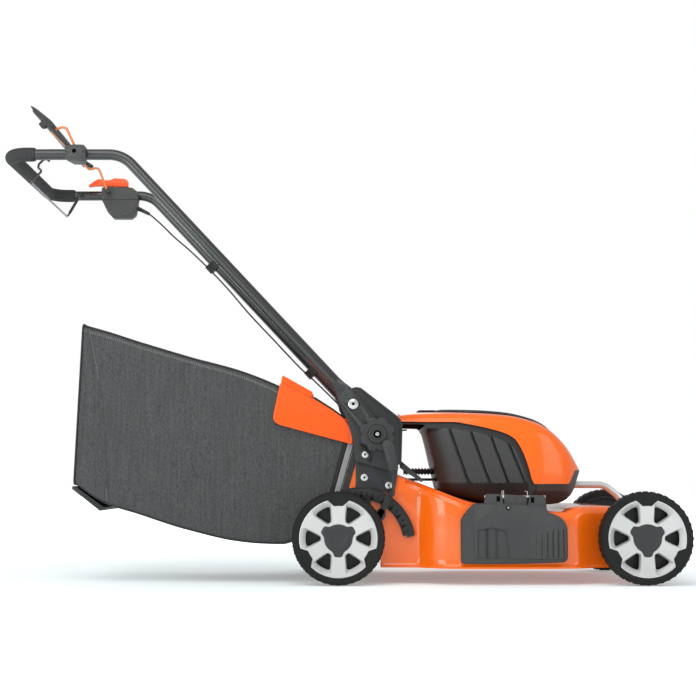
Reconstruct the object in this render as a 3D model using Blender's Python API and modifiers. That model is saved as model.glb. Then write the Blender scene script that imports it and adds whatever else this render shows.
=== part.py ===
"""Cordless lawn mower: solid model in metres, +X forward, +Y to the operator's left, +Z up.

The origin is on the ground under the middle of the machine's box. Right-hand pieces are at -Y.
"""
import math

import bmesh
import bpy
from mathutils import Matrix, Vector

# Running gear
WHEEL_RADIUS = 0.100
WHEEL_WIDTH = 0.047
WHEEL_FACE_Y = 0.270
REAR_AXLE_X = -0.006
FRONT_AXLE_X = 0.650
AXLE_Z = 0.100
RIM_RADIUS = 0.0838
HUB_BORE = 0.0066
AXLE_PIN = 0.0060
CRANK_BACK = 0.046
CRANK_DROP = 0.012
CRANK_INNER_Y = 0.2105
CRANK_OUTER_Y = 0.2200

# Deck and its rear tunnel
DECK_WALL = 0.0025
DECK_BOTTOM_Z = 0.035
DECK_REAR_X = 0.085
DECK_FRONT_X = 0.645
TUNNEL_HALF = 0.196
MOUTH_SLOPE = 0.28
BLADE_X = 0.340
BLADE_REACH = 0.230
CHUTE_X = (0.280, 0.455)
CHUTE_Z = (0.060, 0.140)

# Cowl over the motor and the battery
HOOD_WALL = 0.0016
HOUSING_INSET = 0.0022
HOUSING_WALL = 0.0045
LID_HALF = 0.080
LID_X = (0.213, 0.470)

# Handle
TUBE_RADIUS = 0.0120
TUBE_WALL = 0.0018
ARM_Y = 0.2265
GRIP_RADIUS = 0.0155
CROSSBAR_X = -0.7345
HANDLE_Z = 0.938
KNEE_X = -0.4823
FOLD_X = 0.0776
FOLD_Z = 0.3221
KNEE_RADIUS = 0.070
GRIP_CORNER = 0.042
ARM_TUBE_END = Vector((-0.0120, 0.0, 0.4355))
ARM_DIRECTION = (ARM_TUBE_END - Vector((KNEE_X, 0.0, HANDLE_Z))).normalized()
BAIL_PIVOT = (-0.585, 0.941)

# Layers outward from the tunnel, as distances from the middle plane
PLATE_LAYER = (0.1965, 0.2010)
BRACKET_LAYER = (0.2015, 0.2115)
QUADRANT_LAYER = (0.2015, 0.2060)
LEVER_LAYER = (0.2065, 0.2100)
GRIP_LAYER = (0.2535, 0.2695)

RUNNING_GAP = 0.0004
SIDES = {"right": -1, "left": 1}

# Finishes: colour, roughness, metallic
ORANGE = ((0.90, 0.16, 0.02), 0.28, 0.0)
DARK_PLASTIC = ((0.075, 0.075, 0.08), 0.55, 0.0)
BLACK_PLASTIC = ((0.02, 0.02, 0.022), 0.5, 0.0)
GREY_PLASTIC = ((0.13, 0.14, 0.14), 0.6, 0.0)
RIM_GREY = ((0.62, 0.62, 0.63), 0.4, 0.3)
TYRE_RUBBER = ((0.03, 0.03, 0.03), 0.8, 0.0)
FOAM = ((0.03, 0.03, 0.032), 0.85, 0.0)
TUBE_PAINT = ((0.07, 0.07, 0.075), 0.35, 0.4)
STEEL = ((0.55, 0.55, 0.55), 0.35, 1.0)
DARK_STEEL = ((0.12, 0.12, 0.13), 0.4, 0.9)
ALUMINIUM = ((0.80, 0.80, 0.80), 0.3, 1.0)
BAG_FABRIC = ((0.10, 0.10, 0.105), 0.9, 0.0)

PARTS = bpy.data.collections.new("cordless_lawn_mower")
CUTTERS = bpy.data.collections.new("cutters")


def start_clean():
    """Empty the scene and link the two collections."""
    for item in list(bpy.data.objects):
        bpy.data.objects.remove(item, do_unlink=True)
    bpy.context.scene.collection.children.link(PARTS)
    bpy.context.scene.collection.children.link(CUTTERS)


def dress(item, finish):
    """Give an object its own Principled material."""
    colour, roughness, metallic = finish
    material = bpy.data.materials.new(item.name)
    material.use_nodes = True
    shader = material.node_tree.nodes["Principled BSDF"]
    shader.inputs["Base Color"].default_value = (*colour, 1.0)
    shader.inputs["Roughness"].default_value = roughness
    shader.inputs["Metallic"].default_value = metallic
    material.diffuse_color = (*colour, 1.0)
    item.data.materials.clear()
    item.data.materials.append(material)


def new_object(name, data, finish=None):
    """Link an object to the parts, or to the cutters where it has no finish."""
    item = bpy.data.objects.new(name, data)
    (PARTS if finish else CUTTERS).objects.link(item)
    if finish:
        dress(item, finish)
    else:
        item.hide_render = True
        item.display_type = "WIRE"
    return item


def set_origin(item, point):
    """Put a mesh object's origin on a world point and leave its shape where it is."""
    bpy.context.view_layer.update()
    item.data.transform(item.matrix_world)
    item.data.transform(Matrix.Translation(-Vector(point)))
    item.matrix_world = Matrix.Translation(point)


def smooth(item, angle=32.0):
    """Shade a round piece smooth, with sharp edges kept."""
    item.data.shade_smooth()
    item.data.set_sharp_from_angle(angle=math.radians(angle))
    return item


def outward(mesh):
    """Weld a mesh and turn its faces outward."""
    work = bmesh.new()
    work.from_mesh(mesh)
    bmesh.ops.remove_doubles(work, verts=work.verts, dist=0.00001)
    bmesh.ops.recalc_face_normals(work, faces=work.faces)
    work.to_mesh(mesh)
    work.free()
    return mesh


def curve_to_mesh(item, name, finish):
    """Turn a curve object into a welded mesh object in the same place, and remove the curve."""
    bpy.context.view_layer.update()
    graph = bpy.context.evaluated_depsgraph_get()
    mesh = bpy.data.meshes.new_from_object(item.evaluated_get(graph))
    place = item.matrix_world.copy()
    bpy.data.objects.remove(item, do_unlink=True)
    outward(mesh)
    result = new_object(name, mesh, finish)
    result.matrix_world = place
    return result


def plate(name, outline, y_range, finish=None):
    """Flat piece: an outline in X and Z, as thick as its span in Y."""
    low, high = sorted(y_range)
    curve = bpy.data.curves.new(name, "CURVE")
    curve.dimensions = "2D"
    curve.fill_mode = "BOTH"
    curve.extrude = (high - low) / 2
    spline = curve.splines.new("POLY")
    spline.points.add(len(outline) - 1)
    for point, (x, z) in zip(spline.points, outline):
        point.co = (x, z, 0.0, 1.0)
    spline.use_cyclic_u = True
    item = bpy.data.objects.new(name + "_outline", curve)
    CUTTERS.objects.link(item)
    item.location = (0.0, (low + high) / 2, 0.0)
    item.rotation_euler = (math.pi / 2, 0.0, 0.0)
    return curve_to_mesh(item, name, finish)


def rod(name, points, radius, finish=None, resolution=2, as_mesh=True):
    """Round bar or cable along a list of points."""
    curve = bpy.data.curves.new(name, "CURVE")
    curve.dimensions = "3D"
    curve.bevel_depth = radius
    curve.bevel_resolution = resolution
    curve.use_fill_caps = True
    spline = curve.splines.new("POLY")
    spline.points.add(len(points) - 1)
    for point, place in zip(spline.points, points):
        point.co = (*place, 1.0)
    if not as_mesh:
        return new_object(name, curve, finish)
    item = bpy.data.objects.new(name + "_path", curve)
    CUTTERS.objects.link(item)
    return curve_to_mesh(item, name, finish)


def block(name, low, high, finish=None, bevel=0.0):
    """Box between two corners, with rounded edges where a bevel is given."""
    work = bmesh.new()
    bmesh.ops.create_cube(work, size=1.0)
    size = Vector(high) - Vector(low)
    bmesh.ops.scale(work, vec=size, verts=work.verts)
    bmesh.ops.translate(work, vec=(Vector(high) + Vector(low)) / 2, verts=work.verts)
    mesh = bpy.data.meshes.new(name)
    work.to_mesh(mesh)
    work.free()
    item = new_object(name, mesh, finish)
    if bevel:
        edge = item.modifiers.new("edge", "BEVEL")
        edge.width = bevel
        edge.segments = 1
    return item


def cylinder(name, start, end, radius, finish=None, sides=20):
    """Round bar between two points, made from a capped cylinder."""
    start, end = Vector(start), Vector(end)
    work = bmesh.new()
    bmesh.ops.create_cone(work, cap_ends=True, segments=sides, radius1=radius, radius2=radius,
                          depth=(end - start).length)
    turn = (end - start).to_track_quat("Z", "Y").to_matrix().to_4x4()
    bmesh.ops.transform(work, matrix=Matrix.Translation((start + end) / 2) @ turn, verts=work.verts)
    mesh = bpy.data.meshes.new(name)
    work.to_mesh(mesh)
    work.free()
    return new_object(name, mesh, finish)


def turned(name, profile, steps, finish=None, closed=True):
    """Turned piece about its own Z axis from (radius, height) pairs that run down its outer side."""
    mesh = bpy.data.meshes.new(name)
    count = len(profile)
    edges = [(i, i + 1) for i in range(count - 1)]
    if closed:
        edges.append((count - 1, 0))
    mesh.from_pydata([(radius, 0.0, height) for radius, height in profile], edges, [])
    item = new_object(name, mesh, finish)
    screw = item.modifiers.new("turn", "SCREW")
    screw.axis = "Z"
    screw.steps = steps
    screw.render_steps = steps
    screw.use_merge_vertices = True
    screw.merge_threshold = 0.00001
    screw.use_smooth_shade = True
    return item


def freeze(item):
    """Replace an object's mesh with its evaluated one, welded and facing outward."""
    bpy.context.view_layer.update()
    graph = bpy.context.evaluated_depsgraph_get()
    mesh = bpy.data.meshes.new_from_object(item.evaluated_get(graph))
    item.modifiers.clear()
    item.data = outward(mesh)
    return item


def loft(name, rings, finish=None, ring_closed=False, split=False):
    """Skin over unlike sections with the same number of points; split halves each four-sided face."""
    work = bmesh.new()
    rows = [[work.verts.new(point) for point in ring] for ring in rings]
    count = len(rings[0])
    pairs = list(zip(rows, rows[1:]))
    if ring_closed:
        pairs.append((rows[-1], rows[0]))
    for first, second in pairs:
        for i in range(count):
            j = (i + 1) % count
            if split:
                work.faces.new((first[i], first[j], second[j]))
                work.faces.new((first[i], second[j], second[i]))
            else:
                work.faces.new((first[i], first[j], second[j], second[i]))
    if not ring_closed:
        work.faces.new(rows[0])
        work.faces.new(rows[-1])
    bmesh.ops.recalc_face_normals(work, faces=work.faces)
    mesh = bpy.data.meshes.new(name)
    work.to_mesh(mesh)
    work.free()
    return new_object(name, mesh, finish)


def combine(target, tools, operation):
    """Add one Boolean modifier for each tool, and keep the tools among the cutters."""
    for tool in tools:
        if tool.name in PARTS.objects:
            PARTS.objects.unlink(tool)
            CUTTERS.objects.link(tool)
        tool.hide_render = True
        tool.display_type = "WIRE"
        step = target.modifiers.new(tool.name, "BOOLEAN")
        step.operation = operation
        step.object = tool
    return target


def cut(target, *tools):
    """Take the tools' space out of the target."""
    return combine(target, tools, "DIFFERENCE")


def join(target, *tools):
    """Unite the tools with the target."""
    return combine(target, tools, "UNION")


def line(a, b, t):
    """Value a part t of the way from a to b."""
    return a + (b - a) * t


def along(table, x):
    """Read a value at x from a short list of (x, value) design points."""
    for (x0, v0), (x1, v1) in zip(table, table[1:]):
        if x <= x1:
            return line(v0, v1, max(0.0, (x - x0) / (x1 - x0)))
    return table[-1][1]


def arc(cx, cz, radius, start, end, steps):
    """Points on an arc, with the angles in degrees from +X towards +Z."""
    angles = [math.radians(line(start, end, i / steps)) for i in range(steps + 1)]
    return [(cx + radius * math.cos(a), cz + radius * math.sin(a)) for a in angles]


def capsule(a, b, half, steps=6):
    """Outline with round ends around the line from a to b."""
    turn = math.degrees(math.atan2(b[1] - a[1], b[0] - a[0]))
    return arc(*b, half, turn - 90, turn + 90, steps) + arc(*a, half, turn + 90, turn + 270, steps)


def rounded_path(corners, radii, steps=5):
    """Path through corner points in space, each rounded by its own radius."""
    points = [Vector(corners[0])]
    for before, corner, after, radius in zip(corners, corners[1:], corners[2:], radii):
        corner = Vector(corner)
        back = (Vector(before) - corner).normalized()
        ahead = (Vector(after) - corner).normalized()
        half = back.angle(ahead) / 2
        centre = corner + (back + ahead).normalized() * radius / math.sin(half)
        first = corner + back * radius / math.tan(half) - centre
        last = corner + ahead * radius / math.tan(half) - centre
        sweep = first.angle(last)
        for i in range(steps + 1):
            t = i / steps
            mix = first * math.sin((1 - t) * sweep) + last * math.sin(t * sweep)
            points.append(centre + mix / math.sin(sweep))
    points.append(Vector(corners[-1]))
    return points


def pipe_rings(points, radius, sides, flip=False):
    """Circular sections square to a path, carried along it without twist."""
    rings = []
    side = None
    for i, point in enumerate(points):
        ahead = points[min(i + 1, len(points) - 1)] - points[max(i - 1, 0)]
        ahead.normalize()
        if side is None:
            side = ahead.orthogonal().normalized()
        side = (side - ahead * side.dot(ahead)).normalized()
        third = ahead.cross(side)
        angles = [2 * math.pi * k / sides for k in range(sides)]
        rings.append([point + radius * (side * math.cos(a) + third * math.sin(a)) for a in angles])
    return rings[::-1] if flip else rings


def hollow_pipe(name, points, outer, inner, sides, finish):
    """Tube with a bore: outer sections there, inner sections back."""
    rings = pipe_rings(points, outer, sides) + pipe_rings(points, inner, sides, flip=True)
    return smooth(loft(name, rings, finish, ring_closed=True))


# Deck

DECK_HALF = [(0.085, 0.1955), (0.135, 0.1955), (0.165, 0.1985), (0.190, 0.218), (0.222, 0.238),
             (0.262, 0.2465), (0.340, 0.2485), (0.430, 0.2465), (0.500, 0.236), (0.540, 0.214),
             (0.570, 0.199), (0.645, 0.195)]
DECK_TOP = [(0.085, 0.252), (0.127, 0.2345), (0.192, 0.2086), (0.291, 0.1743), (0.340, 0.1680),
            (0.472, 0.1660), (0.570, 0.1700), (0.645, 0.1600)]


def deck_ring(x_rear, x_front, inset, height):
    """Plan outline of the deck at one level, from the rear right corner round to the rear left."""
    stations = [x_rear, 0.135, 0.165, 0.190, 0.222, 0.262, 0.300, 0.340, 0.385, 0.430, 0.470,
                0.500, 0.540, 0.570, 0.610, x_front]
    right = [Vector((x, -(along(DECK_HALF, x) - inset), height(x))) for x in stations]
    left = [Vector((p.x, -p.y, p.z)) for p in reversed(right)]
    return right + left


def deck_shape(name, wall, lip, floor, finish=None):
    """Closed bowl; the inner one is smaller by the wall and runs out of the bottom."""
    rear, front = DECK_REAR_X + wall, DECK_FRONT_X - wall
    rings = [deck_ring(rear, front, wall - lip, lambda x: floor),
             deck_ring(rear, front, wall - lip, lambda x: floor + 0.004),
             deck_ring(rear, front, wall, lambda x: floor + 0.010),
             deck_ring(rear, front, wall, lambda x: along(DECK_TOP, x) - 0.022 - wall),
             deck_ring(rear, front, wall + 0.006, lambda x: along(DECK_TOP, x) - 0.010 - wall),
             deck_ring(rear + 0.004, front - 0.006, wall + 0.022, lambda x: along(DECK_TOP, x) - wall)]
    item = loft(name, rings, finish)
    level_caps(item.data, len(rings[0]))
    return item


def level_caps(mesh, count):
    """Replace the two end caps with strips between matching right and left points."""
    work = bmesh.new()
    work.from_mesh(mesh)
    caps = [face for face in work.faces if len(face.verts) == count]
    bmesh.ops.delete(work, geom=caps, context="FACES_ONLY")
    work.verts.ensure_lookup_table()
    for start in (0, len(work.verts) - count):
        for i in range(count // 2 - 1):
            corners = (i, i + 1, count - 2 - i, count - 1 - i)
            work.faces.new([work.verts[start + k] for k in corners])
    bmesh.ops.recalc_face_normals(work, faces=work.faces)
    work.to_mesh(mesh)
    work.free()


def mouth_x(z):
    """Where the tunnel's slanting mouth stands at a height."""
    return 0.026 - MOUTH_SLOPE * (0.295 - z)


def tunnel_shape(name, wall, reach, finish=None):
    """Closed tunnel from inside the bowl back to the slanting mouth."""
    half = TUNNEL_HALF - wall
    floor = 0.1080 + wall
    top = [(0.140, 0.2290), (0.118, 0.2370), (0.090, 0.2640), (0.058, 0.3100), (0.040, 0.3340)]
    rings = []
    for i, (x, z_top) in enumerate(top):
        last = i == len(top) - 1
        back = reach if last else 0.0
        t = i / (len(top) - 1)
        z_high = z_top - wall
        x_low = line(x, mouth_x(floor), t) - back
        x_high = x - back
        mid = line(x_low, x_high, 0.8)
        right = [Vector((x_low, -half, floor)), Vector((mid, -half, line(floor, z_high, 0.8))),
                 Vector((x_high, -half + 0.010, z_high))]
        rings.append(right + [Vector((p.x, -p.y, p.z)) for p in reversed(right)])
    return loft(name, rings, finish)


def make_deck():
    """Pressed deck: a bowl and a tunnel in one skin, open below, behind and at the side chute."""
    deck = deck_shape("deck", 0.0, 0.004, DECK_BOTTOM_Z, ORANGE)
    tunnel = tunnel_shape("deck_tunnel", 0.0, 0.0)
    bowl_space = deck_shape("deck_bowl_space", DECK_WALL, 0.0, DECK_BOTTOM_Z - 0.020)
    tunnel_space = tunnel_shape("deck_tunnel_space", DECK_WALL, 0.020)
    chute = block("deck_chute", (CHUTE_X[0], -0.30, CHUTE_Z[0]), (CHUTE_X[1], -0.20, CHUTE_Z[1]))
    shaft = cylinder("deck_shaft_hole", (BLADE_X, 0, 0.14), (BLADE_X, 0, 0.19), 0.0105, sides=16)
    join(deck, tunnel)
    cut(deck, bowl_space, tunnel_space, chute, shaft)


SHIELD_HINGE = (0.0050, 0.0990)


def make_trailing_shield():
    """Plate that hangs behind the deck, under the tunnel's mouth."""
    x, z = SHIELD_HINGE
    shield = cylinder("trailing_shield", (x, -0.185, z), (x, 0.185, z), 0.0050, BLACK_PLASTIC, 12)
    join(shield, block("trailing_sheet", (x - 0.002, -0.184, 0.0240), (x + 0.002, 0.184, z)))
    set_origin(shield, (x, 0.0, z))


# Cowl: hood, housing and lid

COWL_HALF = [(0.130, 0.155), (0.170, 0.162), (0.230, 0.166), (0.300, 0.167), (0.370, 0.166),
             (0.430, 0.161), (0.460, 0.153), (0.484, 0.143), (0.508, 0.129), (0.526, 0.110),
             (0.540, 0.086), (0.552, 0.052)]
COWL_SHOULDER = [(0.130, 0.3690), (0.170, 0.3720), (0.230, 0.3730), (0.300, 0.3715), (0.370, 0.3665),
                 (0.430, 0.3545), (0.460, 0.3425), (0.484, 0.3265), (0.508, 0.3050), (0.526, 0.2840),
                 (0.540, 0.2640), (0.552, 0.2475)]
COWL_BOTTOM = [(0.130, 0.1760), (0.455, 0.1760), (0.484, 0.1800), (0.508, 0.1910), (0.526, 0.2080),
               (0.540, 0.2230), (0.552, 0.2370)]
COWL_STATIONS = [x for x, _ in COWL_HALF]


def cowl_height(x, y, inset):
    """Height of the cowl's top at a place across it."""
    spread = min(1.0, abs(y) / max(along(COWL_HALF, x) - inset - 0.022, 0.01))
    return along(COWL_SHOULDER, x) + 0.006 * (1 - spread * spread) - inset


def cowl_section(x, x_out, inset, drop):
    """Section across the cowl at one station, smaller all round by the inset and lower by the drop."""
    half = along(COWL_HALF, x) - inset
    shoulder = along(COWL_SHOULDER, x) - inset
    bottom = along(COWL_BOTTOM, x)
    waist = line(bottom, shoulder, 0.45)
    right = [(-half + 0.004, bottom - drop), (-half + 0.004, bottom),
             (-half, line(bottom, waist, 0.4)), (-half, waist),
             (-half + 0.003, line(waist, shoulder, 0.68)),
             (-half + 0.009, shoulder - min(0.012, 0.24 * (shoulder - waist))),
             (-half + 0.022, shoulder), (-half * 0.48, cowl_height(x, half * 0.48, inset))]
    section = right + [(0.0, cowl_height(x, 0.0, inset))] + [(-y, z) for y, z in reversed(right)]
    return [Vector((x_out, y, z)) for y, z in section]


def cowl_shape(name, inset, drop, finish=None):
    """Closed body with the cowl's outer form, smaller all round by the inset and lower by the drop."""
    rings = []
    for i, x in enumerate(COWL_STATIONS):
        forward = inset * max(0.0, (x - 0.46) / 0.092)
        rear = inset if i == 0 else 0.0
        rings.append(cowl_section(x, x + rear - forward, inset, drop))
    return loft(name, rings, finish, split=True)


HOOD_EDGE = [(0.100, 0.3540), (0.200, 0.3520), (0.248, 0.3520), (0.280, 0.3470), (0.325, 0.3375),
             (0.362, 0.3265), (0.383, 0.3140), (0.400, 0.2870), (0.4115, 0.2566), (0.4245, 0.2155),
             (0.506, 0.2155), (0.520, 0.2320), (0.532, 0.2460), (0.600, 0.2460)]


def hood_region(name, drop, clip_front):
    """Block that covers everything under the hood's edge; the drop leaves a parting gap."""
    edge = [(x, z - drop) for x, z in HOOD_EDGE]
    return plate(name, edge + [(clip_front, 0.10), (0.100, 0.10)], (-0.20, 0.20))


def make_hood():
    """Orange hood: the cowl's skin above its edge, open under the battery lid."""
    hood = cowl_shape("top_hood", 0.0, 0.002, ORANGE)
    space = cowl_shape("hood_space", HOOD_WALL, 0.020)
    battery = block("hood_battery_opening", (0.226, -0.0725, 0.30), (0.4445, 0.0725, 0.42))
    cut(hood, space, hood_region("hood_below", 0.0, 0.600), battery)


HOUSING_SIDE = [(0.1340, 0.3540), (0.1340, 0.3490), (0.1894, 0.3470), (0.2218, 0.2236), (0.2270, 0.2080),
                (0.2400, 0.1970), (0.3271, 0.1725), (0.4593, 0.1770), (0.4850, 0.1810), (0.5080, 0.1930),
                (0.5320, 0.2380), (0.6000, 0.2600), (0.6000, 0.4500), (0.1340, 0.4500)]
HOUSING_SPACE_SIDE = [(0.1385, 0.4600), (0.1385, 0.3530), (0.1935, 0.3510), (0.2264, 0.2250),
                      (0.2320, 0.2100), (0.2450, 0.1900), (0.2500, 0.1500), (0.4600, 0.1500),
                      (0.4980, 0.1700), (0.5200, 0.1950), (0.5450, 0.2200), (0.6100, 0.2400),
                      (0.6100, 0.4600)]


def make_housing():
    """Dark motor housing with slanting louvre grooves, open below on to the deck and above."""
    housing = cowl_shape("motor_housing", HOUSING_INSET, 0.012, DARK_PLASTIC)
    profile = plate("housing_profile", HOUSING_SIDE, (-0.20, 0.20))
    inner = cowl_shape("housing_space", HOUSING_INSET + HOUSING_WALL, 0.030)
    combine(inner, [plate("housing_space_profile", HOUSING_SPACE_SIDE, (-0.22, 0.22))], "INTERSECT")
    combine(housing, [profile], "INTERSECT")
    top = block("housing_top", (0.10, -0.15, 0.3550), (0.60, 0.15, 0.40))
    cut(housing, inner, top)
    for side in SIDES.values():
        for i in range(4):
            foot = 0.275 + 0.0405 * i
            head = 0.332 - 0.008 * i
            groove = plate(f"housing_groove_{side}_{i}",
                           [(foot, 0.240), (foot + 0.004, 0.240), (foot - 0.030, head), (foot - 0.034, head)],
                           (side * (along(COWL_HALF, foot) - 0.0048), side * 0.180))
            cut(housing, groove)


def make_battery_lid():
    """Black lid over the battery opening, hinged at its front end."""
    xs = [LID_X[0], 0.240, 0.300, 0.335, 0.370, 0.400, 0.430, 0.460, LID_X[1]]
    rings = []
    for i, x in enumerate(xs):
        thick = 0.0025 if i in (0, len(xs) - 1) else 0.0050
        under = [Vector((x, y, cowl_height(x, y, 0.0) + 0.0016)) for y in (-LID_HALF, -0.04, 0.0, 0.04, LID_HALF)]
        over = [Vector((x, p.y * 0.95, p.z + thick)) for p in reversed(under)]
        rings.append(under + over)
    lid = loft("battery_lid", rings, BLACK_PLASTIC)
    tongue_z = cowl_height(0.218, 0.0, 0.0)
    tongue = block("lid_tongue", (0.1745, -0.028, tongue_z + 0.0016), (0.2180, 0.028, tongue_z + 0.0052))
    join(lid, tongue)
    set_origin(smooth(lid), (LID_X[1], 0.0, cowl_height(LID_X[1], 0.0, 0.0) + 0.002))


def make_battery():
    """Open battery bay with the pack standing in it."""
    bay = block("battery_bay", (0.2300, -0.0700, 0.2560), (0.4220, 0.0700, 0.3480), BLACK_PLASTIC)
    cut(bay, block("bay_space", (0.2330, -0.0670, 0.2590), (0.4190, 0.0670, 0.3900)))
    pack = block("battery_pack", (0.2560, -0.0420, 0.2600), (0.4120, 0.0420, 0.3430), DARK_PLASTIC, 0.006)
    handle = block("battery_handle", (0.3000, -0.0300, 0.3400), (0.3680, 0.0300, 0.3510))
    join(pack, handle)


def make_motor():
    """Motor, shaft, blade adapter, blade, bolt and controller on the blade's axis."""
    motor = cylinder("motor_can", (BLADE_X, 0, 0.1860), (BLADE_X, 0, 0.2500), 0.062, STEEL, 28)
    bore = cylinder("motor_bore", (BLADE_X, 0, 0.150), (BLADE_X, 0, 0.2350), 0.0068, sides=16)
    neck = cylinder("motor_neck", (BLADE_X, 0, 0.1750), (BLADE_X, 0, 0.1900), 0.034, sides=20)
    cut(join(smooth(motor), neck), bore)
    shaft = cylinder("motor_shaft", (BLADE_X, 0, 0.0720), (BLADE_X, 0, 0.2340), 0.0064, STEEL, 16)
    set_origin(smooth(shaft), (BLADE_X, 0.0, 0.1))
    adapter = cylinder("blade_adapter", (BLADE_X, 0, 0.0490), (BLADE_X, 0, 0.0716), 0.021, DARK_STEEL, 20)
    set_origin(smooth(adapter), (BLADE_X, 0.0, 0.06))
    blade = block("blade", (BLADE_X - BLADE_REACH, -0.024, 0.0446), (BLADE_X + BLADE_REACH, 0.024, 0.0486),
                  DARK_STEEL)
    wings = []
    for way in (-1, 1):
        tip = BLADE_X + way * BLADE_REACH
        root = BLADE_X + way * (BLADE_REACH - 0.075)
        edge = -way * 0.024
        ring = [[Vector((x, edge * 0.5, 0.0450)), Vector((x, edge * 0.98, 0.0450)),
                 Vector((x, edge * 0.98, z)), Vector((x, edge * 0.5, 0.0480))]
                for x, z in ((root, 0.0482), (line(root, tip, 0.35), 0.0600), (tip - way * 0.001, 0.0620))]
        wings.append(loft(f"blade_wing_{way}", ring))
    join(blade, *wings)
    set_origin(blade, (BLADE_X, 0.0, 0.0466))
    bolt = cylinder("blade_bolt", (BLADE_X, 0, 0.0362), (BLADE_X, 0, 0.0442), 0.0105, STEEL, 6)
    set_origin(bolt, (BLADE_X, 0.0, 0.040))
    block("controller", (0.4600, -0.060, 0.2100), (0.4980, 0.060, 0.2900), BLACK_PLASTIC, 0.003)


CARRY_CORNERS = [(0.5560, 0.0, 0.2125), (0.6080, 0.0, 0.2125), (0.6440, 0.0, 0.1830),
                 (0.6670, 0.0, 0.1330)]


def make_carry_tube():
    """Light tube from the housing's nose forward and down to the axle cover."""
    rod("front_carry_tube", rounded_path(CARRY_CORNERS, [0.045, 0.060], 4), 0.0078, ALUMINIUM)


# Running gear

def wheel_tyre(name):
    """Tyre about its own Z axis with three rubber lobes that reach into the rim; its face is at 0."""
    profile = [(0.0843, 0.0), (0.0955, 0.0), (0.0992, -0.006), (WHEEL_RADIUS, -0.012),
               (WHEEL_RADIUS, -0.035), (0.0985, -0.043), (0.0945, -WHEEL_WIDTH), (0.0843, -WHEEL_WIDTH)]
    tyre = turned(name, profile[::1], 24, TYRE_RUBBER)
    freeze(tyre)
    join(tyre, *[lobe(f"{name}_lobe_{i}", 90 + 120 * i, 0.0, -0.0004, -0.0060) for i in range(3)])
    return tyre


def lobe(name, angle, grow, top, bottom):
    """Wedge on the wheel's face, narrow towards the hub."""
    corners = [(0.0685 - grow, -0.010 - grow), (0.0880, -0.0265 - grow), (0.0880, 0.0265 + grow),
               (0.0685 - grow, 0.010 + grow)]
    turn = math.radians(angle)
    flat = [(r * math.cos(turn) - s * math.sin(turn), r * math.sin(turn) + s * math.cos(turn))
            for r, s in corners]
    return loft(name, [[Vector((x, y, z)) for x, y in flat] for z in (top, bottom)])


def wheel_rim(name):
    """Rim about its own Z axis: hub, dished face with six windows, and barrel."""
    profile = [(HUB_BORE, -0.0045), (0.0300, -0.0045), (0.0380, -0.0026), (0.0790, -0.0016),
               (RIM_RADIUS, -0.0036), (RIM_RADIUS, -0.0450), (0.0792, -0.0450), (0.0792, -0.0090),
               (0.0170, -0.0100), (0.0170, -0.0460), (HUB_BORE, -0.0460)]
    rim = freeze(turned(name, profile, 24, RIM_GREY))
    cut(rim, *[lobe(f"{name}_notch_{i}", 90 + 120 * i, RUNNING_GAP, 0.002, -0.0064) for i in range(3)])
    for i in range(6):
        turn = math.radians(60 * i)
        corners = [(0.0400, 0.0), (0.0600, -0.0150), (0.0655, 0.0), (0.0600, 0.0150)]
        flat = [(r * math.cos(turn) - s * math.sin(turn), r * math.sin(turn) + s * math.cos(turn))
                for r, s in corners]
        cut(rim, loft(f"{name}_window_{i}", [[Vector((x, y, z)) for x, y in flat] for z in (0.002, -0.016)]))
    return rim


def hub_cap(name):
    """Cap about its own Z axis: a round plate with three broad lobes, domed in the middle."""
    def radius(angle):
        off = min(abs((angle - 30 - 120 * k + 180) % 360 - 180) for k in range(3))
        return 0.030 + 0.0094 / (1 + (off / 17.0) ** 6)
    count = 36
    rings = []
    for scale, z in ((1.0, -0.0042), (1.0, -0.0012), (0.93, 0.0), (0.45, 0.0)):
        rings.append([Vector((scale * radius(360 * k / count) * math.cos(2 * math.pi * k / count),
                              scale * radius(360 * k / count) * math.sin(2 * math.pi * k / count), z))
                      for k in range(count)])
    rim_floor = -0.0041
    for point in rings[0]:
        point.z = rim_floor if point.length < 0.031 else -0.0022
    return loft(name, rings, DARK_PLASTIC)


def place_wheel_piece(item, x, side):
    """Turn a wheel piece's own +Z outward and put its origin on the wheel's axis."""
    freeze(item)
    turn = Matrix.Rotation(math.pi / 2, 4, "X")
    if side > 0:
        turn = Matrix.Rotation(math.pi, 4, "Z") @ turn
    item.data.transform(Matrix.Translation((0.0, side * WHEEL_FACE_Y, 0.0)) @ turn)
    item.matrix_world = Matrix.Translation((x, 0.0, AXLE_Z))
    smooth(item)


def make_wheels():
    """Four wheels, each a tyre, a rim and a hub cap."""
    for end, x in (("rear", REAR_AXLE_X), ("front", FRONT_AXLE_X)):
        for hand, side in SIDES.items():
            for piece, builder in (("tyre", wheel_tyre), ("rim", wheel_rim), ("hub_cap", hub_cap)):
                place_wheel_piece(builder(f"{end}_{hand}_{piece}"), x, side)


def make_axle(name, wheel_x):
    """Crank axle: a cross shaft, a crank at each end and a stub for each wheel."""
    pivot = (wheel_x + CRANK_BACK, AXLE_Z - CRANK_DROP)
    middle = (CRANK_INNER_Y + CRANK_OUTER_Y) / 2
    axle = cylinder(name, (pivot[0], -middle, pivot[1]), (pivot[0], middle, pivot[1]), AXLE_PIN, DARK_STEEL, 12)
    for side in SIDES.values():
        crank = plate(f"{name}_crank_{side}", capsule(pivot, (wheel_x, AXLE_Z), 0.009, 5),
                      (side * CRANK_INNER_Y, side * CRANK_OUTER_Y))
        stub = cylinder(f"{name}_stub_{side}", (wheel_x, side * middle, AXLE_Z),
                        (wheel_x, side * (WHEEL_FACE_Y - 0.009), AXLE_Z), AXLE_PIN, sides=12)
        join(axle, crank, stub)
    set_origin(axle, (pivot[0], 0.0, pivot[1]))


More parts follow.
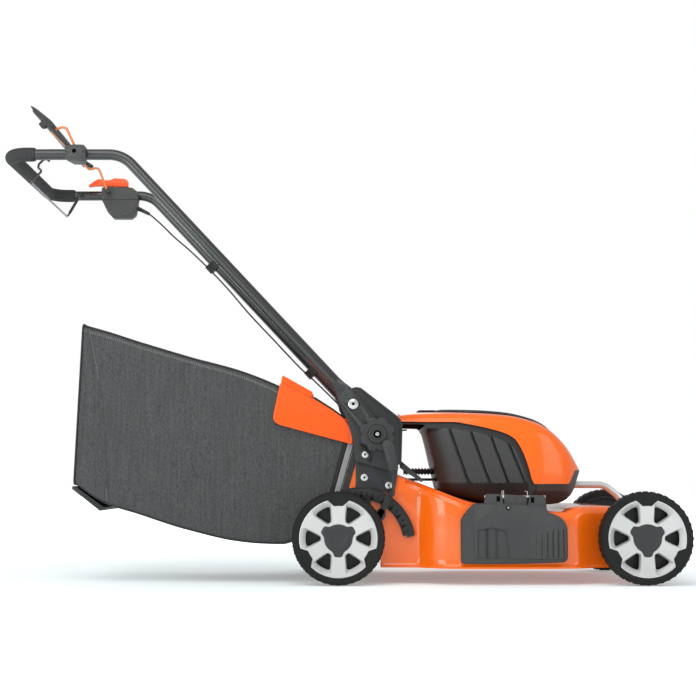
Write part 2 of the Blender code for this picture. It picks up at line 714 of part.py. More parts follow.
def make_height_lever():
    """Height lever: a plate on the rear shaft, a step outward past the wheel, and a bulb grip."""
    pivot = (REAR_AXLE_X + CRANK_BACK, AXLE_Z - CRANK_DROP)
    bend = (0.1085, 0.1950)
    lever = plate("height_lever", capsule(pivot, (0.085, 0.150), 0.0115, 6), [-y for y in LEVER_LAYER], DARK_PLASTIC)
    shank = plate("lever_shank", capsule((0.080, 0.143), bend, 0.0065, 3), [-y for y in LEVER_LAYER])
    step = block("lever_step", (bend[0] - 0.006, -0.2585, bend[1] - 0.004), (bend[0] + 0.005, -0.2075, bend[1] + 0.004))
    neck = block("lever_neck", (bend[0] - 0.0045, -0.2650, bend[1] - 0.003), (bend[0] + 0.0060, -0.2570, 0.2500))
    centre = -(GRIP_LAYER[0] + GRIP_LAYER[1]) / 2
    shape = [(0.1120, 0.2440, 0.0075, 0.0055), (0.1095, 0.2560, 0.0125, 0.0075), (0.1060, 0.2720, 0.0160, 0.0080),
             (0.1020, 0.2900, 0.0155, 0.0080), (0.0985, 0.3030, 0.0115, 0.0070), (0.0965, 0.3095, 0.0050, 0.0040)]
    rings = []
    for x, z, half, deep in shape:
        angles = [2 * math.pi * k / 10 for k in range(10)]
        rings.append([Vector((x + half * math.cos(a), centre + deep * math.sin(a), z + 0.2 * half * math.cos(a)))
                      for a in angles])
    grip = loft("lever_grip", rings)
    join(lever, shank, step, neck, grip)
    cut(lever, cylinder("lever_hole", (pivot[0], -0.25, pivot[1]), (pivot[0], -0.18, pivot[1]), 0.0064, sides=12))
    set_origin(lever, (pivot[0], 0.0, pivot[1]))


def make_quadrant():
    """Arc with notches on its inner edge, which the height lever locks into."""
    pivot = (REAR_AXLE_X + CRANK_BACK, AXLE_Z - CRANK_DROP)
    outer = arc(*pivot, 0.120, 8, 105, 16)
    inner = []
    for i in range(7):
        start = 100 - 13.5 * i
        inner += arc(*pivot, 0.096, start, start - 8.5, 2)
        inner += [(pivot[0] + 0.103 * math.cos(math.radians(a)), pivot[1] + 0.103 * math.sin(math.radians(a)))
                  for a in (start - 9.0, start - 13.0)]
    plate("quadrant", outer + inner, [-y for y in QUADRANT_LAYER], BLACK_PLASTIC)


def make_axle_cover():
    """Front cover that carries the front shaft between the wheels."""
    outline = [(0.6500, 0.0620), (0.7160, 0.0620), (0.7260, 0.0800), (0.7200, 0.1250), (0.7000, 0.1460),
               (0.6500, 0.1500)]
    inner = [(0.6400, 0.0500), (0.7135, 0.0500), (0.7228, 0.0810), (0.7170, 0.1235), (0.6985, 0.1430),
             (0.6400, 0.1472)]
    cover = plate("front_axle_cover", outline, (-0.196, 0.196), BLACK_PLASTIC)
    space = plate("axle_cover_space", inner, (-0.191, 0.191))
    shaft_x, shaft_z = FRONT_AXLE_X + CRANK_BACK, AXLE_Z - CRANK_DROP
    bore = cylinder("axle_cover_bore", (shaft_x, -0.21, shaft_z), (shaft_x, 0.21, shaft_z), 0.0064, sides=12)
    foot = Vector(CARRY_CORNERS[-1])
    down = (foot - Vector(CARRY_CORNERS[-2])).normalized()
    slot = cylinder("axle_cover_socket", foot - down * 0.030, foot + down * 0.015, 0.0088, sides=12)
    cut(cover, space, bore, slot)


def make_gearbox():
    """Drive gearbox round the rear shaft, under the tunnel."""
    shaft_x, shaft_z = REAR_AXLE_X + CRANK_BACK, AXLE_Z - CRANK_DROP
    box = block("drive_gearbox", (0.0150, -0.045, 0.0620), (0.0800, 0.045, 0.1070), BLACK_PLASTIC, 0.004)
    cut(box, cylinder("gearbox_bore", (shaft_x, -0.06, shaft_z), (shaft_x, 0.06, shaft_z), 0.0064, sides=12))


# Handle mounting

def make_mounting(hand, side):
    """Plate that carries the rear shaft, and the bracket with the stud that the handle folds on."""
    shaft = (REAR_AXLE_X + CRANK_BACK, AXLE_Z - CRANK_DROP)
    outline = [(0.024, 0.074), (0.056, 0.074), (0.062, 0.150), (0.068, 0.2050), (0.1069, 0.1938),
               (0.1177, 0.2066), (0.1221, 0.2344), (0.1270, 0.2960), (0.0300, 0.2960), (0.0317, 0.2151),
               (0.0180, 0.150)]
    low = plate(f"mount_plate_{hand}", outline, [side * y for y in PLATE_LAYER], DARK_STEEL)
    cut(low, cylinder(f"mount_hole_{hand}", (shaft[0], side * 0.18, shaft[1]), (shaft[0], side * 0.22, shaft[1]),
                      0.0064, sides=12))
    edge = [(-0.0093, 0.3982), (-0.0028, 0.3852), (0.0120, 0.3560), (0.0188, 0.3312), (0.0270, 0.3000),
            (0.0300, 0.2640), (0.1050, 0.2440), (0.1308, 0.2600), (0.1333, 0.3441), (0.1290, 0.3550),
            (0.1182, 0.3657), (0.0426, 0.4242), (0.0330, 0.4262), (0.0200, 0.4230), (-0.0060, 0.4180)]
    bracket = plate(f"bracket_{hand}", edge, [side * y for y in BRACKET_LAYER], DARK_PLASTIC)
    stud = cylinder(f"bracket_stud_{hand}", (FOLD_X, side * 0.2050, FOLD_Z), (FOLD_X, side * 0.2440, FOLD_Z),
                    0.0040, sides=12)
    join(bracket, stud)


def make_arm_end(hand, side):
    """Flattened end of the handle tube, from a round section to a flat one around the fold stud."""
    stations = [(0.0003, 0.0120, 0.0120, 0.2265), (0.014, 0.0145, 0.0088, 0.2228), (0.028, 0.0185, 0.0056, 0.2178),
                (0.044, 0.0195, 0.0045, 0.2167), (0.100, 0.0195, 0.0045, 0.2167), (0.140, 0.0195, 0.0045, 0.2167),
                (0.154, 0.0165, 0.0045, 0.2167), (0.1625, 0.0090, 0.0040, 0.2167)]
    start = ARM_TUBE_END
    target = Vector((FOLD_X, 0.0, FOLD_Z))
    rings = []
    for run, half, deep, middle in stations:
        centre = start + ARM_DIRECTION * run
        centre += (target - start - ARM_DIRECTION * (target - start).dot(ARM_DIRECTION)) * min(1.0, run / 0.144)
        across = Vector((ARM_DIRECTION.z, 0.0, -ARM_DIRECTION.x))
        ring = []
        for k in range(12):
            a = 2 * math.pi * k / 12
            flat = 1.0 if run < 0.01 else 0.55
            u = math.copysign(abs(math.cos(a)) ** flat, math.cos(a))
            v = math.copysign(abs(math.sin(a)) ** flat, math.sin(a))
            ring.append(centre + across * half * u + Vector((0.0, side * (middle + deep * v), 0.0)))
        rings.append(ring)
    end = loft(f"arm_end_{hand}", rings, TUBE_PAINT)
    cut(end, cylinder(f"arm_hole_{hand}", (FOLD_X, side * 0.20, FOLD_Z), (FOLD_X, side * 0.24, FOLD_Z), 0.0044,
                      sides=12))
    set_origin(smooth(end), (FOLD_X, 0.0, FOLD_Z))


def make_knob(hand, side):
    """Star knob on the fold stud."""
    outline = []
    for k in range(48):
        a = 2 * math.pi * k / 48
        radius = 0.0365 - 0.0030 * (0.5 + 0.5 * math.cos(8 * a)) ** 2
        outline.append((FOLD_X + radius * math.cos(a), FOLD_Z + radius * math.sin(a)))
    knob = plate(f"star_knob_{hand}", outline, (side * 0.2216, side * 0.2380), DARK_PLASTIC)
    boss = cylinder(f"knob_boss_{hand}", (FOLD_X, side * 0.2370, FOLD_Z), (FOLD_X, side * 0.2470, FOLD_Z), 0.0196,
                    sides=20)
    nut = cylinder(f"knob_nut_{hand}", (FOLD_X, side * 0.2460, FOLD_Z), (FOLD_X, side * 0.2505, FOLD_Z), 0.0050,
                   sides=6)
    hole = cylinder(f"knob_hole_{hand}", (FOLD_X, side * 0.2100, FOLD_Z), (FOLD_X, side * 0.2445, FOLD_Z), 0.0044,
                    sides=12)
    join(knob, boss, nut)
    cut(knob, hole)
    set_origin(knob, (FOLD_X, 0.0, FOLD_Z))


# Handle and its controls

def handle_path():
    """Middle line of the handle tube, from the right arm's end round to the left arm's end."""
    half = ARM_Y
    knee = (KNEE_X, HANDLE_Z)
    corners = [(ARM_TUBE_END.x, -half, ARM_TUBE_END.z), (knee[0], -half, knee[1]), (CROSSBAR_X, -half, HANDLE_Z),
               (CROSSBAR_X, half, HANDLE_Z), (knee[0], half, knee[1]), (ARM_TUBE_END.x, half, ARM_TUBE_END.z)]
    return rounded_path(corners, [KNEE_RADIUS, GRIP_CORNER, GRIP_CORNER, KNEE_RADIUS], 6)


def make_handle():
    """Handle tube and the foam grip over its crossbar and corners."""
    path = handle_path()
    hollow_pipe("handle_tube", path, TUBE_RADIUS, TUBE_RADIUS - TUBE_WALL, 10, TUBE_PAINT)
    half = ARM_Y
    corners = [(-0.678, -half, HANDLE_Z), (CROSSBAR_X, -half, HANDLE_Z), (CROSSBAR_X, half, HANDLE_Z),
               (-0.678, half, HANDLE_Z)]
    grip = rounded_path(corners, [GRIP_CORNER, GRIP_CORNER], 6)
    hollow_pipe("foam_grip", grip, GRIP_RADIUS, TUBE_RADIUS + 0.0009, 12, FOAM)
    for name in ("handle_tube", "foam_grip"):
        set_origin(bpy.data.objects[name], (FOLD_X, 0.0, FOLD_Z))


def tube_clearance(name, side):
    """Cutter round the handle tube and its knee, where a housing clamps it."""
    corners = [(-0.640, side * ARM_Y, HANDLE_Z), (KNEE_X, side * ARM_Y, HANDLE_Z),
               (ARM_TUBE_END.x, side * ARM_Y, ARM_TUBE_END.z)]
    path = rounded_path(corners, [KNEE_RADIUS], 6)
    path[-1] = path[-2] + ARM_DIRECTION * 0.08
    return loft(name, pipe_rings(path, TUBE_RADIUS + 0.0005, 20))


def bail_pin(name, side):
    """Pin that stands inward from a housing and carries the bails."""
    x, z = BAIL_PIVOT
    return cylinder(name, (x, side * 0.2030, z), (x, side * 0.1775, z), 0.0030, sides=12)


def make_bail_housing():
    """Right clamp housing with its bail pin."""
    outline = [(-0.6070, 0.9260), (-0.6050, 0.9210), (-0.5830, 0.9165), (-0.5770, 0.9135), (-0.5700, 0.9130),
               (-0.5620, 0.9190), (-0.5590, 0.9280), (-0.5600, 0.9505), (-0.5640, 0.9545), (-0.5850, 0.9550),
               (-0.6020, 0.9515), (-0.6070, 0.9460)]
    housing = plate("bail_housing", outline, (-0.2545, -0.1995), GREY_PLASTIC)
    join(housing, bail_pin("bail_pin_right", -1))
    cut(housing, tube_clearance("bail_housing_bore", -1))
    set_origin(housing, (FOLD_X, 0.0, FOLD_Z))


def make_control_box():
    """Left control box with its bail pin, button seat and cable socket."""
    outline = [(-0.6040, 0.9250), (-0.6040, 0.9440), (-0.5980, 0.9510), (-0.5860, 0.9535), (-0.5300, 0.9535),
               (-0.5190, 0.9490), (-0.5120, 0.9400), (-0.5110, 0.9250), (-0.5130, 0.9000), (-0.5180, 0.8860),
               (-0.5260, 0.8780), (-0.5350, 0.8760), (-0.5660, 0.8760), (-0.5780, 0.8800), (-0.5880, 0.8900),
               (-0.5980, 0.9080)]
    box = plate("control_box", outline, (0.1995, 0.2545), GREY_PLASTIC)
    join(box, bail_pin("bail_pin_left", 1))
    seat = cylinder("button_seat", (-0.5280, 0.2460, 0.9485), (-0.5280, 0.2460, 0.9600), 0.0056, sides=12)
    post = cylinder("lever_seat", (-0.5720, 0.2220, 0.9528), (-0.5720, 0.2220, 0.9600), 0.0090, sides=12)
    cut(box, tube_clearance("control_box_bore", 1), seat, post)
    set_origin(box, (FOLD_X, 0.0, FOLD_Z))
    button = cylinder("power_button", (-0.5280, 0.2460, 0.9514), (-0.5280, 0.2460, 0.9560), 0.0052, ORANGE, 12)
    set_origin(button, (-0.5280, 0.2460, 0.9560))


def make_speed_lever():
    """Orange speed lever: a body on top of the control box with a blade that points to the operator."""
    outline = [(-0.6380, 0.9565), (-0.6370, 0.9660), (-0.6080, 0.9765), (-0.5950, 0.9755), (-0.5840, 0.9755),
               (-0.5700, 0.9795), (-0.5560, 0.9790), (-0.5430, 0.9740), (-0.5400, 0.9700), (-0.5400, 0.9550),
               (-0.5860, 0.9550), (-0.6060, 0.9620)]
    lever = plate("speed_lever", outline, (0.2130, 0.2310), ORANGE)
    join(lever, cylinder("speed_post", (-0.5720, 0.2220, 0.9532), (-0.5720, 0.2220, 0.9600), 0.0080, sides=12))
    set_origin(lever, (-0.5720, 0.2220, 0.9550))


def bail_eyes(name, inner, outer, radius):
    """Two discs round the bail pins, and the cutter for their holes."""
    x, z = BAIL_PIVOT
    eyes = [cylinder(f"{name}_eye_{side}", (x, side * inner, z), (x, side * outer, z), radius, sides=16)
            for side in SIDES.values()]
    hole = cylinder(f"{name}_hole", (x, -0.25, z), (x, 0.25, z), 0.0034, sides=12)
    return eyes, hole


def make_brake_bail():
    """Orange wire bail across the handle."""
    x, z = BAIL_PIVOT
    reach = 0.1830
    leg = [(-0.5890, 0.9470), (-0.5965, 0.9660), (-0.6165, 1.0090), (-0.6275, 1.0108), (-0.6455, 1.0034)]
    corners = [(a, -reach, b) for a, b in leg] + [(a, reach, b) for a, b in reversed(leg)]
    points = rounded_path(corners, [0.01, 0.007, 0.007, 0.008, 0.008, 0.007, 0.007, 0.01], 2)
    bail = rod("brake_bail", points, 0.0030, ORANGE, resolution=1)
    eyes, hole = bail_eyes("brake", 0.1795, 0.1865, 0.0075)
    cut(join(bail, *eyes), hole)
    set_origin(bail, (x, 0.0, z))


def make_drive_bail():
    """Wing-shaped drive bail across the handle, with its arm, a stub at its far end and a finger tab."""
    x, z = BAIL_PIVOT
    wing = [(-0.6500, 1.0060), (-0.6450, 1.0080), (-0.6425, 1.0120), (-0.6430, 1.0165), (-0.6480, 1.0225),
            (-0.6650, 1.0365), (-0.6820, 1.0500), (-0.6930, 1.0560), (-0.6948, 1.0545), (-0.6900, 1.0480),
            (-0.6895, 1.0410), (-0.6820, 1.0370), (-0.6600, 1.0160)]
    bail = plate("drive_bail", wing, (-0.1980, 0.1980), BLACK_PLASTIC)
    join(bail, plate("drive_arm", capsule((x, z), (-0.6630, 1.0215), 0.0048, 4), (-0.1970, -0.1890)))
    join(bail, plate("drive_hub", capsule((x, z), (x - 0.004, z + 0.004), 0.0065, 5), (-0.1972, -0.1888)))
    stub = [(-0.6500, 1.0120), (-0.6440, 1.0040), (-0.6270, 1.0010), (-0.6240, 1.0090), (-0.6430, 1.0215)]
    join(bail, plate("drive_stub", stub, (0.1875, 0.1970)))
    tab = [(-0.6600, 1.0200), (-0.6680, 1.0250), (-0.6770, 1.0180), (-0.6720, 1.0075), (-0.6620, 1.0045),
           (-0.6570, 1.0100)]
    join(bail, plate("drive_tab", tab, (-0.1960, -0.1780)))
    cut(bail, cylinder("drive_hole", (x, -0.25, z), (x, 0.25, z), 0.0034, sides=12))
    set_origin(bail, (x, 0.0, z))


def make_wire_bail():
    """Dark wire bail that hangs under the grip."""
    pivot = (-0.6572, 0.9366)
    reach = 0.2030
    leg = [(-0.6485, 0.9280), (-0.6575, 0.9366), (-0.6722, 0.9215), (-0.6735, 0.9135), (-0.6650, 0.9070),
           (-0.6893, 0.8802)]
    corners = [(a, -reach, b) for a, b in leg] + [(leg[-1][0], reach, leg[-1][1]), (leg[1][0], reach, leg[1][1])]
    radii = [0.004, 0.008, 0.004, 0.004, 0.006, 0.006]
    bail = rod("wire_bail", rounded_path(corners, radii, 2), 0.0023, DARK_STEEL, resolution=1)
    for side in SIDES.values():
        stub = cylinder(f"wire_stub_{side}", (pivot[0], side * 0.2025, pivot[1] - 0.001),
                        (pivot[0], side * 0.2140, pivot[1] - 0.001), 0.0022, sides=8)
        join(bail, stub)
    set_origin(bail, (pivot[0], 0.0, pivot[1]))


def make_cable():
    """Control cable in two lengths that meet on the fold axis, and the clips on the left arm."""
    upper = [(-0.5105, 0.2265, 0.9030), (-0.4880, 0.2250, 0.8918), (-0.4560, 0.2200, 0.8640),
             (-0.4216, 0.2165, 0.8304), (-0.3820, 0.2155, 0.7960), (-0.3403, 0.2155, 0.7560),
             (-0.2860, 0.2155, 0.6990), (-0.2313, 0.2165, 0.6351), (-0.1690, 0.2165, 0.5690),
             (-0.1055, 0.2165, 0.5017), (-0.0750, 0.2150, 0.4740), (-0.0440, 0.2080, 0.4440),
             (-0.0180, 0.1990, 0.4180), (0.0150, 0.1985, 0.3840), (0.0480, 0.1985, 0.3520),
             (0.0680, 0.1985, 0.3320), (0.0750, 0.1970, 0.3250), (0.0776, 0.1930, 0.3221),
             (0.0776, 0.1850, 0.3221)]
    upper = [Vector(p) for p in upper]
    rod("control_cable", upper, 0.0020, BLACK_PLASTIC, resolution=1, as_mesh=False)
    lower = [(FOLD_X, 0.1846, FOLD_Z), (FOLD_X, 0.1760, FOLD_Z), (0.0800, 0.1690, 0.3230), (0.0880, 0.1600, 0.3270),
             (0.1050, 0.1500, 0.3340), (0.1250, 0.1400, 0.3400), (0.1400, 0.1320, 0.3425), (0.1560, 0.1250, 0.3435)]
    rod("control_cable_lower", [Vector(p) for p in lower], 0.0020, BLACK_PLASTIC, resolution=1, as_mesh=False)
    for name, run in (("cable_clip_upper", -0.4550), ("cable_clip_lower", -0.0840)):
        make_clip(name, run, upper)


def make_clip(name, run, cable):
    """Clip round the left arm's tube that holds the cable beside it; run is its place along the arm."""
    below = Vector((ARM_DIRECTION.z, 0.0, -ARM_DIRECTION.x))
    middle = ARM_TUBE_END + ARM_DIRECTION * run + Vector((0.0, ARM_Y, 0.0))
    outline = [(-0.0175, 0.0080), (-0.0160, 0.0000), (-0.0105, -0.0105), (0.0000, -0.0142),
               (0.0105, -0.0105), (0.0142, 0.0000), (0.0120, 0.0115), (0.0040, 0.0215),
               (-0.0090, 0.0268), (-0.0165, 0.0215)]
    rings = []
    for shift in (-0.011, 0.011):
        centre = middle + ARM_DIRECTION * shift
        rings.append([centre + Vector((0.0, u, 0.0)) + below * v for u, v in outline])
    clip = loft(name, rings, BLACK_PLASTIC)
    bore = cylinder(f"{name}_bore", middle - ARM_DIRECTION * 0.03, middle + ARM_DIRECTION * 0.03,
                    TUBE_RADIUS + 0.0005, sides=20)
    cut(clip, bore, rod(f"{name}_slot", cable, 0.0027))
    set_origin(clip, (FOLD_X, 0.0, FOLD_Z))


# Bag, rear flap and side flap

def bag_ring(x, half, low, high, slant, inset):
    """Rounded box section of the bag that leans with the mouth."""
    corner = 0.018 - inset * 0.5
    half -= inset
    low += inset
    high -= inset
    middle = (low + high) / 2
    section = []
    for cy, cz, start in ((half, high, 0), (-half, high, 90), (-half, low, 180), (half, low, 270)):
        oy = cy - math.copysign(corner, cy)
        oz = cz - corner if cz == high else cz + corner
        section += [(oy + corner * math.cos(math.radians(start + t)), oz + corner * math.sin(math.radians(start + t)))
                    for t in (0, 45, 90)]
    return [Vector((x + slant * (z - middle), y, z)) for y, z in section]


BAG_STATIONS = [(-0.0098, 0.1860, 0.1160, 0.3340, 0.28), (-0.0600, 0.1865, 0.1020, 0.3740, 0.20),
                (-0.1400, 0.1870, 0.0840, 0.4240, 0.10), (-0.1750, 0.1880, 0.0875, 0.4445, 0.07),
                (-0.2300, 0.1895, 0.0920, 0.4640, 0.04),
                (-0.3400, 0.1910, 0.1160, 0.4960, 0.0), (-0.4400, 0.1915, 0.1480, 0.5260, 0.0),
                (-0.5150, 0.1915, 0.1730, 0.5490, 0.02), (-0.5780, 0.1900, 0.2160, 0.5660, 0.04)]


def make_bag():
    """Grass bag with its open mouth, the frame round the mouth and the rail under its rear edge."""
    outer = [bag_ring(*station, 0.0) for station in BAG_STATIONS]
    inner = [bag_ring(*station, 0.004) for station in reversed(BAG_STATIONS)]
    for point in inner[0]:
        point.x += 0.004
    rings = outer[::-1] + inner[::-1]
    bag = loft("bag_fabric", rings, BAG_FABRIC)
    set_origin(bag, (0.0, 0.0, 0.2))
    frame_low, frame_high = 0.1160, 0.3340
    middle = (frame_low + frame_high) / 2
    ring_set = []
    front = mouth_x(middle) - 0.0008
    for shift, inset in ((-0.0146, 0.0), (0.0, 0.0), (0.0, 0.012), (-0.0146, 0.012)):
        half, low, high = 0.186 - inset, frame_low + inset, frame_high - inset
        corners = [(-half, low), (-half, high), (half, high), (half, low)]
        ring_set.append([Vector((front + shift + MOUTH_SLOPE * (z - middle), y, z)) for y, z in corners])
    frame = loft("bag_frame", ring_set, BLACK_PLASTIC, ring_closed=True)
    set_origin(frame, (0.0, 0.0, 0.2))
    rail = [(-0.5890, 0.2050), (-0.5260, 0.1560), (-0.5180, 0.1640), (-0.5780, 0.2078), (-0.5870, 0.2110)]
    set_origin(plate("bag_rail", rail, (-0.188, 0.188), BLACK_PLASTIC), (0.0, 0.0, 0.2))


FLAP_HINGE = (0.0350, 0.3520)


def make_rear_flap():
    """Orange flap over the bag's mouth: two cheeks, a top sheet, a lifting edge and a hinge barrel."""
    cheek = [(-0.1350, 0.4330), (-0.1499, 0.3635), (-0.1480, 0.3520), (-0.1372, 0.3440), (0.0240, 0.3008),
             (0.0250, 0.3200), (0.0170, 0.3430), (0.0066, 0.3573), (-0.0200, 0.3765), (-0.0662, 0.4048),
             (-0.1321, 0.4371)]
    top = [(-0.1330, 0.4350), (-0.1300, 0.4515), (-0.1275, 0.4522), (-0.0640, 0.4165), (-0.0632, 0.4050),
           (-0.0200, 0.3765), (0.0066, 0.3573), (0.0180, 0.3590), (0.0340, 0.3590), (0.0340, 0.3480),
           (0.0060, 0.3500), (-0.0230, 0.3725), (-0.0680, 0.4008), (-0.0950, 0.4110), (-0.1310, 0.4300)]
    flap = plate("rear_flap", cheek, (-0.1945, -0.1895), ORANGE)
    other = plate("flap_cheek_left", cheek, (0.1895, 0.1945))
    sheet = plate("flap_sheet", top, (-0.1930, 0.1930))
    x, z = FLAP_HINGE
    barrel = cylinder("flap_barrel", (x, -0.1885, z), (x, 0.1885, z), 0.0075, sides=12)
    hole = cylinder("flap_hole", (x, -0.21, z), (x, 0.21, z), 0.0034, sides=12)
    cut(join(flap, other, sheet, barrel), hole)
    set_origin(flap, (x, 0.0, z))
    cylinder("rear_flap_pin", (x, -0.2010, z), (x, 0.2010, z), 0.0030, STEEL, 10)


SIDE_PIN = (0.2490, 0.1880)


def make_side_flap():
    """Grey discharge flap with its lugs, raised panel and ribs, and the hinge block with its pin."""
    outline = [(0.2570, 0.0380), (0.4735, 0.0400), (0.4815, 0.0520), (0.4822, 0.1330), (0.4760, 0.1440),
               (0.4600, 0.1570), (0.4370, 0.1640), (0.4340, 0.1775), (0.3050, 0.1775), (0.2810, 0.1745),
               (0.2690, 0.1680), (0.2560, 0.1520), (0.2545, 0.0440)]
    flap = plate("side_flap", outline, (-0.2580, -0.2535), GREY_PLASTIC)
    panel = [(0.2720, 0.0540), (0.4660, 0.0560), (0.4660, 0.1240), (0.4380, 0.1480), (0.3000, 0.1520),
             (0.2720, 0.1300)]
    join(flap, plate("side_panel", panel, (-0.2610, -0.2560)))
    for x_low, x_high in ((0.3080, 0.3430), (0.4020, 0.4350)):
        lug = plate(f"side_lug_{x_low}", [(x_low, 0.1700), (x_high, 0.1700), (x_high, 0.1960), (x_high - 0.003, 0.1995),
                                          (x_low + 0.003, 0.1995), (x_low, 0.1960)], (-0.2575, -0.2405))
        join(flap, lug)
    y, z = SIDE_PIN
    cut(flap, cylinder("side_flap_hole", (0.25, -y, z), (0.50, -y, z), 0.0034, sides=12))
    ribs = [(0.4500 - 0.0085 * i, 0.0600, 0.1220) for i in range(4)] + [(0.2830 + 0.012 * i, 0.060, 0.128) for i in
                                                                       range(3)]
    for i, (x, low, high) in enumerate(ribs):
        join(flap, block(f"side_rib_{i}", (x, -0.2630, low), (x + 0.0030, -0.2600, high)))
    set_origin(flap, (0.0, -y, z))
    hinge = block("side_flap_hinge", (0.3480, -0.2525, 0.1692), (0.3970, -0.2050, 0.1960), GREY_PLASTIC, 0.002)
    pin = cylinder("side_pin", (0.3100, -y, z), (0.4330, -y, z), 0.0030, sides=10)
    join(hinge, pin)


def main():
    """Build every piece."""
    start_clean()
    make_deck()
    make_trailing_shield()
    make_hood()
    make_housing()
    make_battery_lid()
    make_battery()
    make_motor()
    make_carry_tube()
    make_wheels()
    make_axle("rear_axle", REAR_AXLE_X)
    make_axle("front_axle", FRONT_AXLE_X)
    make_height_lever()
    make_quadrant()
    make_axle_cover()
    make_gearbox()
    for hand, side in SIDES.items():
        make_mounting(hand, side)
        make_arm_end(hand, side)
        make_knob(hand, side)
    make_handle()
    make_bail_housing()
    make_control_box()
    make_speed_lever()
    make_brake_bail()
    make_drive_bail()
    make_wire_bail()
    make_cable()
    make_bag()
    make_rear_flap()
    make_side_flap()


main()
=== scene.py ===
"""Looks of a walk-behind cordless lawn mower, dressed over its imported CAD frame.

Lengths are in metres. +X is forward, +Y is the operator's left, +Z is up.
"""

from __future__ import annotations

import logging
import math
from dataclasses import dataclass
from enum import Enum
from typing import Iterable, Sequence

import bmesh
import bpy
from bpy.types import ID, Material, Mesh, Node, NodeSocket, NodeTree, Object
from mathutils import Matrix, Vector, noise


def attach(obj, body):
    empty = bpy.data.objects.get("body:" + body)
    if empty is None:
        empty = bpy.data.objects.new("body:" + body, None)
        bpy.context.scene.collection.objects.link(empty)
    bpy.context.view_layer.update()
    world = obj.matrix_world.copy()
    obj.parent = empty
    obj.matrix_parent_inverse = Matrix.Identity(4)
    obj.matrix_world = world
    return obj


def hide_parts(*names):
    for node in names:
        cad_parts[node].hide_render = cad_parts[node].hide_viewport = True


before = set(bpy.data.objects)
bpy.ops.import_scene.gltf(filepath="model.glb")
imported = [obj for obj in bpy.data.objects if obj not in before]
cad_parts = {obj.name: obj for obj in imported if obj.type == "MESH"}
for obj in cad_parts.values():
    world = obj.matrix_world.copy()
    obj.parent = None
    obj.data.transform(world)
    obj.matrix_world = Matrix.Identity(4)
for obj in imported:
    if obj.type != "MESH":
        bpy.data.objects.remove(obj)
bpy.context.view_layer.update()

LOG = logging.getLogger("lawn_mower")
Pair = tuple[float, float]
Outline = Sequence[Pair]


# Shaping tools


class Curve:
    """Smooth value along design points, never past the points on either side."""

    def __init__(self, table: Outline) -> None:
        """Prepare the slopes.

        Args:
            table: Design points as (place, value), in order of place.
        """
        self.table = list(table)
        steps = [(b[1] - a[1]) / (b[0] - a[0]) for a, b in zip(self.table, self.table[1:])]
        self.slopes = [steps[0]]
        for before, after in zip(steps, steps[1:]):
            same = before * after > 0
            self.slopes.append(2 * before * after / (before + after) if same else 0.0)
        self.slopes.append(steps[-1])

    def __call__(self, x: float) -> float:
        """Value at a place; past the ends it stays level.

        Args:
            x: Place along the table.

        Returns:
            The value there.
        """
        table = self.table
        if x <= table[0][0]:
            return table[0][1]
        for i in range(len(table) - 1):
            (x0, v0), (x1, v1) = table[i], table[i + 1]
            if x <= x1:
                run = x1 - x0
                t = (x - x0) / run
                start = (1 + 2 * t) * (1 - t) ** 2 * v0 + t * t * (3 - 2 * t) * v1
                return start + run * (t * (1 - t) ** 2 * self.slopes[i] - t * t * (1 - t)
                    * self.slopes[i + 1])
        return table[-1][1]


def mix(a: float, b: float, t: float) -> float:
    """Value a part t of the way from a to b."""
    return a + (b - a) * t


def held(value: float) -> float:
    """Value held between 0 and 1."""
    return min(1.0, max(0.0, value))


def polar(radius: float, angle: float) -> Vector:
    """Flat point at a radius and an angle in degrees."""
    a = math.radians(angle)
    return Vector((radius * math.cos(a), radius * math.sin(a)))


def squarish(angle: float, power: float) -> Pair:
    """Point of a unit circle that a power below 1 brings closer to a square."""
    c, s = math.cos(angle), math.sin(angle)
    return math.copysign(abs(c) ** power, c), math.copysign(abs(s) ** power, s)


def steps_between(low: float, high: float, count: int) -> list[float]:
    """Evenly spaced values from low to high, both included."""
    return [mix(low, high, i / (count - 1)) for i in range(count)]


def arc(centre: Pair, radius: float, start: float, end: float, steps: int) -> list[Pair]:
    """Points on an arc.

    Args:
        centre: Middle of the arc.
        radius: Its radius.
        start: First angle in degrees.
        end: Last angle in degrees.
        steps: Number of chords.

    Returns:
        The points, first to last.
    """
    angles = [math.radians(a) for a in steps_between(start, end, steps + 1)]
    return [(centre[0] + radius * math.cos(a), centre[1] + radius * math.sin(a)) for a in angles]


def capsule(a: Pair, b: Pair, half: float, steps: int = 10) -> list[Pair]:
    """Outline with round ends about the line from a to b."""
    turn = math.degrees(math.atan2(b[1] - a[1], b[0] - a[0]))
    return arc(b, half, turn - 90, turn + 90, steps) + arc(a, half, turn + 90, turn + 270, steps)


def softened(outline: Outline, radius: float, steps: int = 4) -> list[Pair]:
    """Outline with each corner rounded.

    Args:
        outline: Corner points in order.
        radius: Distance before and after a corner at which the rounding starts.
        steps: Chords in each corner.

    Returns:
        The rounded outline.
    """
    result = []
    count = len(outline)
    for i, corner in enumerate(outline):
        before, after = Vector(outline[i - 1]), Vector(outline[(i + 1) % count])
        middle = Vector(corner)
        reach_back = min(radius, 0.45 * (before - middle).length)
        reach_on = min(radius, 0.45 * (after - middle).length)
        first = middle + (before - middle).normalized() * reach_back
        last = middle + (after - middle).normalized() * reach_on
        for k in range(steps + 1):
            t = k / steps
            point = first * (1 - t) ** 2 + middle * 2 * t * (1 - t) + last * t * t
            result.append((point.x, point.y))
    return result


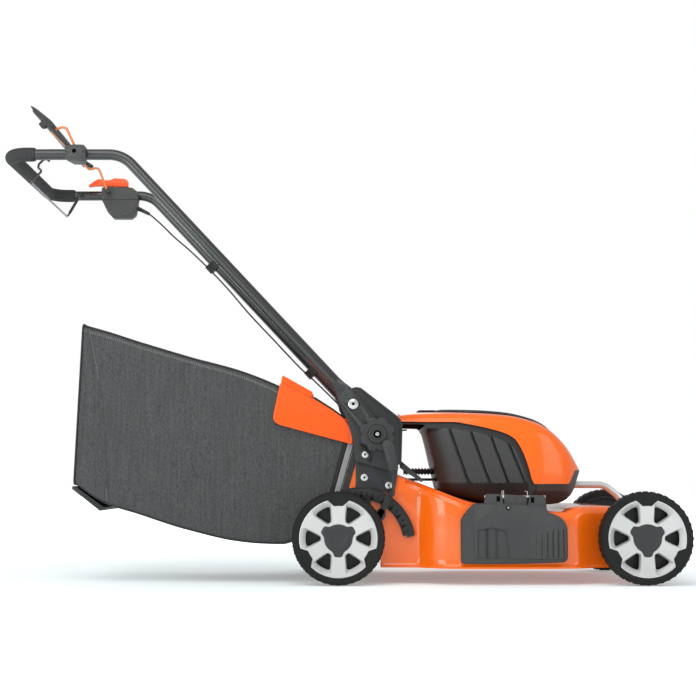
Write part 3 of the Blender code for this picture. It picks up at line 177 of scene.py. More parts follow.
def rounded_path(corners: Sequence[Sequence[float]], radii: Sequence[float], steps: int = 10) -> list[Vector]:
    """Path through corner points in space, each rounded by its own radius.

    Args:
        corners: Corner points, with the two ends.
        radii: Radius at each inner corner.
        steps: Chords in each bend.

    Returns:
        Points along the path.
    """
    points = [Vector(corners[0])]
    for before, corner, after, radius in zip(corners, corners[1:], corners[2:], radii):
        corner = Vector(corner)
        back = (Vector(before) - corner).normalized()
        ahead = (Vector(after) - corner).normalized()
        half = back.angle(ahead) / 2
        centre = corner + (back + ahead).normalized() * radius / math.sin(half)
        first = corner + back * radius / math.tan(half) - centre
        last = corner + ahead * radius / math.tan(half) - centre
        sweep = first.angle(last)
        for i in range(steps + 1):
            t = i / steps
            turned = first * math.sin((1 - t) * sweep) + last * math.sin(t * sweep)
            points.append(centre + turned / math.sin(sweep))
    points.append(Vector(corners[-1]))
    return points


def flowing(points: Sequence[Sequence[float]], steps: int = 6) -> list[Vector]:
    """Smooth line through points in space.

    Args:
        points: Points that the line passes.
        steps: Points in each stretch.

    Returns:
        Points along the line.
    """
    line = [Vector(p) for p in points]
    padded = [line[0] * 2 - line[1]] + line + [line[-1] * 2 - line[-2]]
    result = []
    for a, b, c, d in zip(padded, padded[1:], padded[2:], padded[3:]):
        for k in range(steps):
            t = k / steps
            result.append(0.5 * (2 * b + (c - a) * t + (2 * a - 5 * b + 4 * c - d) * t * t
                + (3 * b - 3 * c + d - a) * t ** 3))
    return result + [line[-1]]


class Form:
    """Points and faces of a piece while it is shaped."""

    def __init__(self) -> None:
        """Start empty, with the first finish in use."""
        self.points: list[Vector] = []
        self.faces: list[list[int]] = []
        self.paint: list[int] = []
        self.coat = 0

    def add_points(self, points: Iterable[Sequence[float]]) -> list[int]:
        """Add points and return their numbers.

        Args:
            points: Points to add.

        Returns:
            Their numbers.
        """
        start = len(self.points)
        self.points += [Vector(p) for p in points]
        return list(range(start, len(self.points)))

    def add_face(self, corners: Sequence[int]) -> None:
        """Add a face in the finish that is in use."""
        self.faces.append(list(corners))
        self.paint.append(self.coat)

    def skin(self, rings: Sequence[Sequence[Sequence[float]]], around: bool = True, capped: bool = True,
            looped: bool = False) -> Form:
        """Join a row of sections with faces.

        Args:
            rings: Sections with equal numbers of points.
            around: Whether each section closes on itself.
            capped: Whether the two end sections are filled.
            looped: Whether the last section joins the first.

        Returns:
            This form.
        """
        numbers = [self.add_points(ring) for ring in rings]
        count = len(numbers[0])
        pairs = list(zip(numbers, numbers[1:])) + ([(numbers[-1], numbers[0])] if looped else [])
        for first, second in pairs:
            for k in range(count if around else count - 1):
                n = (k + 1) % count
                self.add_face((first[k], first[n], second[n], second[k]))
        if capped and around and not looped:
            self.add_face(numbers[0][::-1])
            self.add_face(numbers[-1])
        return self

    def plate(self, outline: Outline, y_from: float, y_to: float) -> Form:
        """Flat plate with an outline in X and Z, between two places across the mower."""
        self.skin([[(x, y, z) for x, z in outline] for y in (y_from, y_to)])
        return self

    def tube(self, path: Sequence[Vector], radius: float | Sequence[float], sides: int = 16,
            capped: bool = True) -> Form:
        """Round bar along a path.

        Args:
            path: Middle line.
            radius: One radius, or one for each point of the path.
            sides: Points round the bar.
            capped: Whether the ends are filled.

        Returns:
            This form.
        """
        return self.skin(tube_rings(path, radius, sides), capped=capped)

    def rod(self, start: Sequence[float], end: Sequence[float], radius: float, sides: int = 32,
            chamfer: float = 0.0) -> Form:
        """Straight round bar between two points, with its edges broken by the chamfer.

        Args:
            start: Middle of one end.
            end: Middle of the other end.
            radius: Radius of the bar.
            sides: Points round the bar.
            chamfer: Width of the broken edges, or 0.

        Returns:
            This form.
        """
        a, b = Vector(start), Vector(end)
        along = (b - a).normalized()
        path = [a, a + along * chamfer, b - along * chamfer, b] if chamfer else [a, b]
        radii = [radius - chamfer, radius, radius, radius - chamfer] if chamfer else [radius] * 2
        return self.tube(path, radii, sides)

    def box(self, low: Sequence[float], high: Sequence[float]) -> Form:
        """Block between two corners; its edges are rounded only where the piece's dressing has a bevel."""
        outline = [(low[0], low[2]), (high[0], low[2]), (high[0], high[2]), (low[0], high[2])]
        return self.plate(outline, low[1], high[1])


def tube_rings(path: Sequence[Vector], radius: float | Sequence[float], sides: int) -> list[list[Vector]]:
    """Round sections square to a path, carried along it without twist.

    Args:
        path: Middle line.
        radius: One radius, or one for each point of the path.
        sides: Points round the bar.

    Returns:
        A ring of points for each point of the path.
    """
    rings = []
    side: Vector | None = None
    for i, point in enumerate(path):
        ahead = (path[min(i + 1, len(path) - 1)] - path[max(i - 1, 0)]).normalized()
        side = ahead.orthogonal() if side is None else side
        side = (side - ahead * side.dot(ahead)).normalized()
        third = ahead.cross(side)
        size = radius if isinstance(radius, (int, float)) else radius[i]
        angles = [2 * math.pi * k / sides for k in range(sides)]
        rings.append([point + size * (side * math.cos(a) + third * math.sin(a)) for a in angles])
    return rings


def plain_copy(item: Object) -> Mesh:
    """Mesh of an object with its modifiers carried out.

    Args:
        item: Object with its modifiers.

    Returns:
        The new mesh.
    """
    bpy.context.view_layer.update()
    shown = item.evaluated_get(bpy.context.evaluated_depsgraph_get())
    return bpy.data.meshes.new_from_object(shown)


def new_object(name: str, data: ID) -> Object:
    """Object with its data, placed in the scene.

    Args:
        name: Its name.
        data: Mesh, camera or lamp.

    Returns:
        The object.
    """
    item = bpy.data.objects.new(name, data)
    bpy.context.scene.collection.objects.link(item)
    return item


def bare_object(name: str, points: Iterable[Sequence[float]], edges: Sequence[Sequence[int]] = ()) -> Object:
    """Object of points and edges only, for a geometry tree.

    Args:
        name: Its name.
        points: Its points.
        edges: Numbers of the two points of each edge.

    Returns:
        The object.
    """
    mesh = bpy.data.meshes.new(name)
    mesh.from_pydata([tuple(p) for p in points], list(edges), [])
    return new_object(name, mesh)


def rough_object(name: str, form: Form) -> Object:
    """Object with a form's points and faces, merged and with its faces outward.

    Args:
        name: Its name.
        form: Points, faces and coats.

    Returns:
        The object.
    """
    mesh = bpy.data.meshes.new(name)
    mesh.from_pydata([tuple(p) for p in form.points], [], form.faces)
    mesh.polygons.foreach_set("material_index", form.paint)
    work = bmesh.new()
    work.from_mesh(mesh)
    bmesh.ops.remove_doubles(work, verts=work.verts, dist=2e-6)
    bmesh.ops.recalc_face_normals(work, faces=work.faces)
    work.to_mesh(mesh)
    work.free()
    return new_object(name, mesh)


def settle(item: Object) -> Object:
    """Carry out an object's modifiers and remove them.

    Args:
        item: Object to change.

    Returns:
        The same object.
    """
    mesh = plain_copy(item)
    old = item.data
    item.modifiers.clear()
    item.data = mesh
    mesh.name = item.name
    bpy.data.meshes.remove(old)
    return item


def carve(item: Object, tools: Sequence[Object], operation: str = "DIFFERENCE") -> None:
    """Cut tools out of an object, or unite them with it, and remove the tools.

    Args:
        item: Object to change.
        tools: Objects that cut it or join it.
        operation: DIFFERENCE, UNION or INTERSECT.
    """
    for tool in tools:
        change = item.modifiers.new("carve", "BOOLEAN")
        change.operation = operation
        change.solver = "EXACT"
        change.object = tool
        settle(item)
        bpy.data.objects.remove(tool)


def unite(target: Object, other: Object) -> Object:
    """Put another object's faces in the target's mesh, in its first finish, and remove it.

    Args:
        target: Object that is kept.
        other: Object whose faces move over.

    Returns:
        The target.
    """
    work = bmesh.new()
    work.from_mesh(target.data)
    work.from_mesh(other.data)
    for face in work.faces:
        face.material_index = 0
    work.to_mesh(target.data)
    work.free()
    bpy.data.objects.remove(other)
    return target


def face_outward(item: Object, middle: Vector) -> None:
    """Turn an open sheet's faces away from a point inside it.

    Args:
        item: Object to change.
        middle: Point inside it.
    """
    work = bmesh.new()
    work.from_mesh(item.data)
    if sum((f.calc_center_median() - middle).dot(f.normal) * f.calc_area() for f in work.faces) < 0:
        bmesh.ops.reverse_faces(work, faces=work.faces)
    work.to_mesh(item.data)
    work.free()


@dataclass
class Dressing:
    """How a finished piece is bound to the frame.

    Attributes:
        body: Body that it rides on.
        slot: Material slot of the record; not used.
        finishes: Finishes in the order of the form's coats, or none to keep the mesh's own materials.
        stands_for: CAD nodes that it replaces.
        bevel: Width of the rounded edges, or 0.
        sharp: Angle in degrees past which an edge stays crisp.
        thickness: Wall that is given to an open sheet, inward.
        levels: Subdivision levels.
    """

    body: str
    slot: str
    finishes: Sequence[Finish]
    stands_for: Sequence[str] = ()
    bevel: float = 0.0
    sharp: float = 35.0
    thickness: float = 0.0
    levels: int = 0


def dress(item: Object, how: Dressing) -> Object:
    """Finish an object's edges and surface and bind it to the frame.

    Args:
        item: Shaped object at the origin.
        how: Its binding and finishes.

    Returns:
        The same object.
    """
    if how.thickness:
        wall = item.modifiers.new("wall", "SOLIDIFY")
        wall.thickness = how.thickness
        wall.offset = -1.0
    if how.levels:
        finer = item.modifiers.new("finer", "SUBSURF")
        finer.levels = finer.render_levels = how.levels
    if how.bevel:
        edges = item.modifiers.new("edges", "BEVEL")
        edges.width = how.bevel
        edges.segments = 2
        edges.limit_method = "ANGLE"
        edges.angle_limit = math.radians(38)
        edges.use_clamp_overlap = True
    if item.modifiers:
        settle(item)
    mesh = item.data
    if how.finishes:
        paint = [face.material_index for face in mesh.polygons]
        mesh.materials.clear()
        for finish in how.finishes:
            mesh.materials.append(finish.material())
        mesh.polygons.foreach_set("material_index", [min(p, len(how.finishes) - 1) for p in paint])
    mesh.shade_smooth()
    mesh.set_sharp_from_angle(angle=math.radians(how.sharp))
    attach(item, how.body)
    if how.stands_for:
        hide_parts(*how.stands_for)
    LOG.info("%s: %d faces on %s", item.name, len(mesh.polygons), how.body)
    return item


def make_piece(name: str, form: Form, how: Dressing) -> Object:
    """Make, finish and bind one piece from its form."""
    return dress(rough_object(name, form), how)


# Patterns that repeat


@dataclass
class Graph:
    """Nodes and links of one tree.

    Attributes:
        tree: The node tree.
    """

    tree: NodeTree

    def feed(self, node: Node, values: dict[int | str, object]) -> None:
        """Link a socket, or give a plain value, to each named or numbered input of a node.

        Args:
            node: The node.
            values: Socket or plain value of each input.
        """
        for key, value in values.items():
            if isinstance(value, NodeSocket):
                self.tree.links.new(value, node.inputs[key])
            else:
                node.inputs[key].default_value = value

    def add(self, kind: str, values: dict[int | str, object] | None = None, **settings: object) -> Node:
        """Add a node.

        Args:
            kind: Its type.
            values: What its inputs are fed.
            settings: Its properties.

        Returns:
            The node.
        """
        node = self.tree.nodes.new(kind)
        for name, setting in settings.items():
            setattr(node, name, setting)
        self.feed(node, values or {})
        return node

    def calculate(self, operation: str, *values: object) -> NodeSocket:
        """Result of a math node."""
        return self.add("ShaderNodeMath", dict(enumerate(values)), operation=operation).outputs[0]

    def ramp(self, share: NodeSocket, places: Pair, colours: Sequence[Sequence[float]]) -> NodeSocket:
        """Colour between two colours.

        Args:
            share: Value that runs from 0 to 1.
            places: Values up to which, and from which, a colour is pure.
            colours: The two colours.

        Returns:
            The colour's socket.
        """
        node = self.add("ShaderNodeValToRGB", {0: share})
        for stop, place, colour in zip(node.color_ramp.elements, places, colours):
            stop.position = place
            stop.color = (*colour, 1.0)
        return node.outputs[0]

    def close(self, copies: Node, finish: NodeSocket | None = None) -> None:
        """End a geometry tree with real geometry.

        Args:
            copies: Node whose instances are made real.
            finish: Material's socket, or none where the instances have their own.
        """
        result = self.add("GeometryNodeRealizeInstances", {0: copies.outputs[0]}).outputs[0]
        if finish:
            result = self.add("GeometryNodeSetMaterial", {"Geometry": result, "Material": finish}).outputs[0]
        self.add("NodeGroupOutput", {0: result})


def new_tree(name: str, sockets: Sequence[tuple[str, str]]) -> NodeTree:
    """Geometry tree with a geometry in and out, and named inputs.

    Args:
        name: Name of the tree.
        sockets: Name and socket type of each further input.

    Returns:
        The tree.
    """
    tree = bpy.data.node_groups.new(name, "GeometryNodeTree")
    tree.interface.new_socket(name="Geometry", in_out="INPUT", socket_type="NodeSocketGeometry")
    for label, kind in sockets:
        tree.interface.new_socket(name=label, in_out="INPUT", socket_type=kind)
    tree.interface.new_socket(name="Geometry", in_out="OUTPUT", socket_type="NodeSocketGeometry")
    return tree


def ring_tree() -> NodeTree:
    """Tree that repeats its geometry round the Z axis, each copy turned with its place.

    Returns:
        The tree.
    """
    tree = new_tree("ring_pattern", [("Count", "NodeSocketInt"), ("Phase", "NodeSocketFloat"),
        ("Finish", "NodeSocketMaterial")])
    graph = Graph(tree)
    given = graph.add("NodeGroupInput").outputs
    points = graph.add("GeometryNodePoints", {"Count": given["Count"]})
    index = graph.add("GeometryNodeInputIndex")
    share = graph.calculate("DIVIDE", index.outputs[0], given["Count"])
    turn = graph.calculate("MULTIPLY_ADD", share, 2 * math.pi, given["Phase"])
    rotation = graph.add("ShaderNodeCombineXYZ", {"Z": turn})
    copies = graph.add("GeometryNodeInstanceOnPoints",
        {"Points": points.outputs[0], "Instance": given["Geometry"], "Rotation": rotation.outputs[0]})
    graph.close(copies, given["Finish"])
    return tree


def path_tree() -> NodeTree:
    """Tree that lays short beads along the lines of its geometry, a step apart and pointing along them.

    Returns:
        The tree.
    """
    tree = new_tree("path_pattern", [("Step", "NodeSocketFloat"), ("Length", "NodeSocketFloat"),
        ("Thickness", "NodeSocketFloat"), ("Finish", "NodeSocketMaterial")])
    graph = Graph(tree)
    given = graph.add("NodeGroupInput").outputs
    line = graph.add("GeometryNodeMeshToCurve", {0: given["Geometry"]})
    spaced = graph.add("GeometryNodeCurveToPoints", {"Curve": line.outputs[0], "Length": given["Step"]},
        mode="LENGTH")
    bead = graph.add("GeometryNodeMeshCylinder",
        {"Vertices": 6, "Radius": given["Thickness"], "Depth": given["Length"]})
    aim = graph.add("FunctionNodeAlignRotationToVector", {"Vector": spaced.outputs["Tangent"]}, axis="Z")
    copies = graph.add("GeometryNodeInstanceOnPoints",
        {"Points": spaced.outputs["Points"], "Instance": bead.outputs["Mesh"], "Rotation": aim.outputs[0]})
    graph.close(copies, given["Finish"])
    return tree


def run_tree(item: Object, tree: NodeTree, values: dict[str, object]) -> Object:
    """Carry out a geometry tree on an object and keep the plain result.

    Args:
        item: Object that carries the geometry to repeat or follow.
        tree: Geometry tree.
        values: Value of each named input.

    Returns:
        The same object with the result as its mesh.
    """
    pattern = item.modifiers.new("pattern", "NODES")
    pattern.node_group = tree
    for socket in tree.interface.items_tree:
        if socket.in_out == "INPUT" and socket.name in values:
            pattern[socket.identifier] = values[socket.name]
    return settle(item)


# Finishes


class Relief(Enum):
    """Kinds of fine relief that a finish can have."""

    NONE = "none"
    GRAIN = "grain"
    POWDER = "powder"
    BRUSHED = "brushed"
    WOVEN = "woven"
    CELLS = "cells"


@dataclass(frozen=True)
class Finish:
    """A paint, plastic, metal, rubber or cloth.

    Attributes:
        name: Material name.
        colour: Linear colour.
        roughness: Middle roughness.
        metallic: 1 for bare metal.
        coat: Weight of the clear coat.
        relief: Kind of fine relief.
        size: Size of the relief's features.
        depth: Strength of the relief, from 0 to 1.
        mottle: Share by which the colour varies in broad patches.
        dust: Share of a paler film in the patches.
        shine: Strength of the reflection, 0.5 for common plastics.
    """

    name: str
    colour: tuple[float, float, float]
    roughness: float
    metallic: float = 0.0
    coat: float = 0.0
    relief: Relief = Relief.GRAIN
    size: float = 0.0012
    depth: float = 0.2
    mottle: float = 0.1
    dust: float = 0.0
    shine: float = 0.5

    def material(self) -> Material:
        """Node material of this finish, made once.

        Returns:
            The material.
        """
        label = f"{self.name}_finish"
        made = bpy.data.materials.get(label)
        if made:
            return made
        made = bpy.data.materials.new(label)
        made.use_nodes = True
        made.diffuse_color = (*self.colour, 1.0)
        graph = Graph(made.node_tree)
        place = graph.add("ShaderNodeTexCoord").outputs["Object"]
        uneven = graph.add("ShaderNodeMapRange",
            {"To Min": max(0.02, self.roughness - 0.06), "To Max": min(1.0, self.roughness + 0.08),
            "Value": self.noise(graph, place, 60.0, 4.0)})
        values = {"Metallic": self.metallic, "Coat Weight": self.coat, "Coat Roughness": 0.04,
            "Specular IOR Level": self.shine, "Roughness": uneven.outputs[0],
            "Base Color": self.patch_colour(graph, self.noise(graph, place, 9.0, 3.0))}
        height = self.height(graph, place)
        if height:
            bump = graph.add("ShaderNodeBump",
                {"Strength": self.depth, "Distance": self.size * 0.5, "Height": height})
            values["Normal"] = bump.outputs[0]
        graph.feed(made.node_tree.nodes["Principled BSDF"], values)
        return made

    @staticmethod
    def noise(graph: Graph, place: NodeSocket, scale: float, detail: float,
            stretch: tuple[float, float, float] | None = None) -> NodeSocket:
        """Noise over the piece.

        Args:
            graph: Nodes of the material.
            place: Coordinates on the piece.
            scale: Features in a metre.
            detail: Octaves.
            stretch: Factor on each axis, or none.

        Returns:
            The noise value's socket.
        """
        if stretch:
            place = graph.add("ShaderNodeMapping", {"Vector": place, "Scale": stretch}).outputs[0]
        texture = graph.add("ShaderNodeTexNoise", {"Vector": place, "Scale": scale, "Detail": detail})
        return texture.outputs["Fac"]

    def patch_colour(self, graph: Graph, patches: NodeSocket) -> NodeSocket:
        """Colour that varies with the patches, from a darker to a paler tone.

        Args:
            graph: Nodes of the material.
            patches: Noise of the broad patches.

        Returns:
            The colour's socket.
        """
        darker = [c * (1 - self.mottle) for c in self.colour]
        paler = [min(1.0, mix(c * (1 + self.mottle), 0.45, self.dust)) for c in self.colour]
        return graph.ramp(patches, (0.3, 0.72), (darker, paler))

    def height(self, graph: Graph, place: NodeSocket) -> NodeSocket | None:
        """Height pattern of the relief, or none.

        Args:
            graph: Nodes of the material.
            place: Coordinates on the piece.

        Returns:
            The height's socket, or none.
        """
        fine = 1.0 / self.size
        if self.relief is Relief.NONE:
            return None
        if self.relief is Relief.BRUSHED:
            return self.noise(graph, place, fine, 2.0, (1.0, 0.06, 1.0))
        if self.relief is Relief.CELLS:
            return graph.add("ShaderNodeTexVoronoi", {"Scale": fine, "Vector": place}).outputs["Distance"]
        return self.noise(graph, place, fine, 2.0 if self.relief is Relief.POWDER else 4.0)


@dataclass(frozen=True)
class Cloth(Finish):
    """Coated woven cloth with dark and pale slubs that run up and down.

    Attributes:
        thread: Distance between threads.
        streak: Share by which the slubs are darker or paler.
    """

    thread: float = 0.0016
    streak: float = 0.34

    def patch_colour(self, graph: Graph, patches: NodeSocket) -> NodeSocket:
        """Colour of the threads: short upright slubs, and faint columns about 5 mm apart.

        Args:
            graph: Nodes of the material.
            patches: Noise of the broad patches, which cloth doesn't use.

        Returns:
            The colour's socket.
        """
        place = graph.add("ShaderNodeTexCoord").outputs["Object"]
        slubs = self.noise(graph, place, 460.0, 3.0, (1.0, 1.0, 0.42))
        columns = self.noise(graph, place, 200.0, 2.0, (1.0, 1.0, 0.05))
        total = graph.add("ShaderNodeMix", {0: 0.3, 2: slubs, 3: columns})
        darker = [c * (1 - self.streak) for c in self.colour]
        paler = [c * (1 + self.streak) for c in self.colour]
        return graph.ramp(total.outputs[0], (0.38, 0.68), (darker, paler))

    def height(self, graph: Graph, place: NodeSocket) -> NodeSocket | None:
        """Height of a plain weave: two sets of ribs that cross.

        Args:
            graph: Nodes of the material.
            place: Coordinates on the piece.

        Returns:
            The height's socket.
        """
        values = {"Scale": 0.314 / self.thread, "Distortion": 0.6, "Detail Scale": 2.0, "Vector": place}
        ribs = [graph.add("ShaderNodeTexWave", values, bands_direction=direction) for direction in ("X", "Z")]
        return graph.calculate("MAXIMUM", *[rib.outputs["Fac"] for rib in ribs])


ORANGE = (1.0, 0.15, 0.004)
DECK_PAINT = Finish("deck_paint", ORANGE, 0.22, coat=0.8, relief=Relief.POWDER, size=0.006, depth=0.03,
    mottle=0.05, shine=0.3)
FLAP_ORANGE = Finish("flap_orange", (0.98, 0.104, 0.002), 0.34, coat=0.3, relief=Relief.POWDER, size=0.008,
    depth=0.02, mottle=0.04, shine=0.25)
HOOD_GLOSS = Finish("hood_plastic", ORANGE, 0.24, coat=0.35, relief=Relief.POWDER, size=0.008, depth=0.02,
    mottle=0.04, shine=0.3)
LEVER_ORANGE = Finish("orange_plastic", (0.98, 0.095, 0.005), 0.38, size=0.0008, depth=0.1, mottle=0.06)
WIRE_ORANGE = Finish("orange_coating", (0.7, 0.215, 0.052), 0.36, size=0.0008, depth=0.08, mottle=0.05)
HOUSING_PLASTIC = Finish("housing_plastic", (0.029, 0.029, 0.03), 0.52, size=0.0009, depth=0.25, mottle=0.12)
COWL_PLASTIC = Finish("cowl_plastic", (0.039, 0.039, 0.04), 0.5, size=0.0009, depth=0.22, mottle=0.1)
FLAP_PLASTIC = Finish("flap_plastic", (0.046, 0.046, 0.047), 0.55, size=0.0009, depth=0.28, mottle=0.12)
BLACK_PLASTIC = Finish("black_plastic", (0.014, 0.014, 0.015), 0.46, size=0.0009, depth=0.22, mottle=0.15)
CAP_PLASTIC = Finish("cap_plastic", (0.028, 0.028, 0.029), 0.42, size=0.0008, depth=0.15, mottle=0.1)
RIM_SILVER = Finish("rim_plastic", (0.655, 0.65, 0.645), 0.34, metallic=0.45, relief=Relief.POWDER,
    size=0.0006, depth=0.08, mottle=0.06)
TYRE_RUBBER = Finish("tyre_rubber", (0.009, 0.009, 0.009), 0.7, size=0.001, depth=0.3, mottle=0.2, dust=0.004,
    shine=0.3)
SHEET_RUBBER = Finish("shield_rubber", (0.022, 0.022, 0.022), 0.72, size=0.0012, depth=0.3, mottle=0.2,
    dust=0.03)
FOAM = Finish("grip_foam", (0.036, 0.036, 0.037), 0.92, relief=Relief.CELLS, size=0.0011, depth=0.65,
    mottle=0.2)
CABLE_SKIN = Finish("cable_rubber", (0.014, 0.014, 0.014), 0.48, size=0.0006, depth=0.1, mottle=0.1)
TUBE_PAINT = Finish("tube_paint", (0.019, 0.019, 0.02), 0.27, coat=0.5, relief=Relief.POWDER, size=0.0007,
    depth=0.07, mottle=0.06)
PLATE_PAINT = Finish("plate_paint", (0.018, 0.018, 0.019), 0.4, relief=Relief.POWDER, size=0.0007, depth=0.14,
    mottle=0.1)
ZINC = Finish("bright_steel", (0.66, 0.66, 0.65), 0.28, metallic=1.0, relief=Relief.BRUSHED, size=0.0005,
    depth=0.12, mottle=0.08)
DARK_STEEL = Finish("dark_steel", (0.085, 0.085, 0.088), 0.24, metallic=0.9, relief=Relief.BRUSHED,
    size=0.0006, depth=0.15, mottle=0.12)
ALUMINIUM = Finish("bare_aluminium", (0.72, 0.72, 0.73), 0.34, metallic=0.55, relief=Relief.BRUSHED,
    size=0.0006, depth=0.1, mottle=0.05)
BAG_CLOTH = Cloth("bag_cloth", (0.069, 0.069, 0.07), 0.9, relief=Relief.WOVEN, size=0.0016, depth=0.45)
TRIM_TAPE = Finish("trim_tape", (0.012, 0.012, 0.013), 0.7, relief=Relief.WOVEN, size=0.001, depth=0.35,
    mottle=0.15)
GREY_TAPE = Finish("grey_tape", (0.3, 0.3, 0.3), 0.62, size=0.001, depth=0.25, mottle=0.1)
# Painted shade: a near-black finish put in holes, slots and recesses, and on the quadrant's ticks, for their
# shade.
RECESS_SHADE = Finish("recess_shadow", (0.002, 0.002, 0.002), 0.9, depth=0.1, shine=0.05)


# Studio


@dataclass
class Studio:
    """Camera, pale floor and soft lamps.

    Attributes:
        eye: Place of the camera.
        tilt: Upward tilt of the camera in degrees.
        lens: Focal length for a 36 mm wide frame.
    """

    eye: tuple[float, float, float] = (0.0145, -3.25, 0.228)
    tilt: float = 5.324
    lens: float = 72.155

    def build(self) -> None:
        """Place the camera, the floor, the lamps and the surroundings."""
        self.place_camera()
        self.lay_floor()
        self.lamp("key", (-0.5, -2.2, 2.5), (0.0, 0.0, 0.3), 2.2, 36.0)
        self.lamp("front", (2.6, -1.6, 1.0), (0.3, 0.0, 0.2), 1.4, 12.0)
        self.lamp("back", (-0.6, 2.6, 1.5), (-0.2, 0.0, 0.2), 2.0, 16.0)
        self.lamp("fill", (-2.3, -2.4, 0.75), (-0.1, 0.0, 0.2), 1.4, 26.0)
        self.light_room()
        bpy.context.scene.view_settings.view_transform = "Standard"

    def place_camera(self) -> None:
        """Camera at the photographed angle."""
        data = bpy.data.cameras.new("camera")
        data.lens = self.lens
        data.sensor_width = 36.0
        data.clip_end = 60.0
        camera = new_object("camera", data)
        camera.location = self.eye
        camera.rotation_euler = (math.radians(90 + self.tilt), 0.0, 0.0)
        bpy.context.scene.camera = camera

    @staticmethod
    def lay_floor() -> None:
        """Wide pale floor that keeps the mower's soft shadow; it glows more away from the mower."""
        mesh = bpy.data.meshes.new("floor")
        reach = 14.0
        mesh.from_pydata([(-reach, -reach, 0.0), (reach, -reach, 0.0), (reach, reach, 0.0),
            (-reach, reach, 0.0)], [], [(0, 1, 2, 3)])
        floor = new_object("floor", mesh)
        paper = bpy.data.materials.new("floor_paper")
        paper.use_nodes = True
        nodes, graph = paper.node_tree.nodes, Graph(paper.node_tree)
        nodes.remove(nodes["Principled BSDF"])
        matt = graph.add("ShaderNodeBsdfDiffuse", {"Color": (0.86, 0.95, 0.96, 1.0)})
        ray = graph.add("ShaderNodeLightPath")
        seen = graph.calculate("MAXIMUM", ray.outputs["Is Camera Ray"], 0.5)
        place = graph.add("ShaderNodeTexCoord")
        distance = graph.add("ShaderNodeVectorMath", {0: place.outputs["Object"]}, operation="LENGTH")
        share = graph.add("ShaderNodeMapRange",
            {"From Min": 0.75, "From Max": 2.2, "To Min": 0.26, "To Max": 1.0,
            "Value": distance.outputs["Value"]}, interpolation_type="SMOOTHSTEP")
        level = graph.calculate("MULTIPLY", seen, share.outputs[0])
        glow = graph.add("ShaderNodeEmission", {"Strength": level})
        both = graph.add("ShaderNodeAddShader", {0: matt.outputs[0], 1: glow.outputs[0]})
        graph.feed(nodes["Material Output"], {"Surface": both.outputs[0]})
        mesh.materials.append(paper)

    @staticmethod
    def lamp(name: str, place: Sequence[float], aim: Sequence[float], size: float, power: float) -> None:
        """Square soft lamp.

        Args:
            name: Name of the lamp.
            place: Where it stands.
            aim: Point that it faces.
            size: Side of the lamp.
            power: Power in watts.
        """
        data = bpy.data.lights.new(name, "AREA")
        data.size = size
        data.energy = power
        lamp = new_object(name, data)
        lamp.location = place
        lamp.rotation_euler = (Vector(aim) - Vector(place)).to_track_quat("-Z", "Y").to_euler()

    @staticmethod
    def light_room() -> None:
        """White surroundings for the camera, and an even, weaker light on the object."""
        world = bpy.data.worlds.new("room")
        bpy.context.scene.world = world
        world.use_nodes = True
        graph = Graph(world.node_tree)
        ray = graph.add("ShaderNodeLightPath").outputs
        seen = graph.calculate("MAXIMUM", ray["Is Camera Ray"], ray["Is Transmission Ray"])
        strength = graph.add("ShaderNodeMapRange", {"To Min": 0.58, "To Max": 1.0, "Value": seen})
        graph.feed(world.node_tree.nodes["Background"],
            {"Color": (1.0, 1.0, 1.0, 1.0), "Strength": strength.outputs[0]})


# Running gear

AXLE_Z = 0.1
REAR_AXLE_X = -0.006
FRONT_AXLE_X = 0.65
SHAFT_X = 0.34
MOUTH_LEAN = 0.28
MOUTH_Z = 0.295


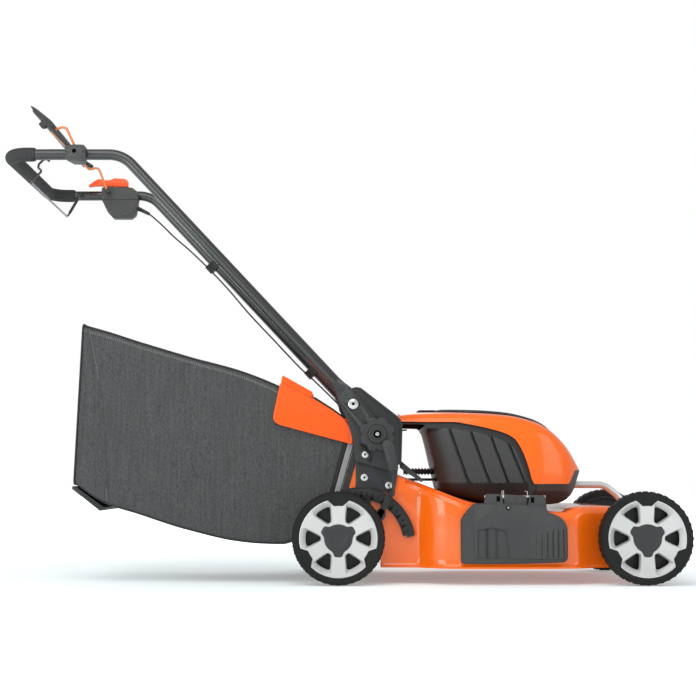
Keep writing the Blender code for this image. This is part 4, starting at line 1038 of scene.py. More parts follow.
@dataclass
class Wheel:
    """Spoked wheel: tyre with lugs, silver rim and dark cap.

    Attributes:
        name: Which wheel, such as rear_right.
        x: Place of its axle.
        side: -1 on the operator's right, 1 on the left.
        rings: Geometry tree for the lugs.
        face_y: Distance of the wheel's outer face from the mower's middle.
        radius: Radius over the lugs.
        band: Radius of the tyre between them.
        rim_radius: Radius of the rim.
        rim_edge: Radius at which the rim's face turns into its rounded edge.
        barrel: Inner radius of the rim's barrel.
        barrel_depth: Depth of the barrel's far end.
        hub_radius: Radius at which the spokes start.
        chords: Chords on each side of a pocket's outline.
    """

    name: str
    x: float
    side: int
    rings: NodeTree
    face_y: float = 0.27
    radius: float = 0.1
    band: float = 0.0983
    rim_radius: float = 0.0838
    rim_edge: float = 0.0818
    barrel: float = 0.0792
    barrel_depth: float = -0.045
    hub_radius: float = 0.0298
    chords: int = 8

    def build(self) -> None:
        """Make the rim, the tyre and the cap."""
        self.make_rim()
        self.make_tyre()
        self.make_cap()

    def spot(self, r: float, angle: float, depth: float) -> Vector:
        """Point of the wheel at a radius, an angle in degrees and a depth, negative behind the face.

        Args:
            r: Radius.
            angle: Angle in degrees.
            depth: Depth, negative behind the face.

        Returns:
            The point.
        """
        a = math.radians(angle)
        return Vector((self.x - self.side * r * math.cos(a), self.side * (self.face_y + depth),
            AXLE_Z + r * math.sin(a)))

    def dressing(self, part: str, slot: str, finishes: Sequence[Finish], sharp: float = 30.0) -> Dressing:
        """Binding of one part of this wheel."""
        return Dressing(f"{self.name}_wheel", slot, finishes, [f"{self.name}_{part}"], sharp=sharp)

    def four_sided(self, inner: tuple[float, float], outer: tuple[float, float], rounding: int) -> list[Pair]:
        """Outline about angle 0 as (radius, angle) pairs, with four sides of equal counts.

        Args:
            inner: Radius and half angle of the side near the hub.
            outer: Radius and half angle of the far side.
            rounding: Passes that soften the corners.

        Returns:
            The outline, which starts at the near side's lower corner.
        """
        n = self.chords
        near = [(inner[0], a) for a in steps_between(-inner[1], inner[1], n + 1)[:-1]]
        far = [(outer[0], a) for a in steps_between(outer[1], -outer[1], n + 1)[:-1]]
        flat = [polar(r, a) for r, a in near]
        corner = [polar(outer[0], a) for a in (outer[1], -outer[1])]
        start = polar(*inner)
        flat += [start.lerp(corner[0], k / n) for k in range(n)]
        flat += [polar(r, a) for r, a in far]
        flat += [corner[1].lerp(flat[0], k / n) for k in range(n)]
        for _ in range(rounding):
            count = len(flat)
            flat = [flat[k] * 0.5 + (flat[k - 1] + flat[(k + 1) % count]) * 0.25 for k in range(count)]
        return [(p.length, math.degrees(math.atan2(p.y, p.x))) for p in flat]

    def make_rim(self) -> None:
        """Rim with six flat spokes, sloping pockets between them that end in windows, and its barrel."""
        def face(r: float) -> float:
            """Depth of the spokes' face at a radius."""
            return mix(-0.003, -0.0016, held((r - 0.03) / 0.04))
        form = Form()
        sector = self.four_sided((self.hub_radius, 30.0), (self.rim_edge, 30.0), 0)
        edge = self.four_sided((0.036, 9.5), (0.0806, 19.0), 2)
        lip = self.four_sided((0.037, 8.0), (0.0794, 18.0), 2)
        step = self.four_sided((0.038, 6.4), (0.0752, 16.6), 2)
        window = self.four_sided((0.0386, 5.2), (0.07, 15.0), 2)
        back = self.four_sided((0.035, 12.0), (0.079, 20.0), 1)
        inner_sector = self.four_sided((self.hub_radius, 30.0), (self.barrel, 30.0), 0)
        loops = [[(r, a, face(r)) for r, a in sector], [(r, a, face(r)) for r, a in edge],
            [(r, a, face(r) - 0.0013) for r, a in lip],
            [(r, a, -0.0066 if r > 0.05 else -0.008) for r, a in step], [(r, a, -0.0128) for r, a in window],
            [(r, a, -0.0152) for r, a in window], [(r, a, -0.0062) for r, a in back],
            [(r, a, -0.0058) for r, a in inner_sector]]
        n = self.chords
        for k in range(6):
            form.skin([[self.spot(r, a + 60 * k, d) for r, a, d in loop] for loop in loops[:6]], capped=False)
            # The rim's back behind the windows is painted black as shade.
            form.coat = 1
            form.skin([[self.spot(r, a + 60 * k, d) for r, a, d in loop] for loop in loops[5:]], capped=False)
            form.coat = 0
            turns = [a + 60 * k for a in steps_between(-30, 30, n + 1)]
            hub, rim = self.hub_radius, self.rim_radius
            form.skin([[self.spot(hub, a, d) for a in turns] for d in (face(hub), -0.0058)], around=False)
            outer = ((self.rim_edge, face(self.rim_edge)), (0.0832, -0.0021), (rim, -0.0036),
                (rim, self.barrel_depth))
            form.skin([[self.spot(r, a, d) for a in turns] for r, d in outer], around=False)
            # The barrel's inside is painted black as shade.
            form.coat = 1
            back_wall = ((rim, self.barrel_depth), (self.barrel, self.barrel_depth), (self.barrel, -0.0058))
            form.skin([[self.spot(r, a, d) for a in turns] for r, d in back_wall], around=False)
            form.coat = 0
        # Black disc behind the windows: a dark sheet painted as the shade inside the wheel.
        form.coat = 1
        form.skin([[self.spot(r, a, d) for r, d in ((0.0165, -0.033), (0.0796, -0.033), (0.0796, -0.035),
            (0.0165, -0.035))] for a in range(0, 360, 6)], looped=True)
        form.coat = 0
        hub = [(0.0066, -0.0045), (0.0302, -0.0045), (0.0302, -0.007), (0.019, -0.0105), (0.017, -0.0125),
            (0.017, -0.0455), (0.0066, -0.0455)]
        form.skin([[self.spot(r, a, d) for r, d in hub] for a in range(0, 360, 10)], looped=True)
        make_piece(f"{self.name}_spoked_rim", form,
            self.dressing("rim", "rim_plastic", [RIM_SILVER, BLACK_PLASTIC], 24.0))

    def make_tyre(self) -> None:
        """Tyre band with a sidewall bead, three lobes that reach into the rim, and rows of lugs."""
        form = Form()
        profile = [(0.0843, -0.001), (0.0868, -0.0002), (0.0905, 0.0), (0.093, -0.0002), (0.0936, 0.0),
            (0.0946, 0.0), (0.0952, -0.0004), (0.0968, -0.002), (0.0979, -0.005), (self.band, -0.01),
            (self.band, -0.037), (0.0975, -0.043), (0.0945, -0.0468), (0.0843, -0.0468)]
        form.skin([[self.spot(r, a, d) for r, d in profile] for a in steps_between(0, 360, 97)[:-1]],
            looped=True)
        for k in range(3):
            self.add_lobe(form, 90 + 120 * k)
        body = rough_object(f"{self.name}_tread_tyre", form)
        tread = self.make_lugs()
        tyre = unite(body, tread)
        dress(tyre, self.dressing("tyre", "tyre_rubber", [TYRE_RUBBER]))

    def add_lobe(self, form: Form, angle: float) -> None:
        """Add a rubber wedge that narrows towards the hub.

        Args:
            form: Form of the tyre.
            angle: Where the wedge stands, in degrees.
        """
        flat = [(0.069, -8.0), (0.069, 0.0), (0.069, 8.0), (0.076, 12.2), (0.0866, 17.2), (0.0872, 9.0),
            (0.0875, 0.0), (0.0872, -9.0), (0.0866, -17.2), (0.076, -12.2)]
        around = softened([polar(r, a) for r, a in flat], 0.0025)
        centre = Vector((0.0795, 0.0))
        rings = []
        for scale, depth in ((1.0, -0.006), (1.0, -0.0012), (0.965, -0.0004), (0.8, -0.0003)):
            points = [centre + (Vector(p) - centre) * scale for p in around]
            rings.append([self.spot(p.length, math.degrees(math.atan2(p.y, p.x)) + angle, depth)
                for p in points])
        form.skin(rings)

    def make_lugs(self) -> Object:
        """Two rows of bevelled lugs round the tread, staggered.

        Returns:
            The object of both rows.
        """
        wide, step = 0.0052, math.radians(9.0)
        rows = []
        for row, (d_from, d_to, phase) in enumerate(((-0.003, -0.0205, 0.0), (-0.0435, -0.026, 0.5))):
            form = Form()
            rings = []
            for r, shrink in ((self.band - 0.0008, 0.0), (self.radius - 0.0006, 0.0),
                    (self.radius - 0.0001, 0.0006)):
                high = wide / 2 - shrink
                slant = 0.0024
                d_near = d_from - math.copysign(shrink, d_from - d_to)
                d_far = d_to + math.copysign(shrink, d_from - d_to)
                drop = 0.0012 if r > self.band else 0.0
                rings.append([(r - drop, -high, d_near), (r - drop, high, d_near), (r, high + slant, d_far),
                    (r, -high + slant, d_far)])
            form.skin(rings)
            item = rough_object(f"{self.name}_lugs_{row}", form)
            run_tree(item, self.rings, {"Count": 40, "Phase": phase * step, "Finish": TYRE_RUBBER.material()})
            rows.append(item)
        lugs = unite(*rows)
        turn = Matrix(((-self.side, 0, 0, self.x), (0, 0, self.side, self.side * self.face_y),
            (0, 1, 0, AXLE_Z), (0, 0, 0, 1)))
        lugs.data.transform(turn)
        work = bmesh.new()
        work.from_mesh(lugs.data)
        bmesh.ops.recalc_face_normals(work, faces=work.faces)
        work.to_mesh(lugs.data)
        work.free()
        return lugs

    def make_cap(self) -> None:
        """Domed cap with three broad lobes, an edge line and a bare middle."""
        def reach(angle: float) -> float:
            """Radius of the cap's outline at an angle in degrees."""
            off = min(abs((angle - 30 - 120 * k + 180) % 360 - 180) for k in range(3))
            return 0.0302 + 0.0092 / (1 + (off / 17.0) ** 6)
        rows = [(1.0, -0.0042), (1.0, -0.0024), (0.985, -0.0014), (0.955, -0.001), (0.94, -0.0013),
            (0.925, -0.001), (0.85, -0.0006), (0.7, -0.0003), (0.52, -0.0001), (0.5, -0.0004), (0.3, -0.0004),
            (0.1, -0.0004)]
        form = Form()
        angles = steps_between(0, 360, 121)[:-1]
        form.skin([[self.spot(reach(a) * s, a, d) for a in angles] for s, d in rows])
        make_piece(f"{self.name}_cap", form, self.dressing("hub_cap", "cap_plastic", [CAP_PLASTIC]))


# Deck and cowl


def refinish(node: str, *finishes: Finish) -> None:
    """Give a CAD node whose shape stays its finish.

    Args:
        node: Name of the node.
        finishes: Finish of each of its material slots; the last one fills the rest.
    """
    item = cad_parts[node]
    for i in range(max(1, len(item.material_slots))):
        material = finishes[min(i, len(finishes) - 1)].material()
        if i < len(item.material_slots):
            item.material_slots[i].material = material
        else:
            item.data.materials.append(material)
    LOG.info("%s: finished as %s", node, finishes[0].name)


@dataclass
class Deck:
    """Pressed steel deck with its grass tunnel, side chute and front step.

    Attributes:
        half: Half width along the deck.
        top: Height of the top along the deck.
        step: Depth of the pressed step along the deck.
        wall: Sheet thickness.
        rear_x: Rear end of the bowl.
        front_x: Its front end.
        bottom_z: Height of its lip.
        tunnel_half: Half width of the grass tunnel.
        shoulder: Radius between the sides and the top.
    """

    half: Curve = Curve([(0.085, 0.1955), (0.135, 0.1955), (0.165, 0.1985), (0.19, 0.218), (0.222, 0.238),
        (0.262, 0.2465), (0.34, 0.2485), (0.43, 0.2465), (0.5, 0.236), (0.54, 0.214), (0.57, 0.199),
        (0.645, 0.195)])
    top: Curve = Curve([(0.085, 0.252), (0.127, 0.2345), (0.192, 0.2086), (0.291, 0.1743), (0.34, 0.168),
        (0.472, 0.166), (0.57, 0.17), (0.645, 0.16)])
    step: Curve = Curve([(0.085, 0.0), (0.38, 0.0), (0.43, 0.0085), (0.474, 0.0105), (0.484, 0.01),
        (0.496, 0.0045), (0.512, 0.001), (0.54, 0.0015), (0.57, 0.003), (0.645, 0.0)])
    wall: float = 0.0025
    rear_x: float = 0.085
    front_x: float = 0.645
    bottom_z: float = 0.035
    tunnel_half: float = 0.196
    shoulder: float = 0.024

    def build(self) -> None:
        """Make the deck, the trailing shield behind it and the tunnel's seal."""
        deck = self.bowl("pressed_deck", 0.0, self.bottom_z)
        carve(deck, [self.tunnel("tunnel_skin", 0.0, 0.0)], "UNION")
        chute = rough_object("chute_space", Form().box((0.28, -0.3, 0.06), (0.455, -0.2, 0.14)))
        shaft = rough_object("shaft_space", Form().rod((SHAFT_X, 0, 0.14), (SHAFT_X, 0, 0.19), 0.0105))
        carve(deck, [self.bowl("bowl_space", self.wall, self.bottom_z - 0.02),
            self.tunnel("tunnel_space", self.wall, 0.02), chute, shaft])
        dress(deck, Dressing("chassis", "deck_paint", [DECK_PAINT], ["deck"], sharp=28.0))
        self.make_shield()
        self.make_collar()

    def section(self, x: float, inset: float, floor: float) -> list[Vector]:
        """Outline across the deck at one place, from the right lip over the top to the left lip.

        Args:
            x: Place along the deck.
            inset: Distance inside the outer form.
            floor: Height of the lower edge.

        Returns:
            Points of the outline.
        """
        half, top = self.half(x) - inset, self.top(x) - self.step(x) - inset
        lip = 0.0 if inset else 0.004
        right = [(half + lip, floor), (half + lip, floor + 0.0035), (half + lip * 0.55, floor + 0.0055),
            (half, floor + 0.0095)]
        r = self.shoulder
        right += [(half, z) for z in steps_between(floor + 0.02, top - r, 6)]
        press = held((x - 0.125) / 0.02) * held((0.3 - x) / 0.02)
        for turn in (12, 25, 38, 51, 58, 64, 72, 80, 90):
            a = math.radians(turn)
            ledge = 0.003 * press if turn in (51, 58) else 0.0
            right.append((half - r + r * math.cos(a) - ledge, top - r + r * math.sin(a) - ledge))
        right += [(half * t, top + 0.0008 * (1 - t)) for t in (0.66, 0.33)]
        points = [(-y, z) for y, z in right] + [(0.0, top + 0.001)] + [(y, z) for y, z in reversed(right)]
        return [Vector((x, y, z)) for y, z in points]

    def bowl(self, name: str, inset: float, floor: float) -> Object:
        """Closed bowl, smaller all round by the inset.

        Args:
            name: Its name.
            inset: Distance inside the outer form.
            floor: Height of the lower edge.

        Returns:
            The object.
        """
        rear, front = self.rear_x + inset, self.front_x - inset
        rings = []
        for x in steps_between(rear, front - 0.006, 58):
            rings.append(self.section(x, inset, floor))
        for run, drop in ((0.0026, 0.0016), (0.0048, 0.0038), (0.006, 0.007)):
            ring = self.section(front - 0.006 + run, inset, floor)
            rings.append([Vector((p.x, p.y, max(floor, min(p.z, self.top(front) - inset - drop))))
                for p in ring])
        return rough_object(name, Form().skin(rings))

    def mouth_x(self, z: float) -> float:
        """Where the tunnel's slanting mouth stands at a height."""
        return 0.03 - MOUTH_LEAN * (MOUTH_Z - z)

    def make_collar(self) -> None:
        """Black seal on each side of the tunnel's mouth."""
        low, high = 0.112, 0.3
        band = [(self.mouth_x(low) - 0.0037, low), (self.mouth_x(low) + 0.0112, low),
            (self.mouth_x(high) + 0.0112, high), (self.mouth_x(high) - 0.0037, high)]
        form = Form()
        for side in (-1, 1):
            form.plate(softened(band, 0.0015, 3), *sorted((side * 0.195, side * 0.1974)))
        make_piece("tunnel_seal", form, Dressing("chassis", "shield_rubber", [SHEET_RUBBER], bevel=0.0006))

    def tunnel(self, name: str, inset: float, reach: float) -> Object:
        """Closed tunnel from inside the bowl back to the slanting mouth, which it passes by the reach.

        Args:
            name: Its name.
            inset: Distance inside the outer form.
            reach: How far it passes the mouth.

        Returns:
            The object.
        """
        top = Curve([(0.0, 0.334), (0.018, 0.31), (0.05, 0.264), (0.078, 0.237), (0.1, 0.229)])
        half, floor, r = self.tunnel_half - inset, 0.108 + inset, 0.012
        rings = []
        for i, run in enumerate(steps_between(0.1, 0.0, 15)):
            t = i / 14
            x_high = 0.04 + run
            z_high = top(run) - inset
            x_low = mix(x_high, self.mouth_x(floor), t)
            back = reach if i == 14 else 0.0
            heights = steps_between(floor, z_high - r, 5)
            side = [(-half, z) for z in heights]
            side += [(-half + r - r * math.cos(a), z_high - r + r * math.sin(a))
                for a in [math.radians(k) for k in (30, 60, 90)]]
            rings.append([Vector((mix(x_low, x_high, (z - floor) / (z_high - floor)) - back, y, z))
                for y, z in side + [(-y, z) for y, z in reversed(side)]])
        return rough_object(name, Form().skin(rings))

    def make_shield(self) -> None:
        """Ribbed rubber shield that hangs from its rod behind the deck."""
        x, z = 0.005, 0.099
        form = Form().rod((x, -0.185, z), (x, 0.185, z), 0.005, chamfer=0.0008)
        outline = softened([(x - 0.002, 0.024), (x + 0.002, 0.024), (x + 0.002, z), (x - 0.002, z)], 0.0008,
            2)
        form.plate(outline, -0.184, 0.184)
        for k in range(19):
            y = mix(-0.172, 0.172, k / 18)
            form.rod((x - 0.0012, y, 0.03), (x - 0.0012, y, 0.09), 0.0018, sides=10)
        make_piece("ribbed_shield", form,
            Dressing("tail_shield", "shield_rubber", [SHEET_RUBBER], ["trailing_shield"]))


@dataclass
class Cowl:
    """Orange hood over a dark motor housing, with the battery lid on top.

    Attributes:
        half: Half width along the cowl.
        shoulder: Height of its shoulders along it.
        bottom: Height of its lower edge along it.
        edge: Height of the hood's lower edge along it.
        foot: Height of the housing's lower edge along it.
        rear: Place of the housing's rear edge at each height.
        grooves: Upper and lower end of each groove between the louvre panels, in X and Z.
        lid_half: Half width of the battery lid.
        lid_x: Rear and front end of the lid.
        frame_width: Width of the sunk frame under the hood's edge.
        frame_depth: How far it lies in.
        frame_end: Place where it ends in front.
        panel_foot: Height at which the panels end.
        panel_end: Place where they end in front.
        middle: Point inside the cowl.
        rear_x: Rear end of the hood.
        nose_x: Its front end.
    """

    half: Curve = Curve([(0.13, 0.155), (0.17, 0.162), (0.23, 0.166), (0.3, 0.167), (0.37, 0.166),
        (0.43, 0.161), (0.46, 0.153), (0.482, 0.143), (0.504, 0.129), (0.52, 0.11), (0.533, 0.086),
        (0.5437, 0.052)])
    shoulder: Curve = Curve([(0.13, 0.369), (0.17, 0.372), (0.23, 0.373), (0.3, 0.3715), (0.37, 0.3665),
        (0.43, 0.353), (0.46, 0.339), (0.482, 0.322), (0.504, 0.3), (0.52, 0.28), (0.533, 0.261),
        (0.5437, 0.2475)])
    bottom: Curve = Curve([(0.13, 0.168), (0.455, 0.169), (0.48, 0.1712), (0.498, 0.1775), (0.512, 0.1885),
        (0.524, 0.206), (0.534, 0.228), (0.5437, 0.24)])
    edge: Curve = Curve([(0.1, 0.354), (0.2, 0.352), (0.248, 0.352), (0.28, 0.347), (0.325, 0.3375),
        (0.362, 0.3265), (0.383, 0.314), (0.4, 0.287), (0.4115, 0.2566), (0.4245, 0.215), (0.5055, 0.215),
        (0.5165, 0.231), (0.527, 0.246), (0.6, 0.246)])
    foot: Curve = Curve([(0.13, 0.348), (0.1815, 0.347), (0.2165, 0.2236), (0.22, 0.206), (0.232, 0.194),
        (0.291, 0.1735), (0.3271, 0.1685), (0.455, 0.1695), (0.48, 0.1717), (0.498, 0.178), (0.512, 0.189),
        (0.524, 0.2065), (0.534, 0.23), (0.5437, 0.245)])
    rear: Curve = Curve([(0.1735, 0.3091), (0.194, 0.232), (0.206, 0.22), (0.2236, 0.2165), (0.347, 0.1815)])
    grooves: tuple[tuple[Pair, Pair], ...] = (((0.243, 0.329), (0.28, 0.2215)),
        ((0.287, 0.331), (0.3255, 0.2235)), ((0.33, 0.324), (0.366, 0.2235)),
        ((0.368, 0.311), (0.404, 0.2215)))
    lid_half: float = 0.08
    lid_x: Pair = (0.213, 0.47)
    frame_width: float = 0.015
    frame_depth: float = 0.0062
    frame_end: float = 0.43
    panel_foot: float = 0.2185
    panel_end: float = 0.425
    middle: tuple[float, float, float] = (0.33, 0.0, 0.22)
    rear_x: float = 0.13
    nose_x: float = 0.5437

    def build(self) -> None:
        """Make the housing, the hood and the lid."""
        self.make_hood()
        self.make_housing()
        self.make_lid()
        for node, finish in (("battery_bay", BLACK_PLASTIC), ("battery_pack", HOUSING_PLASTIC),
                ("controller", BLACK_PLASTIC)):
            refinish(node, finish)

    def height(self, x: float, y: float, inset: float = 0.0) -> float:
        """Height of the cowl's top at a place."""
        spread = min(1.0, abs(y) / max(self.half(x) - inset - 0.022, 0.01))
        return self.shoulder(x) + 0.006 * (1 - spread * spread) - inset

    def half_section(self, x: float, inset: float) -> list[Vector]:
        """Right half of the section as (distance from the middle, height), from the bottom to the middle.

        Args:
            x: Place along the cowl.
            inset: Distance inside the outer form.

        Returns:
            Points of the half section.
        """
        half, shoulder = self.half(x) - inset, self.shoulder(x) - inset
        bottom = self.bottom(x)
        waist = mix(bottom, shoulder, 0.45)
        corners = [(half - 0.004, bottom), (half, mix(bottom, waist, 0.4)), (half, waist),
            (half - 0.003, mix(waist, shoulder, 0.68)),
            (half - 0.009, shoulder - min(0.012, 0.24 * (shoulder - waist))), (half - 0.022, shoulder),
            (half * 0.48, self.height(x, half * 0.48, inset)), (0.0, self.height(x, 0.0, inset))]
        points = [Vector(c) for c in corners]
        for _ in range(3):
            finer = [points[0]]
            for a, b in zip(points, points[1:]):
                finer += [a.lerp(b, 0.25), a.lerp(b, 0.75)]
            points = finer + [points[-1]]
        return points

    def strip(self, x: float, inset: float, low: float, high: float | None, count: int) -> list[Vector]:
        """Evenly spaced points of the half section between two heights, or up to the middle.

        Args:
            x: Place along the cowl.
            inset: Distance inside the outer form.
            low: Lower height.
            high: Upper height, or none for the middle line.
            count: Number of points.

        Returns:
            Points as (distance from the middle, height).
        """
        line = self.half_section(x, inset)
        line = self.clip(line, low, True)
        if high is not None:
            line = self.clip(line, high, False)
        lengths = [0.0]
        for a, b in zip(line, line[1:]):
            lengths.append(lengths[-1] + (b - a).length)
        result = []
        k = 0
        for goal in steps_between(0.0, lengths[-1], count):
            while k < len(line) - 2 and lengths[k + 1] < goal:
                k += 1
            run = lengths[k + 1] - lengths[k]
            result.append(line[k].lerp(line[k + 1], (goal - lengths[k]) / run if run else 0.0))
        return result

    @staticmethod
    def clip(line: list[Vector], height: float, keep_above: bool) -> list[Vector]:
        """Part of a rising line above, or below, a height.

        Args:
            line: Line that rises.
            height: Height of the cut.
            keep_above: Whether the part above is kept.

        Returns:
            The part that is kept, two points or more.
        """
        kept = []
        for a, b in zip(line, line[1:]):
            inside = (a.y >= height) if keep_above else (a.y <= height)
            if inside:
                kept.append(a)
            if (a.y - height) * (b.y - height) < 0:
                kept.append(a.lerp(b, (height - a.y) / (b.y - a.y)))
        last = line[-1]
        if (last.y >= height) == keep_above or not kept:
            kept.append(last)
        if len(kept) == 1:
            kept.append(kept[0].copy())
        return kept

    def make_hood(self) -> None:
        """Hood sheet with turned-down ends and the battery opening."""
        xs = steps_between(0.1302, 0.506, 66) + steps_between(0.509, 0.5422, 18)
        rings = []
        for x in xs:
            low = min(self.edge(x), self.height(x, 0.0) - 0.003)
            right = self.strip(x, 0.0, low, None, 26)
            rings.append([Vector((x, -p.x, p.y)) for p in right] + [Vector((x, p.x, p.y))
                for p in right[-2::-1]])
        rear = [Vector((self.rear_x, p.y * 0.985, self.edge(self.rear_x))) for p in rings[0]]
        nose = [Vector((self.nose_x, p.y * 0.86, 0.2464)) for p in rings[-1]]
        hood = rough_object("hood", Form().skin([rear] + rings + [nose], around=False))
        wall = hood.modifiers.new("wall", "SOLIDIFY")
        wall.thickness = 0.0016
        wall.offset = -1.0
        face_outward(hood, Vector(self.middle))
        settle(hood)
        opening = rough_object("opening", Form().box((0.226, -0.0725, 0.3), (0.4445, 0.0725, 0.42)))
        carve(hood, [opening])
        dress(hood, Dressing("chassis", "hood_plastic", [HOOD_GLOSS], ["top_hood"], sharp=26.0))

    def under_hood(self, x: float, z: float) -> float:
        """Distance below the hood's edge, square to it."""
        slope = (self.edge(x + 0.002) - self.edge(x - 0.002)) / 0.004
        return (self.edge(x) - z) / math.sqrt(1 + slope * slope)

    def relief(self, x: float, z: float) -> float:
        """Depth of the housing's surface: louvre panels in a sunk frame, and a rounded rear corner.

        Args:
            x: Place along the cowl.
            z: Height.

        Returns:
            Depth inside the outer form.
        """
        drop = self.under_hood(x, z)
        if drop < self.frame_width and x < self.frame_end:
            return self.frame_depth
        ease = held((drop - self.frame_width) / 0.003)
        turn = max(0.0, 1 - (x - self.rear(z)) / 0.066)
        corner = 0.046 * (1 - math.sqrt(max(0.0, 1 - turn * turn))) * ease
        if z < self.panel_foot or x > self.panel_end:
            return 0.0012 + corner + 0.3 * max(0.0, self.panel_foot - z)
        centres = [mix(low[0], top[0], (z - low[1]) / (top[1] - low[1])) for top, low in self.grooves]
        panel = 0.002
        for i, centre in enumerate(centres):
            width = centres[i + 1] - centre if i + 1 < len(centres) else 0.04
            run = (x - centre) / width
            if -0.1 < run <= 1.0:
                panel = mix(0.0056, 0.0014, held(run) ** 0.7)
            if abs(x - centre) < 0.0014:
                return mix(self.frame_depth, 0.0105, ease) + corner
        return mix(self.frame_depth, panel, ease) + corner

    def make_housing(self) -> None:
        """Dark housing with its louvre panels; the frame under the hood and the band below the panels are
        painted black as shade.
        """
        xs = steps_between(0.1345, 0.186, 10)[:-1] + steps_between(0.186, 0.426, 236)
        xs += steps_between(0.4285, 0.5424, 40)
        rows = 62
        form = Form()
        sides = []
        for side in (-1, 1):
            rings = []
            for x in xs:
                low = self.foot(x)
                high = min(self.edge(x) + 0.006, self.shoulder(x) - 0.003)
                low = min(low, high - 0.0005)
                ring = []
                for p in self.strip(x, 0.0, low, high, rows):
                    sunk = self.relief(x, p.y)
                    ring.append(Vector((x, side * (p.x - sunk), p.y)))
                rings.append(ring)
            sides.append(rings)
        form.skin(sides[0], around=False)
        form.skin(sides[1], around=False)
        front = [ring[0] for ring in sides[0]], [ring[0] for ring in sides[1]]
        for x_from, x_to in ((0.492, 0.6), (0.186, 0.3)):
            form.skin([[a, a.lerp(b, 0.25), a.lerp(b, 0.5), a.lerp(b, 0.75), b] for a, b in zip(*front)
                if x_from < a.x < x_to], around=False)
        rear = sides[0][0], sides[1][0]
        form.skin([[a, a.lerp(b, 0.33), a.lerp(b, 0.67), b] for a, b in zip(*rear)], around=False)
        housing = rough_object("louvred_housing", form)
        face_outward(housing, Vector(self.middle))
        # Faces in the frame under the hood's edge and below the panels take black, as painted shade.
        for face in housing.data.polygons:
            x, z = face.center.x, face.center.z
            sunk = self.under_hood(x, z) < self.frame_width and x < self.frame_end
            low = z < (self.panel_foot if x < self.panel_end else 0.199)
            face.material_index = 1 if sunk or low else 0
        dress(housing, Dressing("chassis", "housing_plastic", [COWL_PLASTIC, BLACK_PLASTIC],
            ["motor_housing"], thickness=0.0026, sharp=40.0))

    def make_lid(self) -> None:
        """Black lid with a crowned top, a low rim, a finger lip and its tongue at the back."""
        form = Form()
        xs = [self.lid_x[0], 0.2134, 0.215, 0.219] + steps_between(0.226, 0.458, 24)
        xs += [0.464, 0.468, 0.4696, self.lid_x[1]]
        rise = {0: 0.0002, 1: 0.0014, 2: 0.0024, 3: 0.0031}
        rings = []
        for i, x in enumerate(xs):
            thick = rise.get(min(i, len(xs) - 1 - i), 0.004)
            bulge = 0.001 * math.sin(math.pi * (x - self.lid_x[0]) / (self.lid_x[1] - self.lid_x[0]))
            ys = steps_between(-1.0, 1.0, 25)
            under = [Vector((x, self.lid_half * t, self.height(x, self.lid_half * t) + 0.0016)) for t in ys]
            over = []
            for t in reversed(ys):
                fall = 1 - abs(t) ** 14
                y = self.lid_half * t * (0.985 if abs(t) > 0.99 else 1.0)
                channel = -0.001 if 0.7 < abs(t) < 0.76 and 4 <= i < len(xs) - 4 else 0.0
                over.append(Vector((x, y, self.height(x, y) + 0.0016 + thick * fall + bulge * fall
                    + channel)))
            rings.append(under + over)
        form.skin(rings)
        tongue_z = self.height(0.218, 0.0)
        outline = [(0.1745, tongue_z + 0.0016), (0.218, tongue_z + 0.0016), (0.218, tongue_z + 0.005),
            (0.179, tongue_z + 0.005), (0.1745, tongue_z + 0.0034)]
        form.plate(softened(outline, 0.0008, 2), -0.028, 0.028)
        for k in range(5):
            x = 0.184 + 0.006 * k
            form.plate(arc((x, tongue_z + 0.0046), 0.0011, 0, 180, 6), -0.022, 0.022)
        make_piece("lid_cover", form, Dressing("lid", "black_plastic", [BLACK_PLASTIC], ["battery_lid"],
            sharp=32.0))


